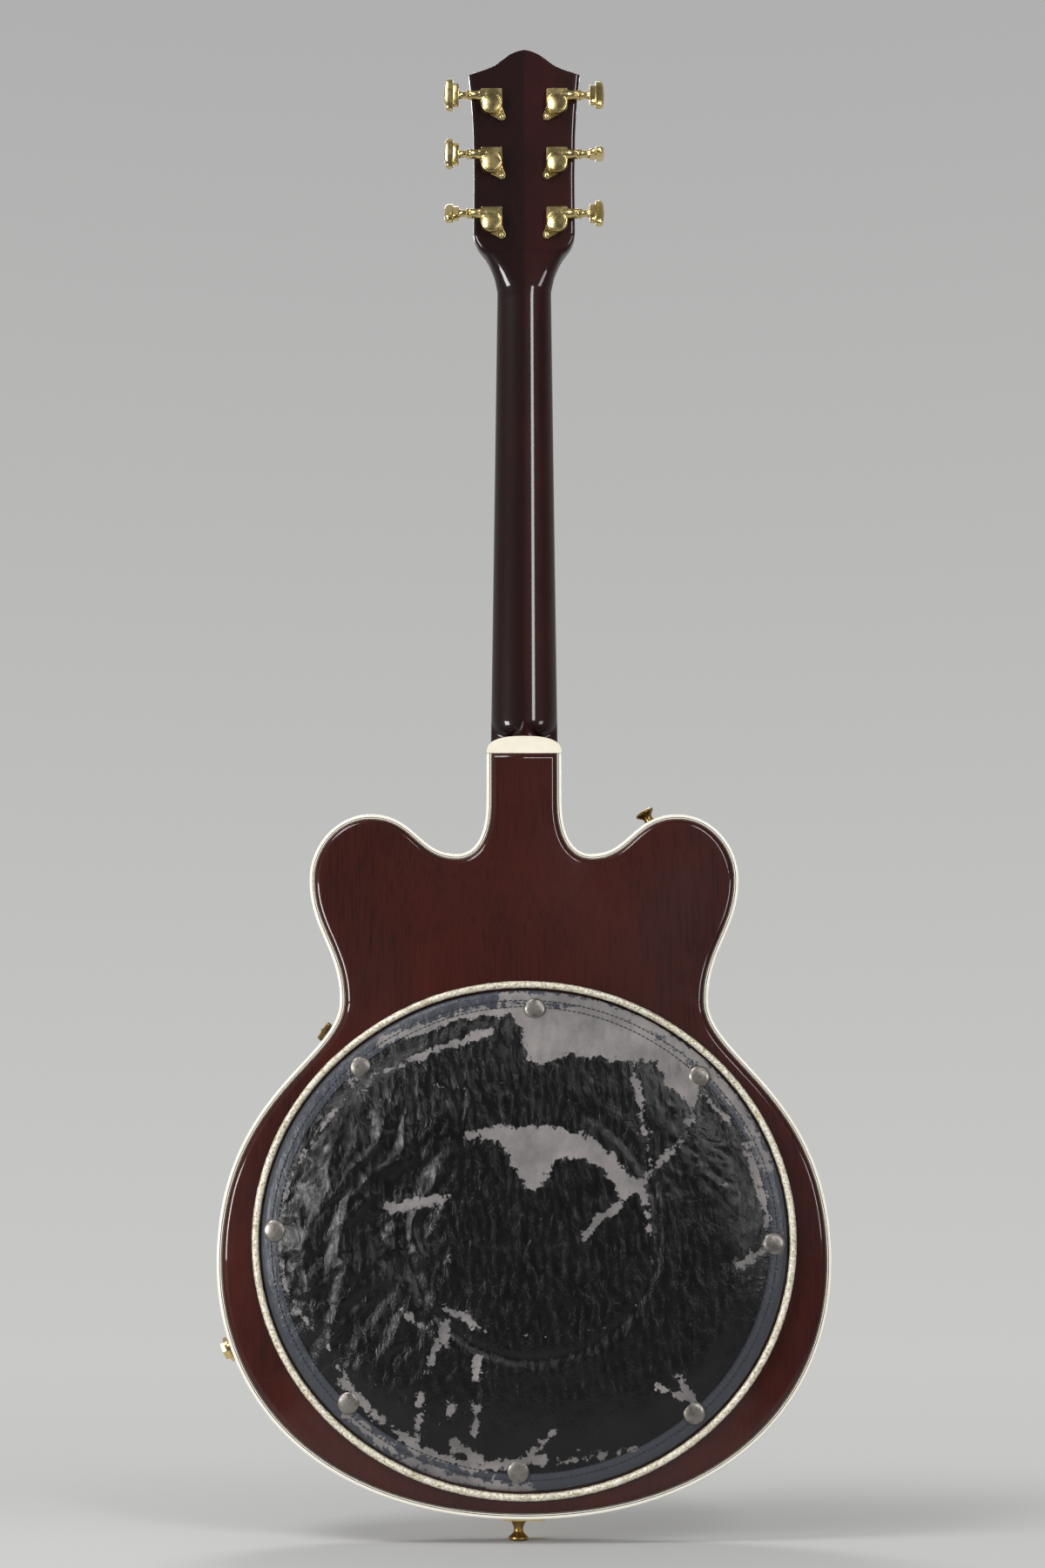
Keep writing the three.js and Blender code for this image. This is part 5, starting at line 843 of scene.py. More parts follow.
piece("heel_wedge", heel_shape(), STAINED_NECK, GUITAR, [], crease=45)
cap_outline = half_moon(TONGUE_HALF, HEEL_HEIGHT, 2.6)
piece("heel_cap_cream", plate(cap_outline, HALF_DEPTH - 3.1, HALF_DEPTH, FLAT), CREAM, GUITAR,
      ["heel_cap"], bevel=0.5)

extension = []
for z in (BOARD_END, BODY_END + 8):
    half, front = width_at(z) / 2 - 0.5, neck_front(z)
    extension.append([(-half, front, z), (half, front, z), (half, -24.0, z), (-half, -24.0, z)])
piece("neck_extension", loft(extension), STAINED_NECK, GUITAR, [], bevel=0.6)
print("heel cap:", TONGUE_HALF * 2, "by", HEEL_HEIGHT, "mm")

# %% [markdown]
# ## Fingerboard, frets, markers and nut
# The fingerboard is a long ebony plate with a gentle camber and a cream strip down each side.
# The frets get closer together towards the body by the rule of equal steps: each space is the one before
# divided by the twelfth root of two. One fret shape is copied by Geometry Nodes, each to its own width.

# %% Fingerboard, frets, markers and nut
SCALE, CAMBER = 625.0, 305.0


def camber(x):
    return x * x / (2 * CAMBER)


def board_rings(inner, outer, low, high):
    rings = []
    for z in np.linspace(BOARD_END, NUT_Z - 0.3, 24):
        half = width_at(z) / 2
        across = np.linspace(inner(half), outer(half), 9)
        top = [(x, face_at(z) + camber(x) + low, z) for x in across]
        bottom = [(x, face_at(z) + high, z) for x in across[::-1]]
        rings.append(top + bottom)
    return loft(rings)


EDGE_STRIP = 1.6
piece("fingerboard_ebony",
      board_rings(lambda half: EDGE_STRIP - half, lambda half: half - EDGE_STRIP, 0, 6.3),
      OILED_EBONY, GUITAR, ["fingerboard"], crease=40)
strips = [board_rings(lambda half: -half, lambda half: EDGE_STRIP - half, 0.0, 6.3),
          board_rings(lambda half: half - EDGE_STRIP, lambda half: half, 0.0, 6.3)]
piece("fingerboard_edging", together(*strips), CREAM, GUITAR, [], crease=40)

fret_section = [(-1.1, 0.1), (-0.95, -0.55), (-0.5, -0.95), (0.0, -1.05), (0.5, -0.95), (0.95, -0.55),
                (1.1, 0.1)]
FRET_HALF = 24.0
fret_rings = [[(x, camber(x) + y, z) for z, y in fret_section] for x in np.linspace(-FRET_HALF, FRET_HALF, 9)]
fret_places = [NUT_Z - SCALE * (1 - 2 ** (-number / 12)) for number in range(1, 23)]
fret_spots = [((0, face_at(z), z), (0, 0, 1), (1, 0, 0), ((width_at(z) / 2 - 0.2) / FRET_HALF, 1, 1))
              for z in fret_places]
copies("frets_nickel", loft(fret_rings), fret_spots, FRET_METAL, GUITAR)

marker = turned([(0, -0.12), (3.1, -0.1), (3.2, 0.3)], 24, frame_along((0, 0, 0), (0, 1, 0)))
marker_spots = []
for number in (3, 5, 7, 9, 12, 15, 17, 19, 21):
    z = (fret_places[number - 1] + fret_places[number - 2]) / 2
    for x in ((-9, 9) if number == 12 else (0,)):
        marker_spots.append(((x, face_at(z) + camber(x), z), (0, 0, 1), (1, 0, 0)))
copies("position_dots", marker, marker_spots, PEARL, GUITAR)

STRING_RADII = [0.65, 0.53, 0.43, 0.35, 0.3, 0.25]
NUT_RISE, BRIDGE_RISE = 2.2, 6.2  # how far the strings lie off the fingerboard's plane
NUT_STRINGS = [35.6 * (index / 5 - 0.5) for index in range(6)]
BRIDGE_STRINGS = [52 * (index / 5 - 0.5) for index in range(6)]
nut_edge = face_at(NUT_Z) - NUT_RISE + camber(NUT_STRINGS[0]) - 0.4
nut_line = [(-21.2, neck_front(NUT_Z) - 0.3), (-21.2, nut_edge + 0.6), (-20.4, nut_edge)]
for x, radius in zip(NUT_STRINGS, STRING_RADII):
    level = face_at(NUT_Z) - NUT_RISE + camber(x) - 0.4
    half, floor = radius + 0.15, face_at(NUT_Z) - NUT_RISE + camber(x) + radius + 0.05
    nut_line += [(x - half, level), (x - half * 0.8, floor), (x + half * 0.8, floor), (x + half, level)]
nut_line += [(20.4, nut_edge), (21.2, nut_edge + 0.6), (21.2, neck_front(NUT_Z) - 0.3)]
piece("nut_bone", plate(nut_line, NUT_Z, NUT_Z + 5), BONE, GUITAR, ["nut"], bevel=0.15)
print("frets:", len(fret_spots), "markers:", len(marker_spots))

# %% [markdown]
# ## Headstock front
# The front of the head is faced with a thin black sheet edged in cream, with a small plain cover over the
# end of the truss rod. Facing and edging share one outline, and the smaller facing leaves a cream line.

# %% Headstock front
def head_outline(shrink):
    half = []
    for z in np.concatenate([np.linspace(8, 173.2, 48), np.linspace(173.5, 192.4, 20)]):
        half.append((max(head_half(z) - shrink, 0.1), z))
    half[-1] = (0.0, HEAD_LENGTH - shrink)
    half = [(x, min(z, HEAD_LENGTH - shrink)) for x, z in half]
    return half + [(-x, z) for x, z in half[::-1][1:]]


HEAD_FLAT = HEAD @ FLAT
piece("headstock_facing", plate(head_outline(1.4), -0.9, 0.1, HEAD_FLAT), BLACK_PLASTIC, GUITAR, [])
piece("headstock_edging", plate(head_outline(0.05), -0.7, 0.1, HEAD_FLAT), CREAM, GUITAR, [])
cover = [(-5, 12), (5, 12), (7.5, 16), (9.5, 30), (7, 38), (0, 42), (-7, 38), (-9.5, 30), (-7.5, 16)]
piece("truss_rod_cover", plate(cover, -2.4, -0.9, HEAD_FLAT), CREAM, GUITAR, [],
      bevel=0.4)
cover_facing = HEAD.to_3x3() @ Vector((0, -1, 0))
cover_spots = [(tuple(moved(HEAD, [(0, -2.5, z)])[0]), cover_facing, (1, 0, 0)) for z in (16.5, 37)]
copies("truss_cover_screws", SCREW_HEAD, cover_spots, GOLD, GUITAR, size=0.65)
print("headstock front:", len(head_outline(1.4)), "points round it")

# %% [markdown]
# ## Tuners
# Each tuner has a closed housing with a round cap, a collar for the worm's shaft and an ear with a screw.
# The housings are turned and plated, so they are built from turned shapes with rounded edges.
# The shapes are drawn once, for the treble side, and mirrored for the bass side.

# %% Tuners
TUNER_RISES = [56.4, 102.9, 149.0]
TUNER_HALF_SPACING = 25.5
TURNS = {"bass": [35, 88, 28], "treble": [52, 20, 12]}


def station(side, rise):
    return HEAD @ Matrix.Translation((side * TUNER_HALF_SPACING, HEAD_THICKNESS,
                                      rise)) @ Matrix.Diagonal((side, 1, 1, 1))


def housing_shapes():
    up = frame_along((0, 0, 0), (0, 1, 0))
    profile = [(8.2, 0.05), (8.2, 6.6), (8.05, 7.1), (7.6, 7.5), (7.0, 7.6), (6.5, 7.45), (6.2, 7.3),
               (0, 7.3)]
    cap = turned([(0, 0.05)] + profile, 40, up)
    shoulder = plate([(-8.2, 0), (-8.2, 10.6), (-7.6, 11.4), (7.6, 11.4), (8.2, 10.6), (8.2, 0)], 0.05, 6.6,
                     FLAT)
    sleeve = [(3.9, 4), (4.1, 8.2), (3.9, 9.4), (3.7, 10), (3.55, 14.6), (3.9, 15.2), (3.9, 16.6),
              (3.5, 17.2)]
    collar = turned([(0, 4)] + sleeve + [(0, 17.2)], 28, frame_along((0, 4, 6.5), (1, 0, 0)))
    foot = [(-7.8 + 3.1 * math.cos(a), -9.4 + 3.1 * math.sin(a))
            for a in np.linspace(math.pi * 0.78, math.pi * 1.78, 14)]
    ear = plate(foot + [(3.5, -7.0), (-7.0, 1.5)], 0.05, 2.2, FLAT)
    return cap, shoulder, collar, ear


def button_shape():
    def oval(x, width, depth, share=1.0, steps=32, power=0.62):
        angles = 2 * np.pi * np.arange(steps) / steps
        z = width / 2 * share * np.sign(np.cos(angles)) * np.abs(np.cos(angles)) ** power
        y = depth / 2 * share * np.sign(np.sin(angles)) * np.abs(np.sin(angles)) ** power
        return np.stack([np.full(steps, x), y, z], 1)

    round_part = [(-6, 2.1), (17.3, 2.1), (17.4, 3.6), (17.7, 4.0), (19.0, 4.0), (19.3, 3.6), (19.4, 2.9),
                  (21, 2.6),
                  (24.2, 2.9), (25.4, 3.6)]
    rings = [oval(x, 2 * radius, 2 * radius, power=1) for x, radius in round_part]
    rings += [oval(25.6, 18.6, 5.8), oval(25.9, 19.3, 6.4), oval(29.8, 19.3, 6.4), oval(30.1, 18.9, 6.0),
              oval(30.15, 25.4, 7.4), oval(30.5, 26.4, 8.0), oval(33.4, 26.4, 8.0), oval(34.9, 25.0, 7.6),
              oval(35.9, 21.5, 6.8), oval(36.4, 16.0, 5.6), oval(36.45, 5.0, 3.2), oval(36.7, 3.6, 2.6)]
    return loft(rings)


def post_shape():
    profile = [(0, -27.5), (2.6, -27.5), (3, -27.1), (3, -23.2), (2.4, -21.8), (2.4, -18.8), (3, -17.4),
               (3, 1.2),
               (3.9, 1.2), (3.9, 5.2), (0, 5.2)]
    return turned(profile, 24, frame_along((0, 0, 0), (0, 1, 0)))


def on_station(shape, place):
    points, faces = shape
    return moved(place, points), faces


ear_spots = []
for side_name, side in (("bass", -1), ("treble", 1)):
    for index, rise in enumerate(TUNER_RISES):
        label, place = f"{side_name}_{index + 1}", station(side, rise)
        parts = [on_station(shape, place) for shape in housing_shapes()]
        piece(f"housing_{label}", together(*parts), GOLD, GUITAR, [f"tuner_housing_{label}"],
              bevel=0.35, crease=40)
        turn = Matrix.Rotation(math.radians(TURNS[side_name][index]), 4, "X")
        axis = place @ Matrix.Translation((0, 4, 6.5)) @ turn
        piece(f"button_stepped_{label}", on_station(button_shape(), axis), GOLD, f"button_{label}",
              [f"tuner_button_{label}"], crease=38)
        piece(f"post_{label}_turned", on_station(post_shape(), place), GOLD, f"post_{label}",
              [f"tuner_post_{label}"], crease=38)
        facing = (place.to_3x3() @ Vector((0, 1, 0))).normalized()
        ear_spots.append((tuple(moved(place, [(-7.8, 2.2, -9.4)])[0]), facing, (1, 0, 0)))
copies("tuner_ear_screws", SCREW_HEAD, ear_spots, GOLD, GUITAR, size=0.8)
washer = turned([(3.1, 0), (5.2, 0.1), (5.4, 0.6), (4.9, 1.1), (3.1, 1.2), (3.1, 0)], 24, Matrix.Identity(4))
front_spots = []
for side in (-1, 1):
    for rise in TUNER_RISES:
        spot = moved(HEAD, [(side * TUNER_HALF_SPACING, -0.9, rise)])[0]
        front_spots.append((tuple(spot), cover_facing, (1, 0, 0)))
copies("tuner_washers", washer, front_spots, GOLD, GUITAR)
print("tuners:", len(ear_spots))

# %% [markdown]
# ## Strings
# A string runs from its pin on the roller over the bridge and the nut, and takes a few turns round its post.
# The four thick ones are wound, and the two thin ones are plain steel.

# %% Strings
ROLLER, ROLLER_GROOVE = (0.0, -43.9, 112.0), 5.6


def string_path(index):
    radius, x_nut, x_bridge = STRING_RADII[index], NUT_STRINGS[index], BRIDGE_STRINGS[index]
    side = -1 if index < 3 else 1
    rise = TUNER_RISES[index if index < 3 else 5 - index]
    bridge_y = face_at(BRIDGE_Z) - BRIDGE_RISE + camber(x_bridge)
    nut_y = face_at(NUT_Z) - NUT_RISE + camber(x_nut)
    _, roller_y, roller_z = ROLLER
    path = [(x_bridge, roller_y + ROLLER_GROOVE * math.cos(a) + radius * math.cos(a),
             roller_z - (ROLLER_GROOVE + radius) * math.sin(a)) for a in np.linspace(0.4, math.pi, 9)]
    path += [(x_bridge, bridge_y, BRIDGE_Z), (x_nut, nut_y, NUT_Z), (x_nut, nut_y + 0.25, NUT_Z + 5.3)]
    post_x = side * TUNER_HALF_SPACING
    reach = 2.4 + radius + 0.05
    start = math.atan2(x_nut - post_x, -rise + 5) - side * math.pi / 2
    for turn in np.linspace(0, 3.5 * 2 * math.pi, 60):
        angle = start + side * turn
        local = (post_x + reach * math.sin(angle), -6.9 + 2 * radius * turn / (2 * math.pi) * 0.62,
                 rise + reach * math.cos(angle))
        path.append(tuple(moved(HEAD, [local])[0]))
    return path, radius


for index in range(6):
    path, radius = string_path(index)
    wound = index < 4
    piece(f"string_{6 - index}_wire", rod(path, radius, 8), WOUND_STRING if wound else PLAIN_STRING,
          GUITAR,
          [f"string_{6 - index}"], crease=80)
print("strings:", len(STRING_RADII))

# %% [markdown]
# ## Bridge
# A wooden base stands on the arched top and carries a gold bar with six grooved saddles on two thumbwheels.
# The bar is made first as a plain profile, and the saddles are small rollers copied along it.

# %% Bridge
BASE_HALF = 75
STUDS = {"bass": -37, "treble": 37}


def bridge_base():
    rings = []
    for z in (298.5, 311.5):
        line = []
        for x in np.linspace(-BASE_HALF, BASE_HALF, 31):
            low = -(HALF_DEPTH + arch_at(x, z) + 0.1)
            end = min(1.0, (BASE_HALF - abs(x)) / 28.5)
            top = -(34.7 + 6.5 * (0.55 + 0.45 * end * end * (3 - 2 * end)))
            line.append((x, low, top))
        rings.append([(x, top, z) for x, low, top in line] + [(x, low, z) for x, low, top in line[::-1]])
    return loft(rings)


stud_profile = [(0, 0), (2.4, 0), (2.4, 13.4), (0, 13.4)]
studs = [turned(stud_profile, 20, frame_along((x, -40.5, BRIDGE_Z), (0, -1, 0))) for x in STUDS.values()]
piece("bridge_base_ebony", bridge_base(), OILED_EBONY, GUITAR, ["bridge_base"], bevel=0.8)
piece("bridge_studs", together(*studs), GOLD, GUITAR, [], crease=40)

bar_front = face_at(BRIDGE_Z) - BRIDGE_RISE + camber(26) - 0.4
bar_back = -46.77
bar_line = [(-44, bar_back), (-44, bar_front + 2.5), (-42, bar_front + 1.1), (42, bar_front + 1.1),
            (44, bar_front + 2.5),
            (44, bar_back)]
piece("bridge_bar_gold", plate(bar_line, 300, 310), GOLD, "bridge_bar", ["bridge_bar"],
      bevel=0.7)
saddle = turned([(0, -3.4), (2.2, -3.4), (2.6, -3.0), (2.6, -0.8), (1.7, 0), (2.6, 0.8), (2.6, 3.0),
                 (2.2, 3.4), (0, 3.4)],
                20, frame_along((0, 0, 0), (0, 0, 1)))
saddle_spots = [((x, face_at(BRIDGE_Z) - BRIDGE_RISE + camber(x) + radius + 1.75, BRIDGE_Z), (1, 0, 0),
                 (0, 1, 0))
                for x, radius in zip(BRIDGE_STRINGS, STRING_RADII)]
copies("bridge_saddles", saddle, saddle_spots, STEEL, "bridge_bar")


def knurled(radius, inner, low, high, teeth, place):
    rings = []
    count = teeth * 2
    for level, shrink in ((low, 0.5), (low + 0.4, 0.0), (high - 0.4, 0.0), (high, 0.5)):
        ring = circle(1.0, count, (0, 0, level))
        sizes = np.where(np.arange(count) % 2 == 0, radius - shrink, radius - shrink - 0.35)
        ring[:, :2] *= sizes[:, None]
        rings.append(ring)
    inner_rings = [circle(inner, count, (0, 0, level)) for level in (high, low)]
    points, faces = loft(rings + inner_rings, endless=True)
    return moved(place, points), faces


for side_name, x in STUDS.items():
    wheel = knurled(8.0, 2.75, 0.0, 3.0, 44, frame_along((x, -46.47, BRIDGE_Z), (0, 1, 0)))
    piece(f"wheel_{side_name}_knurled", wheel, GOLD, f"thumbwheel_{side_name}", [f"thumbwheel_{side_name}"],
          crease=25)
print("saddles:", len(saddle_spots), "on a bar", round(bar_back - bar_front, 1), "mm thick")

# %% [markdown]
# ## Tailpiece with its roller, spring and arm
# The frame is a cast plate on the top that wraps round the end of the body, with two ears for the roller.
# The strings hook on pins in the roller, a spring holds the lever up, and the arm turns it.
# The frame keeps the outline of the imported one, with soft cast edges.

# %% Tailpiece
def frame_plate():
    outline = [(-14.5, 14.0), (14.5, 14.0), (14.8, 40), (17.0, 58), (24, 76), (37.3, 98), (40.5, 103),
               (53.6, 112), (53.6, 143.1),
               (37.6, 143.1), (36.5, 121), (-36.5, 121), (-37.3, 120), (-37.3, 98), (-24, 76), (-17, 58),
               (-14.8, 40)]
    dense = []
    for start, end in zip(outline, outline[1:] + outline[:1]):
        steps = max(1, int(math.dist(start, end) / 6))
        dense += [tuple(np.array(start) + (np.array(end) - np.array(start)) * step / steps)
                  for step in range(steps)]
    front = [(x, -(max(HALF_DEPTH + arch_at(x, z), 34.4 if z > 98 else 0) + 3.3), z) for x, z in dense]
    back = [(x, -(HALF_DEPTH + arch_at(x, max(z, 16.5)) + 0.05), z) for x, z in dense]
    return loft([front, back])


frame_parts = [frame_plate(), box((-14.5, -28.4, 13.3), (14.5, 8.6, 15.7)),
               box((37.6, -52.0, 139.0), (53.6, -36.5, 143.1))]
for side in (-1, 1):
    place = frame_along((side * 33.3, ROLLER[1], ROLLER[2]), (side, 0, 0), (0, 0, 1))
    frame_parts.append(turned([(0, 0), (8.6, 0), (8.6, 4), (0, 4)], 36, place))
    frame_parts.append(box((33.3 if side > 0 else -37.3, -43.9, 103.4),
                           (37.3 if side > 0 else -33.3, -36.5, 120.6)))
piece("tailpiece_frame_cast", together(*frame_parts), GOLD, GUITAR, ["vibrato_frame"],
      bevel=0.6, crease=40)
bracket_screws = [((0, 3.2, 13.25), (0, 0, -1), (1, 0, 0))]
copies("bracket_screw", SCREW_HEAD, bracket_screws, WORN_GOLD, GUITAR, size=0.9)

roller_profile = [(0, -37.0), (3.0, -37.0), (3.0, -33.2), (5.2, -32.8), (5.2, 32.8), (3.0, 33.2), (3.0, 37.6),
                  (0, 37.6)]
lever = box((37.6, -60.9, 109.5), (53.6, -43.9, 114.5))
pins = [turned([(0, 0), (1.1, 0), (1.1, 8.6), (0.6, 9.3), (0, 9.4)], 12,
               frame_along((x, ROLLER[1], ROLLER[2]), (0, 0, -1)))
        for x in BRIDGE_STRINGS]
parts = [turned(roller_profile, 28, frame_along(ROLLER, (1, 0, 0))), lever]
parts.append(turned([(0, 37.6), (3.2, 37.6), (3.2, 53.6), (0, 53.6)], 24, frame_along(ROLLER, (1, 0, 0))))
piece("roller_with_pins", together(*parts, *pins), GOLD, "roller", ["vibrato_roller"],
      bevel=0.4, crease=40)
ball_ends = turned([(0.9, -1.5), (1.9, -1.3), (1.9, 1.3), (0.9, 1.5), (0.9, -1.5)], 16, Matrix.Identity(4))
ball_spots = [((x, ROLLER[1], ROLLER[2] - 7.4), (0, 0, 1), (1, 0, 0)) for x in BRIDGE_STRINGS]
copies("string_ball_ends", ball_ends, ball_spots, WORN_GOLD, "roller")

SPRING_TURNS, SPRING_RADIUS = 6, 4.6
turns = []
for share in np.linspace(0, 1, SPRING_TURNS * 24 + 1):
    angle = 2 * math.pi * SPRING_TURNS * share
    x, y = 45.6 + SPRING_RADIUS * math.cos(angle), -51.9 + SPRING_RADIUS * math.sin(angle)
    turns.append((x, y, 116.4 + 0.9 + 20.6 * share))
piece("spring_coil", rod(turns, 0.9, 10), SPRING_STEEL, GUITAR, ["vibrato_spring"],
      crease=80)

ARM_PIVOT = (45.6, -61.2, 112)
# Rows of how far along the arm, how far out, and how thick
arm_keys = [(0, 0, 2.7), (0.1, 0.04, 3.2), (0.3, 0.3, 3.4), (0.6, 0.75, 3.1), (0.76, 0.92, 3.4),
            (0.82, 0.96, 4.7),
            (0.96, 1, 4.7), (0.995, 1, 3.2), (1, 1, 1.2)]
arm_line = smooth_through(arm_keys, 46)
pivot_x, pivot_y, pivot_z = ARM_PIVOT
arm_path = [(pivot_x + 26 * along, pivot_y - 2.5 - 24 * rise, pivot_z + 150 * along)
            for along, rise, _ in arm_line]
arm_root = turned([(0, 0.0), (6.4, 0.0), (7, 0.6), (7, 4.2), (6.2, 5), (3, 5.4), (0, 5.4)], 32,
                  frame_along(ARM_PIVOT, (0, -1, 0)))
piece("arm_with_grip", together(rod(arm_path, [row[2] for row in arm_line], 18), arm_root), GOLD, "arm",
      ["vibrato_arm"], crease=45)
print("spring:", SPRING_TURNS, "turns, roller pins:", len(pins))

# %% [markdown]
# ## Pickups
# Each pickup is a gold plated cover in a black ring, screwed down at its corners, with two rows of six
# screws that carry the magnet's pull to the strings. Covers are folded and rings are moulded, so every
# edge is soft.

# %% Pickups
def rounded_box_line(half_x, half_z, z, corner, steps=5):
    line = []
    for quarter, (sx, sz) in enumerate(((1, 1), (-1, 1), (-1, -1), (1, -1))):
        for step in range(steps + 1):
            angle = math.pi / 2 * (quarter + step / steps)
            line.append((sx * (half_x - corner) + corner * math.cos(angle),
                         z + sz * (half_z - corner) + corner * math.sin(angle)))
    return line


def string_level(z):
    return face_at(z) - NUT_RISE - (BRIDGE_RISE - NUT_RISE) * (NUT_Z - z) / SCALE


pole_spots, ring_spots = [], []
for label, z in (("bridge", 343.0), ("neck", 450.0)):
    cover_face = string_level(z) + 0.65 + 3.6
    ring = plate(rounded_box_line(45, 22.5, z, 3.5), -39.7, -32.5, FLAT)
    cover_shape = plate(rounded_box_line(35, 18.5, z, 2.5), cover_face, -34.0, FLAT)
    piece(f"pickup_ring_{label}", ring, BLACK_PLASTIC, GUITAR, [f"pickup_{label}"],
          bevel=0.9)
    piece(f"pickup_cover_{label}", cover_shape, GOLD, GUITAR, [], bevel=0.8, segments=3)
    for row in (-8.5, 8.5):
        share = (NUT_Z - z) / SCALE
        for index in range(6):
            x = NUT_STRINGS[index] + (BRIDGE_STRINGS[index] - NUT_STRINGS[index]) * share
            pole_spots.append(((x, cover_face, z + row), (0, -1, 0), (1, 0, 0)))
    ring_spots += [((x, -39.7, z + dz), (0, -1, 0), (1, 0, 0)) for x in (-41, 41) for dz in (-18, 18)]
copies("pickup_poles", SCREW_HEAD, pole_spots, STEEL, GUITAR, size=0.8)
copies("pickup_ring_screws", SCREW_HEAD, ring_spots, GOLD, GUITAR, size=0.75)
print("pickup screws:", len(pole_spots), "poles and", len(ring_spots), "in the rings")

# %% [markdown]
# ## Knobs, controls and selector
# The knobs are turned from solid stock with a knurled side for grip. Under the plate each one sits on a
# potentiometer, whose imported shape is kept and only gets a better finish.

# %% Knobs, controls and selector
def knob_shape(place):
    count = 88
    rows = [(10.5, 0), (10.5, 1.2), (10.2, 2.2), (9.4, 3.0), (9.3, 3.2), (9.4, 3.6), (9.4, 11.4), (9.0, 12.4),
            (8.2, 12.95)]
    rings = []
    for row, (radius, height) in enumerate(rows):
        ring = circle(1.0, count, (0, 0, height))
        bite = 0.32 if row in (5, 6) else 0.0
        ring[:, :2] *= np.where(np.arange(count) % 2 == 0, radius, radius - bite)[:, None]
        rings.append(ring)
    rings += [circle(6.8, count, (0, 0, 12.7)), circle(0.01, count, (0, 0, 12.7))]
    rings = [circle(0.01, count, (0, 0, 0))] + rings
    points, faces = loft(rings)
    return moved(place, points), faces


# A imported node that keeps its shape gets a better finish
def refinish(node, finish):
    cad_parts[node].data.materials.clear()
    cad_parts[node].data.materials.append(finish)


KNOBS = {"master_volume": (96, 468, -33.06), "neck_volume": (132, 206, -39.0),
         "bridge_volume": (117, 150, -39.0)}
for label, (x, z, base) in KNOBS.items():
    place = frame_along((x, base, z), (0, -1, 0))
    shaft = turned([(0, 0), (3, 0), (3, 16), (0, 16)], 20, frame_along((x, base, z), (0, 1, 0)))
    piece(f"knob_{label}_knurled", together(knob_shape(place), shaft), GOLD, label, [f"knob_{label}"],
          crease=25)
    refinish(f"pot_{label}", STEEL)

lever_profile = [(0, -15), (1.6, -14.6), (2.7, -13.4), (3.0, -12.2), (2.6, -10.8), (1.7, -9.2), (1.4, -7.5),
                 (1.4, -3.3),
                 (2.5, -2.5), (3.3, -1.3), (3.6, 0), (2.6, 2.5), (1.4, 3.3), (1.4, 6.9), (0, 6.9)]
lever_place = frame_along((-92, -30.21, 456), (0, 1, 0))
piece("selector_tip", turned(lever_profile, 24, lever_place), STEEL, "selector", ["selector_lever"],
      crease=40)
for node, finish in (("selector_switch", STEEL), ("neck_block", RAW_SPRUCE), ("tail_block", RAW_SPRUCE)):
    refinish(node, finish)
print("knobs:", list(KNOBS))

# %% [markdown]
# ## Pickguard, bracket and painted sound holes
# The pickguard is a clear sheet painted gold behind, which floats over the top on a bent rod from the rim.
# The sound holes of such a guitar are often only painted, so they are thin dark shapes laid on the arch.

# %% Pickguard, bracket and sound holes
guard_keys = [(0, 0), (0.22, -0.08), (0.66, 0.03), (0.93, 0.28), (0.95, 0.5), (0.7, 0.68), (0.35, 0.82),
              (0.08, 1)]
guard_curve = smooth_through([(47 + 62 * a, 316 + 150 * b) for a, b in guard_keys], 44)
guard_line = [tuple(point) for point in guard_curve]
guard_line += [(width_at(490) / 2 + 0.3, 490), (width_at(478) / 2 + 0.3, 478.3), (47, 466)]
piece("pickguard_gold", plate(guard_line, -45.1, -42.6, FLAT), GUARD_PLASTIC, GUITAR, ["pickguard"],
      bevel=0.35)
FOOT, FOOT_OUT = Vector((143.6, 0, 351.9)), Vector((0.835, 0, 0.551)).normalized()
rod_keys = [(90.4, -40.5, 353.7), (120, -40.5, 353.4), (139, -40.3, 352.6), (145.2, -38.6, 352.2),
            (147.8, -34, 352.4),
            (148.2, -26, 353.4), (147.2, -14, 354.4), (146.4, -5, 354.0)]
piece("pickguard_rod", rod(smooth_through(rod_keys, 40), 1.8, 14), WORN_GOLD, GUITAR,
      ["pickguard_bracket"],
      crease=60)
foot_place = frame_along(FOOT, FOOT_OUT, (0, 1, 0))
foot = plate(rounded_box_line(7, 7, 0, 2.5), 0.1, 3.0, foot_place)
piece("pickguard_foot", foot, WORN_GOLD, GUITAR, [], bevel=0.5)
foot_spots = [(tuple(FOOT + FOOT_OUT * 3.0 + Vector((0, dy, 0))), FOOT_OUT, (0, 1, 0)) for dy in (-4, 4)]
copies("pickguard_screws", SCREW_HEAD, foot_spots, WORN_GOLD, GUITAR, size=0.7)


def sound_hole(side):
    spine = smooth_through([(70, 372), (79, 352), (82, 318), (88, 285), (101, 262), (108, 245)], 60)
    widths = np.interp(np.linspace(0, 1, 60), [0, 0.08, 0.3, 0.5, 0.7, 0.92, 1],
                       [1.0, 2.6, 3.6, 4.4, 3.6, 2.6, 1.0])
    tangents = np.gradient(spine, axis=0)
    normals = np.stack([tangents[:, 1], -tangents[:, 0]], 1) / np.linalg.norm(tangents, axis=1)[:, None]
    lines = [np.concatenate([spine + normals * widths[:, None], (spine - normals * widths[:, None])[::-1]])]
    for centre, radius in (((63.5, 366), 7.2), ((113.5, 251), 8.2)):
        lines.append(ring_points(radius, radius, centre, 32))
    shapes = []
    for line in lines:
        flat = [(side * x, z) for x, z in line]
        depths = [HALF_DEPTH + arch_at(x, z) for x, z in flat]
        over = [(x, -(depth + 0.14), z) for (x, z), depth in zip(flat, depths)]
        under = [(x, -(depth - 0.6), z) for (x, z), depth in zip(flat, depths)]
        shapes.append(loft([over, under]))
    return together(*shapes)


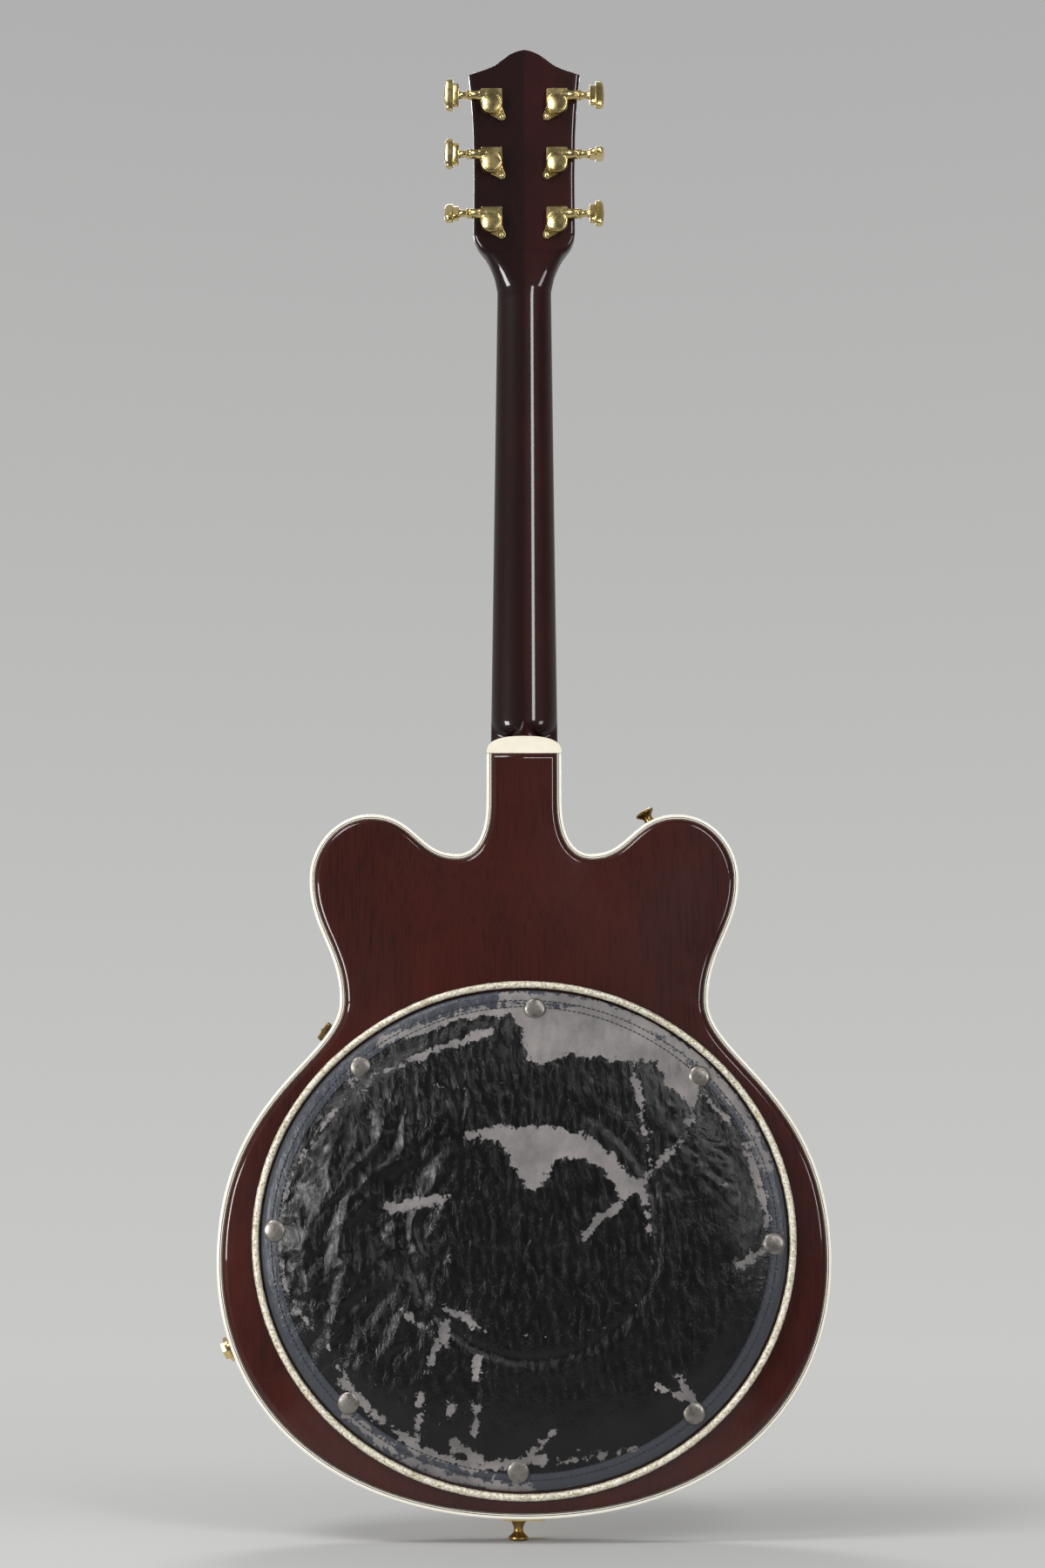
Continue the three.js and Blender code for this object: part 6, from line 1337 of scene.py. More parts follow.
holes = together(sound_hole(1), sound_hole(-1))
piece("painted_sound_holes", holes, BLACK_PLASTIC, GUITAR, [])
print("pickguard outline:", len(guard_line), "points, sound holes:", len(holes[1]), "faces")

# %% [markdown]
# ## Strap buttons and output jack
# Strap buttons are turned: a wide flange, a waist for the strap and a foot. They are handled a lot,
# so their plating is worn. The jack is a washer and a hexagonal nut round a threaded barrel.

# %% Strap buttons and jack
def strap_button(length):
    return [(0, length), (4.8, length), (6.2, length - 0.35), (7.2, length - 1.4), (7.1, length - 2.1),
            (5.6, length - 3.4),
            (3.9, length - 4.9), (3.3, length - 6.6), (3.5, length * 0.3), (4.6, length * 0.12), (5.6, 0),
            (0, 0)]


HORN, HORN_AXIS = Vector((-94.65, 0, 505.65)), Vector((0.521, 0, 0.853)).normalized()
upper_button = turned(strap_button(12), 40, frame_along(HORN, HORN_AXIS))
piece("strap_button_upper", upper_button, WORN_GOLD, GUITAR, ["strap_button_horn"],
      crease=40)
lower_button = turned(strap_button(13), 40, frame_along((4, 0, 13), (0, 0, -1)))
piece("strap_button_lower", lower_button, WORN_GOLD, GUITAR, ["strap_button_end"],
      crease=40)
horn_spots = [(tuple(HORN + HORN_AXIS * 11.2), HORN_AXIS, (0, 1, 0))]
copies("strap_button_screws", SCREW_HEAD, horn_spots, WORN_GOLD, GUITAR)

jack_place = frame_along(JACK_FACE, JACK_AXIS, (0, 1, 0))
flange = turned([(3.9, -2.2), (9, -2.2), (9, -0.6), (8.4, 0), (3.9, 0), (3.9, -2.2)], 40, jack_place)
nut_ring = [circle(radius, 6, (0, 0, level)) for level, radius in ((0, 6.6), (2.6, 6.6), (3.0, 6.1))]
nut_inner = [circle(3.9, 6, (0, 0, 3.0)), circle(3.9, 6, (0, 0, 0))]
hex_points, hex_faces = loft(nut_ring + nut_inner, endless=True)
barrel = turned([(3.9, -24), (5.6, -24), (5.6, 0.1), (3.9, 0.1), (3.9, -24)], 32, jack_place)
back_wall = turned([(0, -24), (5.6, -24), (5.6, -22.6), (0, -22.6)], 24, jack_place)
jack_shape = together(flange, (moved(jack_place, hex_points), hex_faces), barrel)
piece("output_jack_ring", jack_shape, GOLD, GUITAR, ["output_jack"], crease=35)
piece("output_jack_inside", back_wall, DARK_INSIDE, GUITAR, [])
print("jack at", [round(value, 1) for value in JACK_FACE])

# %% [markdown]
# ## The pad's cushion
# The pad is a thin foam cushion in black vinyl, sewn in an oval and snapped to the body over an access hole.
# Foam under a tight skin swells between its edges, so its shape comes from a cloth simulation with a little
# pressure inside, which starts a bit smaller than the finished pad. Creases and seams are pressed in later.

# %% The pad's cushion
PAD_HALF = np.array((185.5, 173.0))
PAD_PROFILE = [(0, 0.6), (0.2, 0.6), (0.45, 0.58), (0.68, 0.54), (0.82, 0.47), (0.875, 0.4), (0.9, 0.38),
               (0.93, 0.42),
               (0.975, 0.4), (0.993, 0.3), (1, 0.16)]
PAD_CROWN, PAD_CELLS, PAD_SWELL = 11.5, 92, 3.2
PAD_HIGHEST = 45.9  # no point of the skin stands further back
OUTER_SEAM, INNER_SEAM = 8.6, 13.2  # how far the two seams lie inside the edge
CLOTH_FRAMES = 20


# An even square net pressed into a round one, so no cell is much longer than it is wide
def round_net(cells):
    line = np.linspace(-1, 1, cells + 1)
    a, b = np.meshgrid(line, line, indexing="ij")
    wide = np.abs(a) >= np.abs(b)
    radius = np.where(wide, np.abs(a), np.abs(b))
    quarter = math.pi / 4
    safe_a, safe_b = np.where(a == 0, 1, a), np.where(b == 0, 1, b)
    angle = np.where(wide, quarter * b / safe_a, math.pi / 2 - quarter * a / safe_b)
    angle = np.where((wide & (a < 0)) | (~wide & (b < 0)), angle + math.pi, angle)
    return (radius * np.cos(angle)).ravel(), (radius * np.sin(angle)).ravel(), radius.ravel()


def cushion_shape():
    across, up, share = round_net(PAD_CELLS)
    rows = PAD_CELLS + 1
    flat = PAD_CENTRE + PAD_HALF * np.stack([across, up], 1)
    rise = np.interp(share, [key[0] for key in PAD_PROFILE], [key[1] for key in PAD_PROFILE])
    level = HALF_DEPTH + arch_rise(flat) + 0.45
    top = np.stack([flat[:, 0], level + PAD_CROWN * rise, flat[:, 1]], 1)
    under = PAD_CENTRE + (flat - PAD_CENTRE) * 0.985
    bottom = np.stack([under[:, 0], HALF_DEPTH + arch_rise(under) + 0.4, under[:, 1]], 1)
    faces, count = [], rows * rows
    for row in range(PAD_CELLS):
        for column in range(PAD_CELLS):
            corner = row * rows + column
            face = (corner, corner + 1, corner + rows + 1, corner + rows)
            faces += [face, tuple(count + index for index in face[::-1])]
    ring = list(range(rows)) + [row * rows + PAD_CELLS for row in range(1, rows)]
    ring += [PAD_CELLS * rows + column for column in range(PAD_CELLS - 1, -1, -1)]
    ring += [row * rows for row in range(PAD_CELLS - 1, 0, -1)]
    for here, after in zip(ring, ring[1:] + ring[:1]):
        faces.append((here, after, count + after, count + here))
    return np.concatenate([top, bottom]), faces


def swell(made):
    """Cloth with pressure and no gravity; no point may move further than the pad's slack."""
    mesh = made.data
    start = np.array([vertex.co for vertex in mesh.vertices])
    cloth = made.modifiers.new("cloth", "CLOTH")
    cloth.settings.quality = 4
    cloth.settings.mass = 0.25
    cloth.settings.use_pressure = True
    cloth.settings.uniform_pressure_force = 4
    cloth.settings.effector_weights.gravity = 0
    cloth.collision_settings.use_collision = False
    SCENE.frame_start, SCENE.frame_end = 1, CLOTH_FRAMES
    for step in range(1, CLOTH_FRAMES + 1):
        SCENE.frame_set(step)
    graph = bpy.context.evaluated_depsgraph_get()
    swollen = bpy.data.meshes.new_from_object(made.evaluated_get(graph), depsgraph=graph)
    moved_points = np.array([vertex.co for vertex in swollen.vertices])
    made.modifiers.clear()
    SCENE.frame_set(1)
    step = moved_points - start
    length = np.linalg.norm(step, axis=1)
    step *= (np.minimum(length, PAD_SWELL * MM) / np.maximum(length, 1e-9))[:, None]
    from_edge = 1 - np.linalg.norm((start[:, [0, 2]] / MM - PAD_CENTRE) / PAD_HALF, axis=1)
    free = np.clip((from_edge - 0.07) / 0.12, 0, 1)
    step *= (free * free * (3 - 2 * free))[:, None]
    step[:, [0, 2]] *= 0.3
    start = start + step
    print("cloth moved the skin by up to", round(float(length.max() / MM), 1), "mm")
    mesh.vertices.foreach_set("co", start.ravel())
    mesh.update()


cushion = new_object("pad_cushion_soft", cushion_shape(), crease=180)
swell(cushion)
finer = cushion.modifiers.new("finer", "SUBSURF")
finer.levels = finer.render_levels = 1
bake(cushion)
print("cushion:", len(cushion.data.vertices), "points")

# %% [markdown]
# ## Worn places
# Old vinyl flakes off down to the grey cloth, along its creases and where it rubs. The worn places are drawn
# as patches, strokes and scattered flakes in the pad's own millimetres, and turned into one measure on the
# mesh. The material makes their edges ragged.

# %% Worn places
WORN_PATCHES = [
    [(16, 370), (-3, 368), (-52, 366), (-87, 351), (-112, 332), (-126, 311), (-119, 294), (-99, 313),
     (-94, 327),
     (-56, 329), (-31, 332), (-10, 325), (-1, 329), (0, 346), (7, 358)],
    [(42, 275), (32, 281), (4, 282), (-24, 281), (-45, 274), (-63, 262), (-77, 246), (-84, 239), (-73, 234),
     (-68, 229), (-61, 245), (-49, 257), (-35, 260), (-21, 258), (-15, 245), (-8, 236), (0, 243), (9, 260),
     (18, 270), (32, 274)],
]
# Each stroke: its width, how strongly it shows, and its points
WORN_STROKES = [
    (3.6, 1.0, [(-80, 241), (-112, 274), (-119, 294)]), (4.2, 1.0, [(-80, 239), (-49, 215), (-40, 205)]),
    (4.0, 0.9, [(-82, 239), (-87, 212)]), (2.2, 1.0, [(-89, 253), (-78, 318)]),
    (5.6, 1.1, [(93, 226), (55, 232)]),
    (3.6, 1.0, [(53, 157), (28, 143)]), (4.6, 1.1, [(59, 131), (53, 147)]),
    (2.2, 1.0, [(86, 157), (49, 128)]),
    (3.0, 0.9, [(62, 130), (67, 116)]), (3.6, 0.9, [(72, 102), (74, 61)]), (3.6, 0.9, [(32, 123), (33, 112)]),
    (4.0, 0.9, [(32, 93), (34, 75)]), (4.6, 0.9, [(49, 92), (51, 85)]), (6.0, 1.0, [(48, 68), (32, 57)]),
    (1.2, 0.8,
     [(109, 311), (130, 298), (151, 270), (165, 246), (172, 208), (168, 178), (158, 157), (137, 133),
      (123, 112)]),
    (4.2, 1.0, [(-157, 270), (-166, 239), (-171, 219), (-168, 198), (-148, 186)]),
    (3.6, 0.9, [(-126, 305), (-143, 287)]),
    (4.8, 1.0, [(126, 109), (102, 85), (70, 61), (32, 51), (7, 54), (-14, 57)]),
    (4.2, 1.0, [(-94, 105), (-112, 97)]),
    (4.2, 1.0, [(-106, 112), (-117, 93)]), (2.8, 0.8, [(-24, 54), (-77, 64)]),
    (3.6, 1.0, [(-19, 75), (-3, 57)]),
    (5.0, 0.9, [(102, 342), (67, 353), (32, 363), (4, 363)]), (4.0, 0.8, [(81, 329), (53, 339), (25, 349)]),
    (2.6, 0.8, [(109, 318), (86, 325)]),
    (-1.6, 0.55, [(-92, 212), (-87, 178), (-73, 157), (-52, 143), (-21, 138), (11, 140), (32, 147)]),
    (-1.0, 0.6, [(81, 318), (60, 310), (32, 308), (11, 313)]), (-1.2, 0.5, [(67, 219), (53, 212), (48, 164)]),
    (6.0, 0.95, [(16, 374), (-38, 371), (-87, 356), (-126, 329), (-154, 294), (-172, 253)]),
    (5.0, 0.8, [(122, 86), (88, 60), (53, 45), (25, 39), (-3, 37)]),
]
# Places with only scattered flakes: centre, radius and how thickly they lie
SPECKLED = [(75, 335, 34, 0.4), (60, 85, 38, 0.36), (120, 100, 30, 0.4), (-15, 225, 26, 0.36),
            (-140, 240, 22, 0.36),
            (-110, 100, 26, 0.38), (-45, 60, 30, 0.36), (0, 140, 40, 0.3), (150, 165, 20, 0.36),
            (-20, 300, 40, 0.3),
            (-90, 285, 26, 0.38), (125, 310, 24, 0.42), (45, 250, 30, 0.33)]


def distance_to_line(points, line):
    best = np.full(len(points), 1e9)
    for start, end in zip(line, line[1:]):
        start, end = np.array(start, float), np.array(end, float)
        along = end - start
        share = np.clip(((points - start) @ along) / (along @ along), 0, 1)
        best = np.minimum(best, np.linalg.norm(points - (start + share[:, None] * along), axis=1))
    return best


# 0.5 on the drawn edge of a worn place, rising to 1 inside it and falling to 0 outside it over 10 mm
def worn_measure(flat):
    worn = np.zeros(len(flat))
    for patch in WORN_PATCHES:
        reach = distance_to_line(flat, patch + patch[:1])
        signed = np.where(inside(flat, patch), reach, -reach)
        worn = np.maximum(worn, np.clip(0.5 + signed / 20, 0, 1))
    for width, strength, line in WORN_STROKES:
        reach = 0.62 * width - distance_to_line(flat, line)
        worn = np.maximum(worn, np.clip(0.5 + reach / 20, 0, 1) * (0.85 + 0.15 * strength))
    for x, z, radius, amount in SPECKLED:
        away = np.linalg.norm(flat - (x, z), axis=1)
        worn = np.maximum(worn, amount * np.exp(-((away / radius) ** 2)))
    return worn


print("worn places:", len(WORN_PATCHES), "patches,", len(WORN_STROKES), "strokes,", len(SPECKLED),
      "scattered")

# %% [markdown]
# ## Creases and seams
# Vinyl creases where it is pressed, and each part of the pad creases in a direction of its own. The creases
# are noise drawn out along that direction and moved into the mesh, because they change the outline of every
# highlight. The two seams are pressed in below them.

# %% Creases and seams
def ramp(value, low, high):
    share = np.clip((value - low) / (high - low), 0, 1)
    return share * share * (3 - 2 * share)


# Noise that is drawn out along one direction, for creases that all run the same way
def drawn_noise(flat, angle, across, along, seed, octaves=3):
    turn = math.radians(angle)
    a = flat @ np.array((math.cos(turn), math.sin(turn))) / across
    b = flat @ np.array((-math.sin(turn), math.cos(turn))) / along
    return np.array([noise.fractal((x, y, seed), 0.9, 2.1, octaves) for x, y in zip(a, b)])


places = np.array([vertex.co for vertex in cushion.data.vertices]) / MM
flat = places[:, [0, 2]]
share = np.linalg.norm((flat - PAD_CENTRE) / PAD_HALF, axis=1)
upper = places[:, 1] > HALF_DEPTH + arch_rise(flat) + 1.6
top = np.where(upper, ramp(1 - share, 0.02, 0.09), 0.0)
left = ramp(flat[:, 0], 30, 75) * ramp(flat[:, 1], 90, 150) * (1 - ramp(flat[:, 1], 285, 325))
upper_middle = ramp(flat[:, 1], 255, 300) * (1 - ramp(np.abs(flat[:, 0] + 10), 95, 130))
right = ramp(-flat[:, 0], 85, 115) * ramp(flat[:, 1], 215, 265)
wander = drawn_noise(flat, 0, 60, 60, 3.1, 2)
bent = flat + np.stack([wander * 14, -wander * 9], 1)
folds = 1 - 2.6 * np.abs(drawn_noise(bent, 22, 26, 62, 7.7, 2)) ** 0.8
small_folds = 1 - 2.4 * np.abs(drawn_noise(bent, 34, 11, 24, 17.7, 2)) ** 0.85
height = left * (1.7 * folds + 0.7 * small_folds - 0.8)
height += 0.5 * upper_middle * drawn_noise(flat, 4, 4.5, 22, 12.3, 2)
height += 0.9 * right * (0.6 - 2.0 * np.abs(drawn_noise(bent, -38, 9, 19, 21.9, 2)))
height += 0.3 * drawn_noise(bent, 70, 9, 26, 30.3, 3) + 0.4 * wander
# The rim of the access hole prints through the vinyl as a faint ring
from_centre = np.linalg.norm(flat - PAD_CENTRE + (6, -4), axis=1)
print_side = ramp(-flat[:, 1], -262, -190) + ramp(-flat[:, 0], 20, 70)
height -= 1.1 * np.exp(-((from_centre - 88) / 3.6) ** 2) * np.clip(print_side, 0, 1)
height += 0.5 * np.exp(-((from_centre - 96) / 6.0) ** 2) * np.clip(print_side, 0, 1)
inset = (1 - share) * PAD_HALF.mean()
seam = np.exp(-((inset - INNER_SEAM) / 1.1) ** 2) + 0.6 * np.exp(-((inset - OUTER_SEAM) / 0.9) ** 2)
band = ramp(inset, 13.5, 15.5)
height = height * band * top - 0.55 * seam * top
worn = worn_measure(flat)
height -= 0.25 * ramp(worn, 0.45, 0.6) * top
places[:, 1] = np.where(upper, places[:, 1] + height, places[:, 1])
places[:, 1] = np.minimum(places[:, 1], PAD_HIGHEST)
places[:, 1] = np.maximum(places[:, 1], HALF_DEPTH + arch_rise(flat) + 0.3)
cushion.data.vertices.foreach_set("co", (places * MM).ravel())
for label, values in (("worn", worn), ("edge_inset", inset)):
    attribute = cushion.data.attributes.new(label, "FLOAT", "POINT")
    attribute.data.foreach_set("value", values)
cushion.data.update()
cushion.data.polygons.foreach_set("use_smooth", [True] * len(cushion.data.polygons))
print("creases reach", round(float(height.min()), 1), "to", round(float(height.max()), 1), "mm")

# %% [markdown]
# ## Worn vinyl
# Coated vinyl is a thin glossy plastic skin on a woven cloth. Where the skin is whole it is black with a soft
# sheen and fine creases; where it has flaked, the grey cloth shows, dull and a little lower.
# The edge of a flake is ragged, so the drawn measure is disturbed by noise before it is cut off sharply.

# %% Worn vinyl
def worn_vinyl(name):
    material, tree, shader = new_material(name)
    drawn = add_node(tree, "ShaderNodeAttribute", attribute_name="worn").outputs["Fac"]
    rag = pattern(tree, 8, inputs={"Detail": 8, "Roughness": 0.72})
    chips = pattern(tree, 3.2, inputs={"Detail": 4, "Roughness": 0.6})
    shifted = add_node(tree, "ShaderNodeMath", {
        0: rag.outputs["Fac"], 1: 1.05, 2: drawn}, operation="MULTIPLY_ADD")
    speck = add_node(tree, "ShaderNodeMath", {0: chips.outputs["Fac"], 1: 0.3, 2: shifted.outputs[0]},
                     operation="MULTIPLY_ADD")
    bare = add_node(tree, "ShaderNodeMapRange",
                    {"Value": speck.outputs[0], "From Min": 1.175, "From Max": 1.2})
    bare = bare.outputs["Result"]
    cloth_tone = pattern(tree, 30, inputs={"Detail": 5, "Roughness": 0.6})
    cloth = add_node(tree, "ShaderNodeValToRGB", {"Fac": cloth_tone.outputs["Fac"]},
                     [(0.35, "676464"), (0.65, "878280")])
    skin_tone = pattern(tree, 24, inputs={"Detail": 6, "Roughness": 0.6})
    skin = add_node(tree, "ShaderNodeValToRGB", {"Fac": skin_tone.outputs["Fac"]},
                    [(0.35, "070708"), (0.7, "111113")])
    inset = add_node(tree, "ShaderNodeAttribute", attribute_name="edge_inset")
    strip = add_node(tree, "ShaderNodeMapRange", {
        "Value": inset.outputs["Fac"], "From Min": 13.6, "From Max": 13.0})
    banded = add_node(tree, "ShaderNodeMix", {
        0: strip.outputs["Result"], 6: skin.outputs["Color"], 7: linear("3b3e45")}, data_type="RGBA")
    colour = add_node(tree, "ShaderNodeMix", {
        0: bare, 6: banded.outputs[2], 7: cloth.outputs["Color"]}, data_type="RGBA")
    rough = add_node(tree, "ShaderNodeMapRange", {"Value": bare, "To Min": 0.24, "To Max": 0.88})
    creases = pattern(tree, 5.5, (1, 1, 2.0), inputs={"Detail": 5, "Roughness": 0.62, "Distortion": 0.8})
    weave = pattern(tree, 0.9, inputs={"Detail": 2})
    skin_bump = bump_of(tree, creases.outputs["Fac"], 0.9)
    cloth_bump = bump_of(tree, weave.outputs["Fac"], 0.12, normal=skin_bump)
    feed(tree, shader, {
        "Base Color": colour.outputs[2], "Roughness": rough.outputs["Result"], "Normal": cloth_bump,
        "Specular IOR Level": 0.4})
    return material


VINYL = worn_vinyl("flaked_black_vinyl")
dress(cushion, VINYL, "back_pad", ["pad_cushion"])
print("worn vinyl:", len(VINYL.node_tree.nodes), "nodes")

# %% [markdown]
# ## Piping
# A welt of metallic vinyl is sewn round the pad: a cord in a crinkled silver and gold skin, whose crinkles
# carry painted highlights and painted shade.
# Both the piping and the two rows of stitches follow the pad's oval, so Geometry Nodes carry a shape along it.

# %% Piping
SPARKLE, sparkle_tree, sparkle_shader = new_material("crinkled_metallic_vinyl")
crinkle = pattern(sparkle_tree, 1.7, inputs={"Detail": 5, "Roughness": 0.7})
dirt = pattern(sparkle_tree, 14, inputs={"Detail": 6, "Roughness": 0.7})
# The foil's colour follows the same crinkles as its bump. It is near white on the raised crinkles as painted
# highlights and darker in the folds as painted shade, over the foil's own silver and gold.
foil_with_painted_glints = add_node(sparkle_tree, "ShaderNodeValToRGB", {"Fac": crinkle.outputs["Fac"]},
                [(0.36, "9c8d5f"), (0.5, "ddd6c2"), (0.64, "fbf8ee")])
dirt_share = add_node(sparkle_tree, "ShaderNodeMapRange", {
    "Value": dirt.outputs["Fac"], "From Min": 0.56, "From Max": 0.74, "To Max": 0.8})
foil_mix = add_node(sparkle_tree, "ShaderNodeMix", {
    0: dirt_share.outputs["Result"], 6: foil_with_painted_glints.outputs["Color"], 7: linear("6f6444")}, data_type="RGBA")
feed(sparkle_tree, sparkle_shader, {
    "Base Color": foil_mix.outputs[2], "Normal": bump_of(sparkle_tree, crinkle.outputs["Fac"], 0.5),
    "Metallic": 0.35, "Roughness": 0.34})


def along_tree():
    tree, sockets, given = new_tree("cord_along_a_line", {
        "Line": "Geometry", "Spacing": "Float", "Radius": "Float", "Crinkle": "Float", "Finish": "Material"})
    curve = add_node(tree, "GeometryNodeMeshToCurve", {"Mesh": given.outputs["Line"]})
    even = add_node(tree, "GeometryNodeResampleCurve", {
        "Curve": curve.outputs["Curve"], "Length": given.outputs["Spacing"]}, mode="LENGTH")
    round_section = add_node(tree, "GeometryNodeCurvePrimitiveCircle", {
        "Resolution": 14, "Radius": given.outputs["Radius"]}, mode="RADIUS")
    tube = add_node(tree, "GeometryNodeCurveToMesh", {
        "Curve": even.outputs["Curve"], "Profile Curve": round_section.outputs["Curve"]})
    place = add_node(tree, "GeometryNodeInputPosition")
    rough = add_node(tree, "ShaderNodeTexNoise",
                     {"Vector": place.outputs["Position"], "Scale": 420.0, "Detail": 2.0})
    centred = add_node(tree, "ShaderNodeMath", {0: rough.outputs["Fac"], 1: 0.5}, operation="SUBTRACT")
    amount = add_node(tree, "ShaderNodeMath", {0: centred.outputs[0], 1: given.outputs["Crinkle"]},
                      operation="MULTIPLY")
    normal = add_node(tree, "GeometryNodeInputNormal")
    push = add_node(tree, "ShaderNodeVectorMath", {0: normal.outputs["Normal"], "Scale": amount.outputs[0]},
                    operation="SCALE")
    crinkled = add_node(tree, "GeometryNodeSetPosition",
                        {"Geometry": tube.outputs["Mesh"], "Offset": push.outputs["Vector"]})
    close_tree(tree, crinkled.outputs["Geometry"], given.outputs["Finish"])
    return tree, sockets


def line_object(name, points):
    mesh = bpy.data.meshes.new(name)
    count = len(points)
    edges = [(step, (step + 1) % count) for step in range(count)]
    mesh.from_pydata([tuple(point) for point in np.asarray(points, float) * MM], edges, [])
    made = bpy.data.objects.new(name, mesh)
    SCENE.collection.objects.link(made)
    return made


def oval(grow, count=240, rise=0.0):
    points = []
    for angle in 2 * np.pi * np.arange(count) / count:
        x, z = PAD_CENTRE + (PAD_HALF + grow) * (math.cos(angle), math.sin(angle))
        points.append((x, HALF_DEPTH + arch_at(x, z) + rise, z))
    return points


ALONG, ALONG_INPUTS = along_tree()
piping = line_object("piping_crinkled", oval(2.9, rise=2.85))
apply_nodes(piping, ALONG, {ALONG_INPUTS["Spacing"]: 1.6 * MM, ALONG_INPUTS["Radius"]: 2.5 * MM,
                            ALONG_INPUTS["Crinkle"]: 0.9 * MM, ALONG_INPUTS["Finish"]: SPARKLE})
piping.data.polygons.foreach_set("use_smooth", [True] * len(piping.data.polygons))
dress(piping, SPARKLE, "back_pad", ["pad_piping"])
print("piping:", len(piping.data.polygons), "faces")

# %% [markdown]
# ## Stitches
# The stitches are short loops of thread that sink into the vinyl. They are laid out on the oval, one every
# three and a half millimetres, and dropped on the finished cushion from above.

# %% Stitches
THREAD = plain_finish("waxed_black_thread", "17171a", "35353a", 0.5, (1, 1, 1), 0.5, 0.05)


def stitches_tree():
    tree, sockets, given = new_tree("stitches_on_skin", {
        "Line": "Geometry", "Skin": "Object", "Stitch": "Object", "Spacing": "Float", "Finish": "Material"})
    curve = add_node(tree, "GeometryNodeMeshToCurve", {"Mesh": given.outputs["Line"]})
    even = add_node(tree, "GeometryNodeResampleCurve", {
        "Curve": curve.outputs["Curve"], "Length": given.outputs["Spacing"]}, mode="LENGTH")
    skin = add_node(tree, "GeometryNodeObjectInfo", {"Object": given.outputs["Skin"]})
    hit = add_node(tree, "GeometryNodeRaycast", {
        "Target Geometry": skin.outputs["Geometry"], "Ray Direction": (0, -1, 0), "Ray Length": 0.1})
    landed = add_node(tree, "GeometryNodeSetPosition", {
        "Geometry": even.outputs["Curve"], "Position": hit.outputs["Hit Position"]})
    tangent = add_node(tree, "GeometryNodeInputTangent")
    facing = add_node(tree, "FunctionNodeAlignRotationToVector", {"Vector": tangent.outputs["Tangent"]},
                      axis="X")
    shape = add_node(tree, "GeometryNodeObjectInfo", {"Object": given.outputs["Stitch"]})
    spread = add_node(tree, "GeometryNodeInstanceOnPoints", {
        "Points": landed.outputs["Geometry"], "Selection": hit.outputs["Is Hit"],
        "Instance": shape.outputs["Geometry"],
        "Rotation": facing.outputs["Rotation"]})
    close_tree(tree, spread.outputs["Instances"], given.outputs["Finish"])
    return tree, sockets


STITCHES, STITCHES_INPUTS = stitches_tree()
stitch = new_object("stitch_shape",
                    rod([(-1.3, 0, 0), (-1.0, 0.25, 0), (0, 0.42, 0), (1.0, 0.25, 0), (1.3, 0, 0)],
                                        [0.12, 0.3, 0.34, 0.3, 0.12], 6))
rows = []
for number, back in enumerate((8.6, 13.2)):
    row = line_object(f"seam_{number + 1}_stitches", oval(-back, rise=40))
    apply_nodes(row, STITCHES, {STITCHES_INPUTS["Skin"]: cushion, STITCHES_INPUTS["Stitch"]: stitch,
                                STITCHES_INPUTS["Spacing"]: 3.5 * MM, STITCHES_INPUTS["Finish"]: THREAD})
    dress(row, THREAD, "back_pad", [])
    rows.append(row)
bpy.data.objects.remove(stitch)
print("stitches:", [len(row.data.polygons) for row in rows], "faces")

# %% [markdown]
# ## Snap caps
# Eight domed nickel caps hold the pad on. Each is one turned shape, set where the photo shows a cap,
# and a ray sent down on the finished cushion finds its height and the way it leans.

# %% Snap caps
SNAP_PLACES = [(-7.5, 365.1), (4.2, 48.2), (174.7, 210.3), (-174.5, 201.3), (116.2, 324.3), (-124.1, 317.5),
               (121.1, 93.8), (-116.8, 87.4)]
snap = turned([(0, 2.0), (2.4, 1.93), (4.6, 1.68), (6.2, 1.25), (7.2, 0.7), (7.7, 0.15), (7.7, -0.3),
               (7.3, -0.7), (0, -0.7)],
              36, Matrix.Identity(4))
snap_spots = []
for x, z in SNAP_PLACES:
    _, place, normal, _ = cushion.ray_cast(Vector((x * MM, 0.08, z * MM)), Vector((0, -1, 0)))
    facing = (Vector((0, 1, 0)) + normal * 0.6).normalized()
    snap_spots.append((tuple(np.array(place) / MM + np.array(facing) * 0.35), facing, (1, 0, 0)))
copies("snap_caps", snap, snap_spots, NICKEL, "back_pad", crease=50)
print("snap caps:", len(snap_spots))

# %% [markdown]
# ## Floor
# The photo is a studio picture on a pale grey sweep. The floor here is matt paper that fades out round the
# guitar, so it takes the shadow at the foot and shows no edge.

# %% Floor
FLOOR_GAP = 0.0004
FLOOR_LEVEL = CAD_LOW[2] - FLOOR_GAP
floor_mesh = bpy.data.meshes.new("studio_floor")
floor_mesh.from_pydata([(x, y, FLOOR_LEVEL) for x, y in ((-3, -3), (3, -3), (3, 3), (-3, 3))], [],
                       [(0, 1, 2, 3)])
floor = bpy.data.objects.new("studio_floor", floor_mesh)
SCENE.collection.objects.link(floor)
FLOOR_PAPER, floor_tree, floor_shader = new_material("studio_paper")
feed(floor_tree, floor_shader, {"Base Color": linear("c4c4c3"), "Roughness": 0.85})
place = add_node(floor_tree, "ShaderNodeTexCoord")
distance = add_node(floor_tree, "ShaderNodeVectorMath", {0: place.outputs["Object"]}, operation="LENGTH")
fade = add_node(floor_tree, "ShaderNodeMapRange", {
    "Value": distance.outputs["Value"], "From Min": 0.2, "From Max": 0.85}, interpolation_type="SMOOTHSTEP")
clear = add_node(floor_tree, "ShaderNodeBsdfTransparent")
blend = add_node(floor_tree, "ShaderNodeMixShader", {
    0: fade.outputs["Result"], 1: floor_shader.outputs["BSDF"], 2: clear.outputs["BSDF"]})
output = next(node for node in floor_tree.nodes if node.type == "OUTPUT_MATERIAL")
floor_tree.links.new(blend.outputs["Shader"], output.inputs["Surface"])
floor_mesh.materials.append(FLOOR_PAPER)
print("floor at", round(FLOOR_LEVEL / MM, 1), "mm")

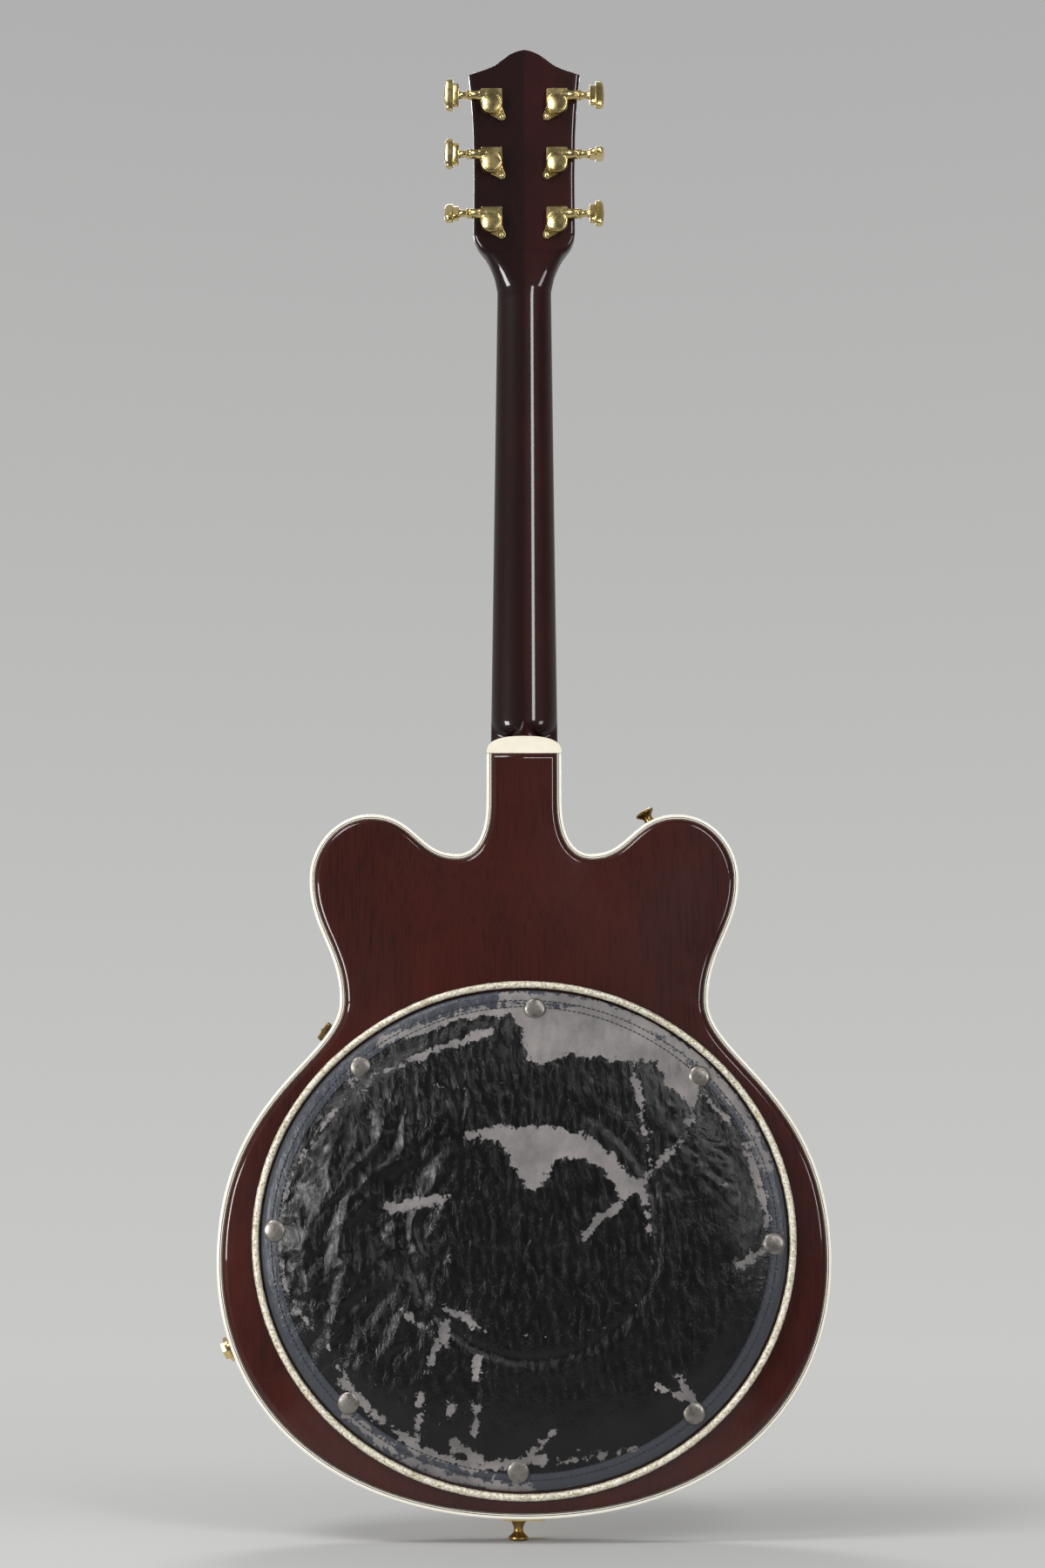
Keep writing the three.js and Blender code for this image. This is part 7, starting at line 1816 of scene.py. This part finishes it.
# %% [markdown]
# ## Lights
# A large soft light stands high on the left, a smaller one low on each side, and a narrow strip on the right
# draws the long thin line on the neck. One more lights the front, which the photo doesn't show.

# %% Lights
def soft_light(name, place, target, width, height, power):
    lamp = bpy.data.lights.new(name, "AREA")
    lamp.shape = "RECTANGLE"
    lamp.size, lamp.size_y = width, height
    lamp.energy = power
    light = bpy.data.objects.new(name, lamp)
    SCENE.collection.objects.link(light)
    light.location = place
    light.rotation_euler = (Vector(target) - Vector(place)).to_track_quat("-Z", "Y").to_euler()


soft_light("softbox_high_left", (1.15, 1.05, 2.15), (0, 0, 0.45), 0.8, 0.8, 22)
soft_light("softbox_low_left", (1.4, 1.25, 0.42), (0.1, 0, 0.3), 0.5, 0.55, 18)
soft_light("softbox_low_right", (-1.35, 1.3, 0.5), (-0.1, 0, 0.3), 0.4, 0.45, 5)
soft_light("strip_right", (-0.8, 1.9, 1.45), (0, 0, 0.75), 0.27, 1.15, 14)
soft_light("softbox_front", (0.3, -2.2, 2.5), (0, 0, 0.5), 1.0, 1.0, 26)
print("lamps:", len(bpy.data.lights))

# %% [markdown]
# ## Background
# The camera sees a pale grey background. Gloss mirrors the same grey, light in front of the guitar and dark
# behind the camera, as in the photo's studio, and everything else gets a plain even light from all sides.

# %% Background
world = bpy.data.worlds.new("studio")
SCENE.world = world
world.use_nodes = True
tree = world.node_tree
tree.nodes.clear()
direction = add_node(tree, "ShaderNodeTexCoord")
split = add_node(tree, "ShaderNodeSeparateXYZ", {"Vector": direction.outputs["Generated"]})
up = add_node(tree, "ShaderNodeMapRange", {"Value": split.outputs["Z"], "From Min": -0.5, "From Max": 0.6})
# The grey is brightest near the horizon and darker above and below: painted falloff of the studio light on the
# backdrop, which gloss mirrors too.
backdrop_with_falloff = add_node(tree, "ShaderNodeValToRGB", {"Fac": up.outputs["Result"]},
               [(0.2, "b9b9b8"), (0.42, "c9c9c8"), (0.75, "b8b8b7"), (0.95, "aeaeae")])
seen = add_node(tree, "ShaderNodeBackground", {"Color": backdrop_with_falloff.outputs["Color"], "Strength": 1.0})
side = add_node(tree, "ShaderNodeMapRange", {
    "Value": split.outputs["Y"], "From Min": -0.2, "From Max": 0.5, "To Min": 0.8, "To Max": 0.13})
room = add_node(tree, "ShaderNodeBackground",
                {"Color": backdrop_with_falloff.outputs["Color"], "Strength": side.outputs["Result"]})
around = add_node(tree, "ShaderNodeBackground", {"Color": (0.39, 0.39, 0.39, 1), "Strength": 1.0})
rays = add_node(tree, "ShaderNodeLightPath")
mirror = add_node(tree, "ShaderNodeMath",
                  {0: rays.outputs["Is Glossy Ray"], 1: rays.outputs["Is Transmission Ray"]},
                  operation="MAXIMUM")
first = add_node(tree, "ShaderNodeMixShader",
                 {0: mirror.outputs[0], 1: around.outputs[0], 2: room.outputs[0]})
second = add_node(tree, "ShaderNodeMixShader",
                  {0: rays.outputs["Is Camera Ray"], 1: first.outputs[0], 2: seen.outputs[0]})
add_node(tree, "ShaderNodeOutputWorld", {"Surface": second.outputs[0]})
print("background:", len(tree.nodes), "nodes")

# %% [markdown]
# ## The imported model's size
# The dressed model has to keep the size of the imported one, whose box is printed here.

# %% The imported model's size
print("CAD box   ", [round(value / MM, 1) for value in (*CAD_LOW, *CAD_HIGH)])
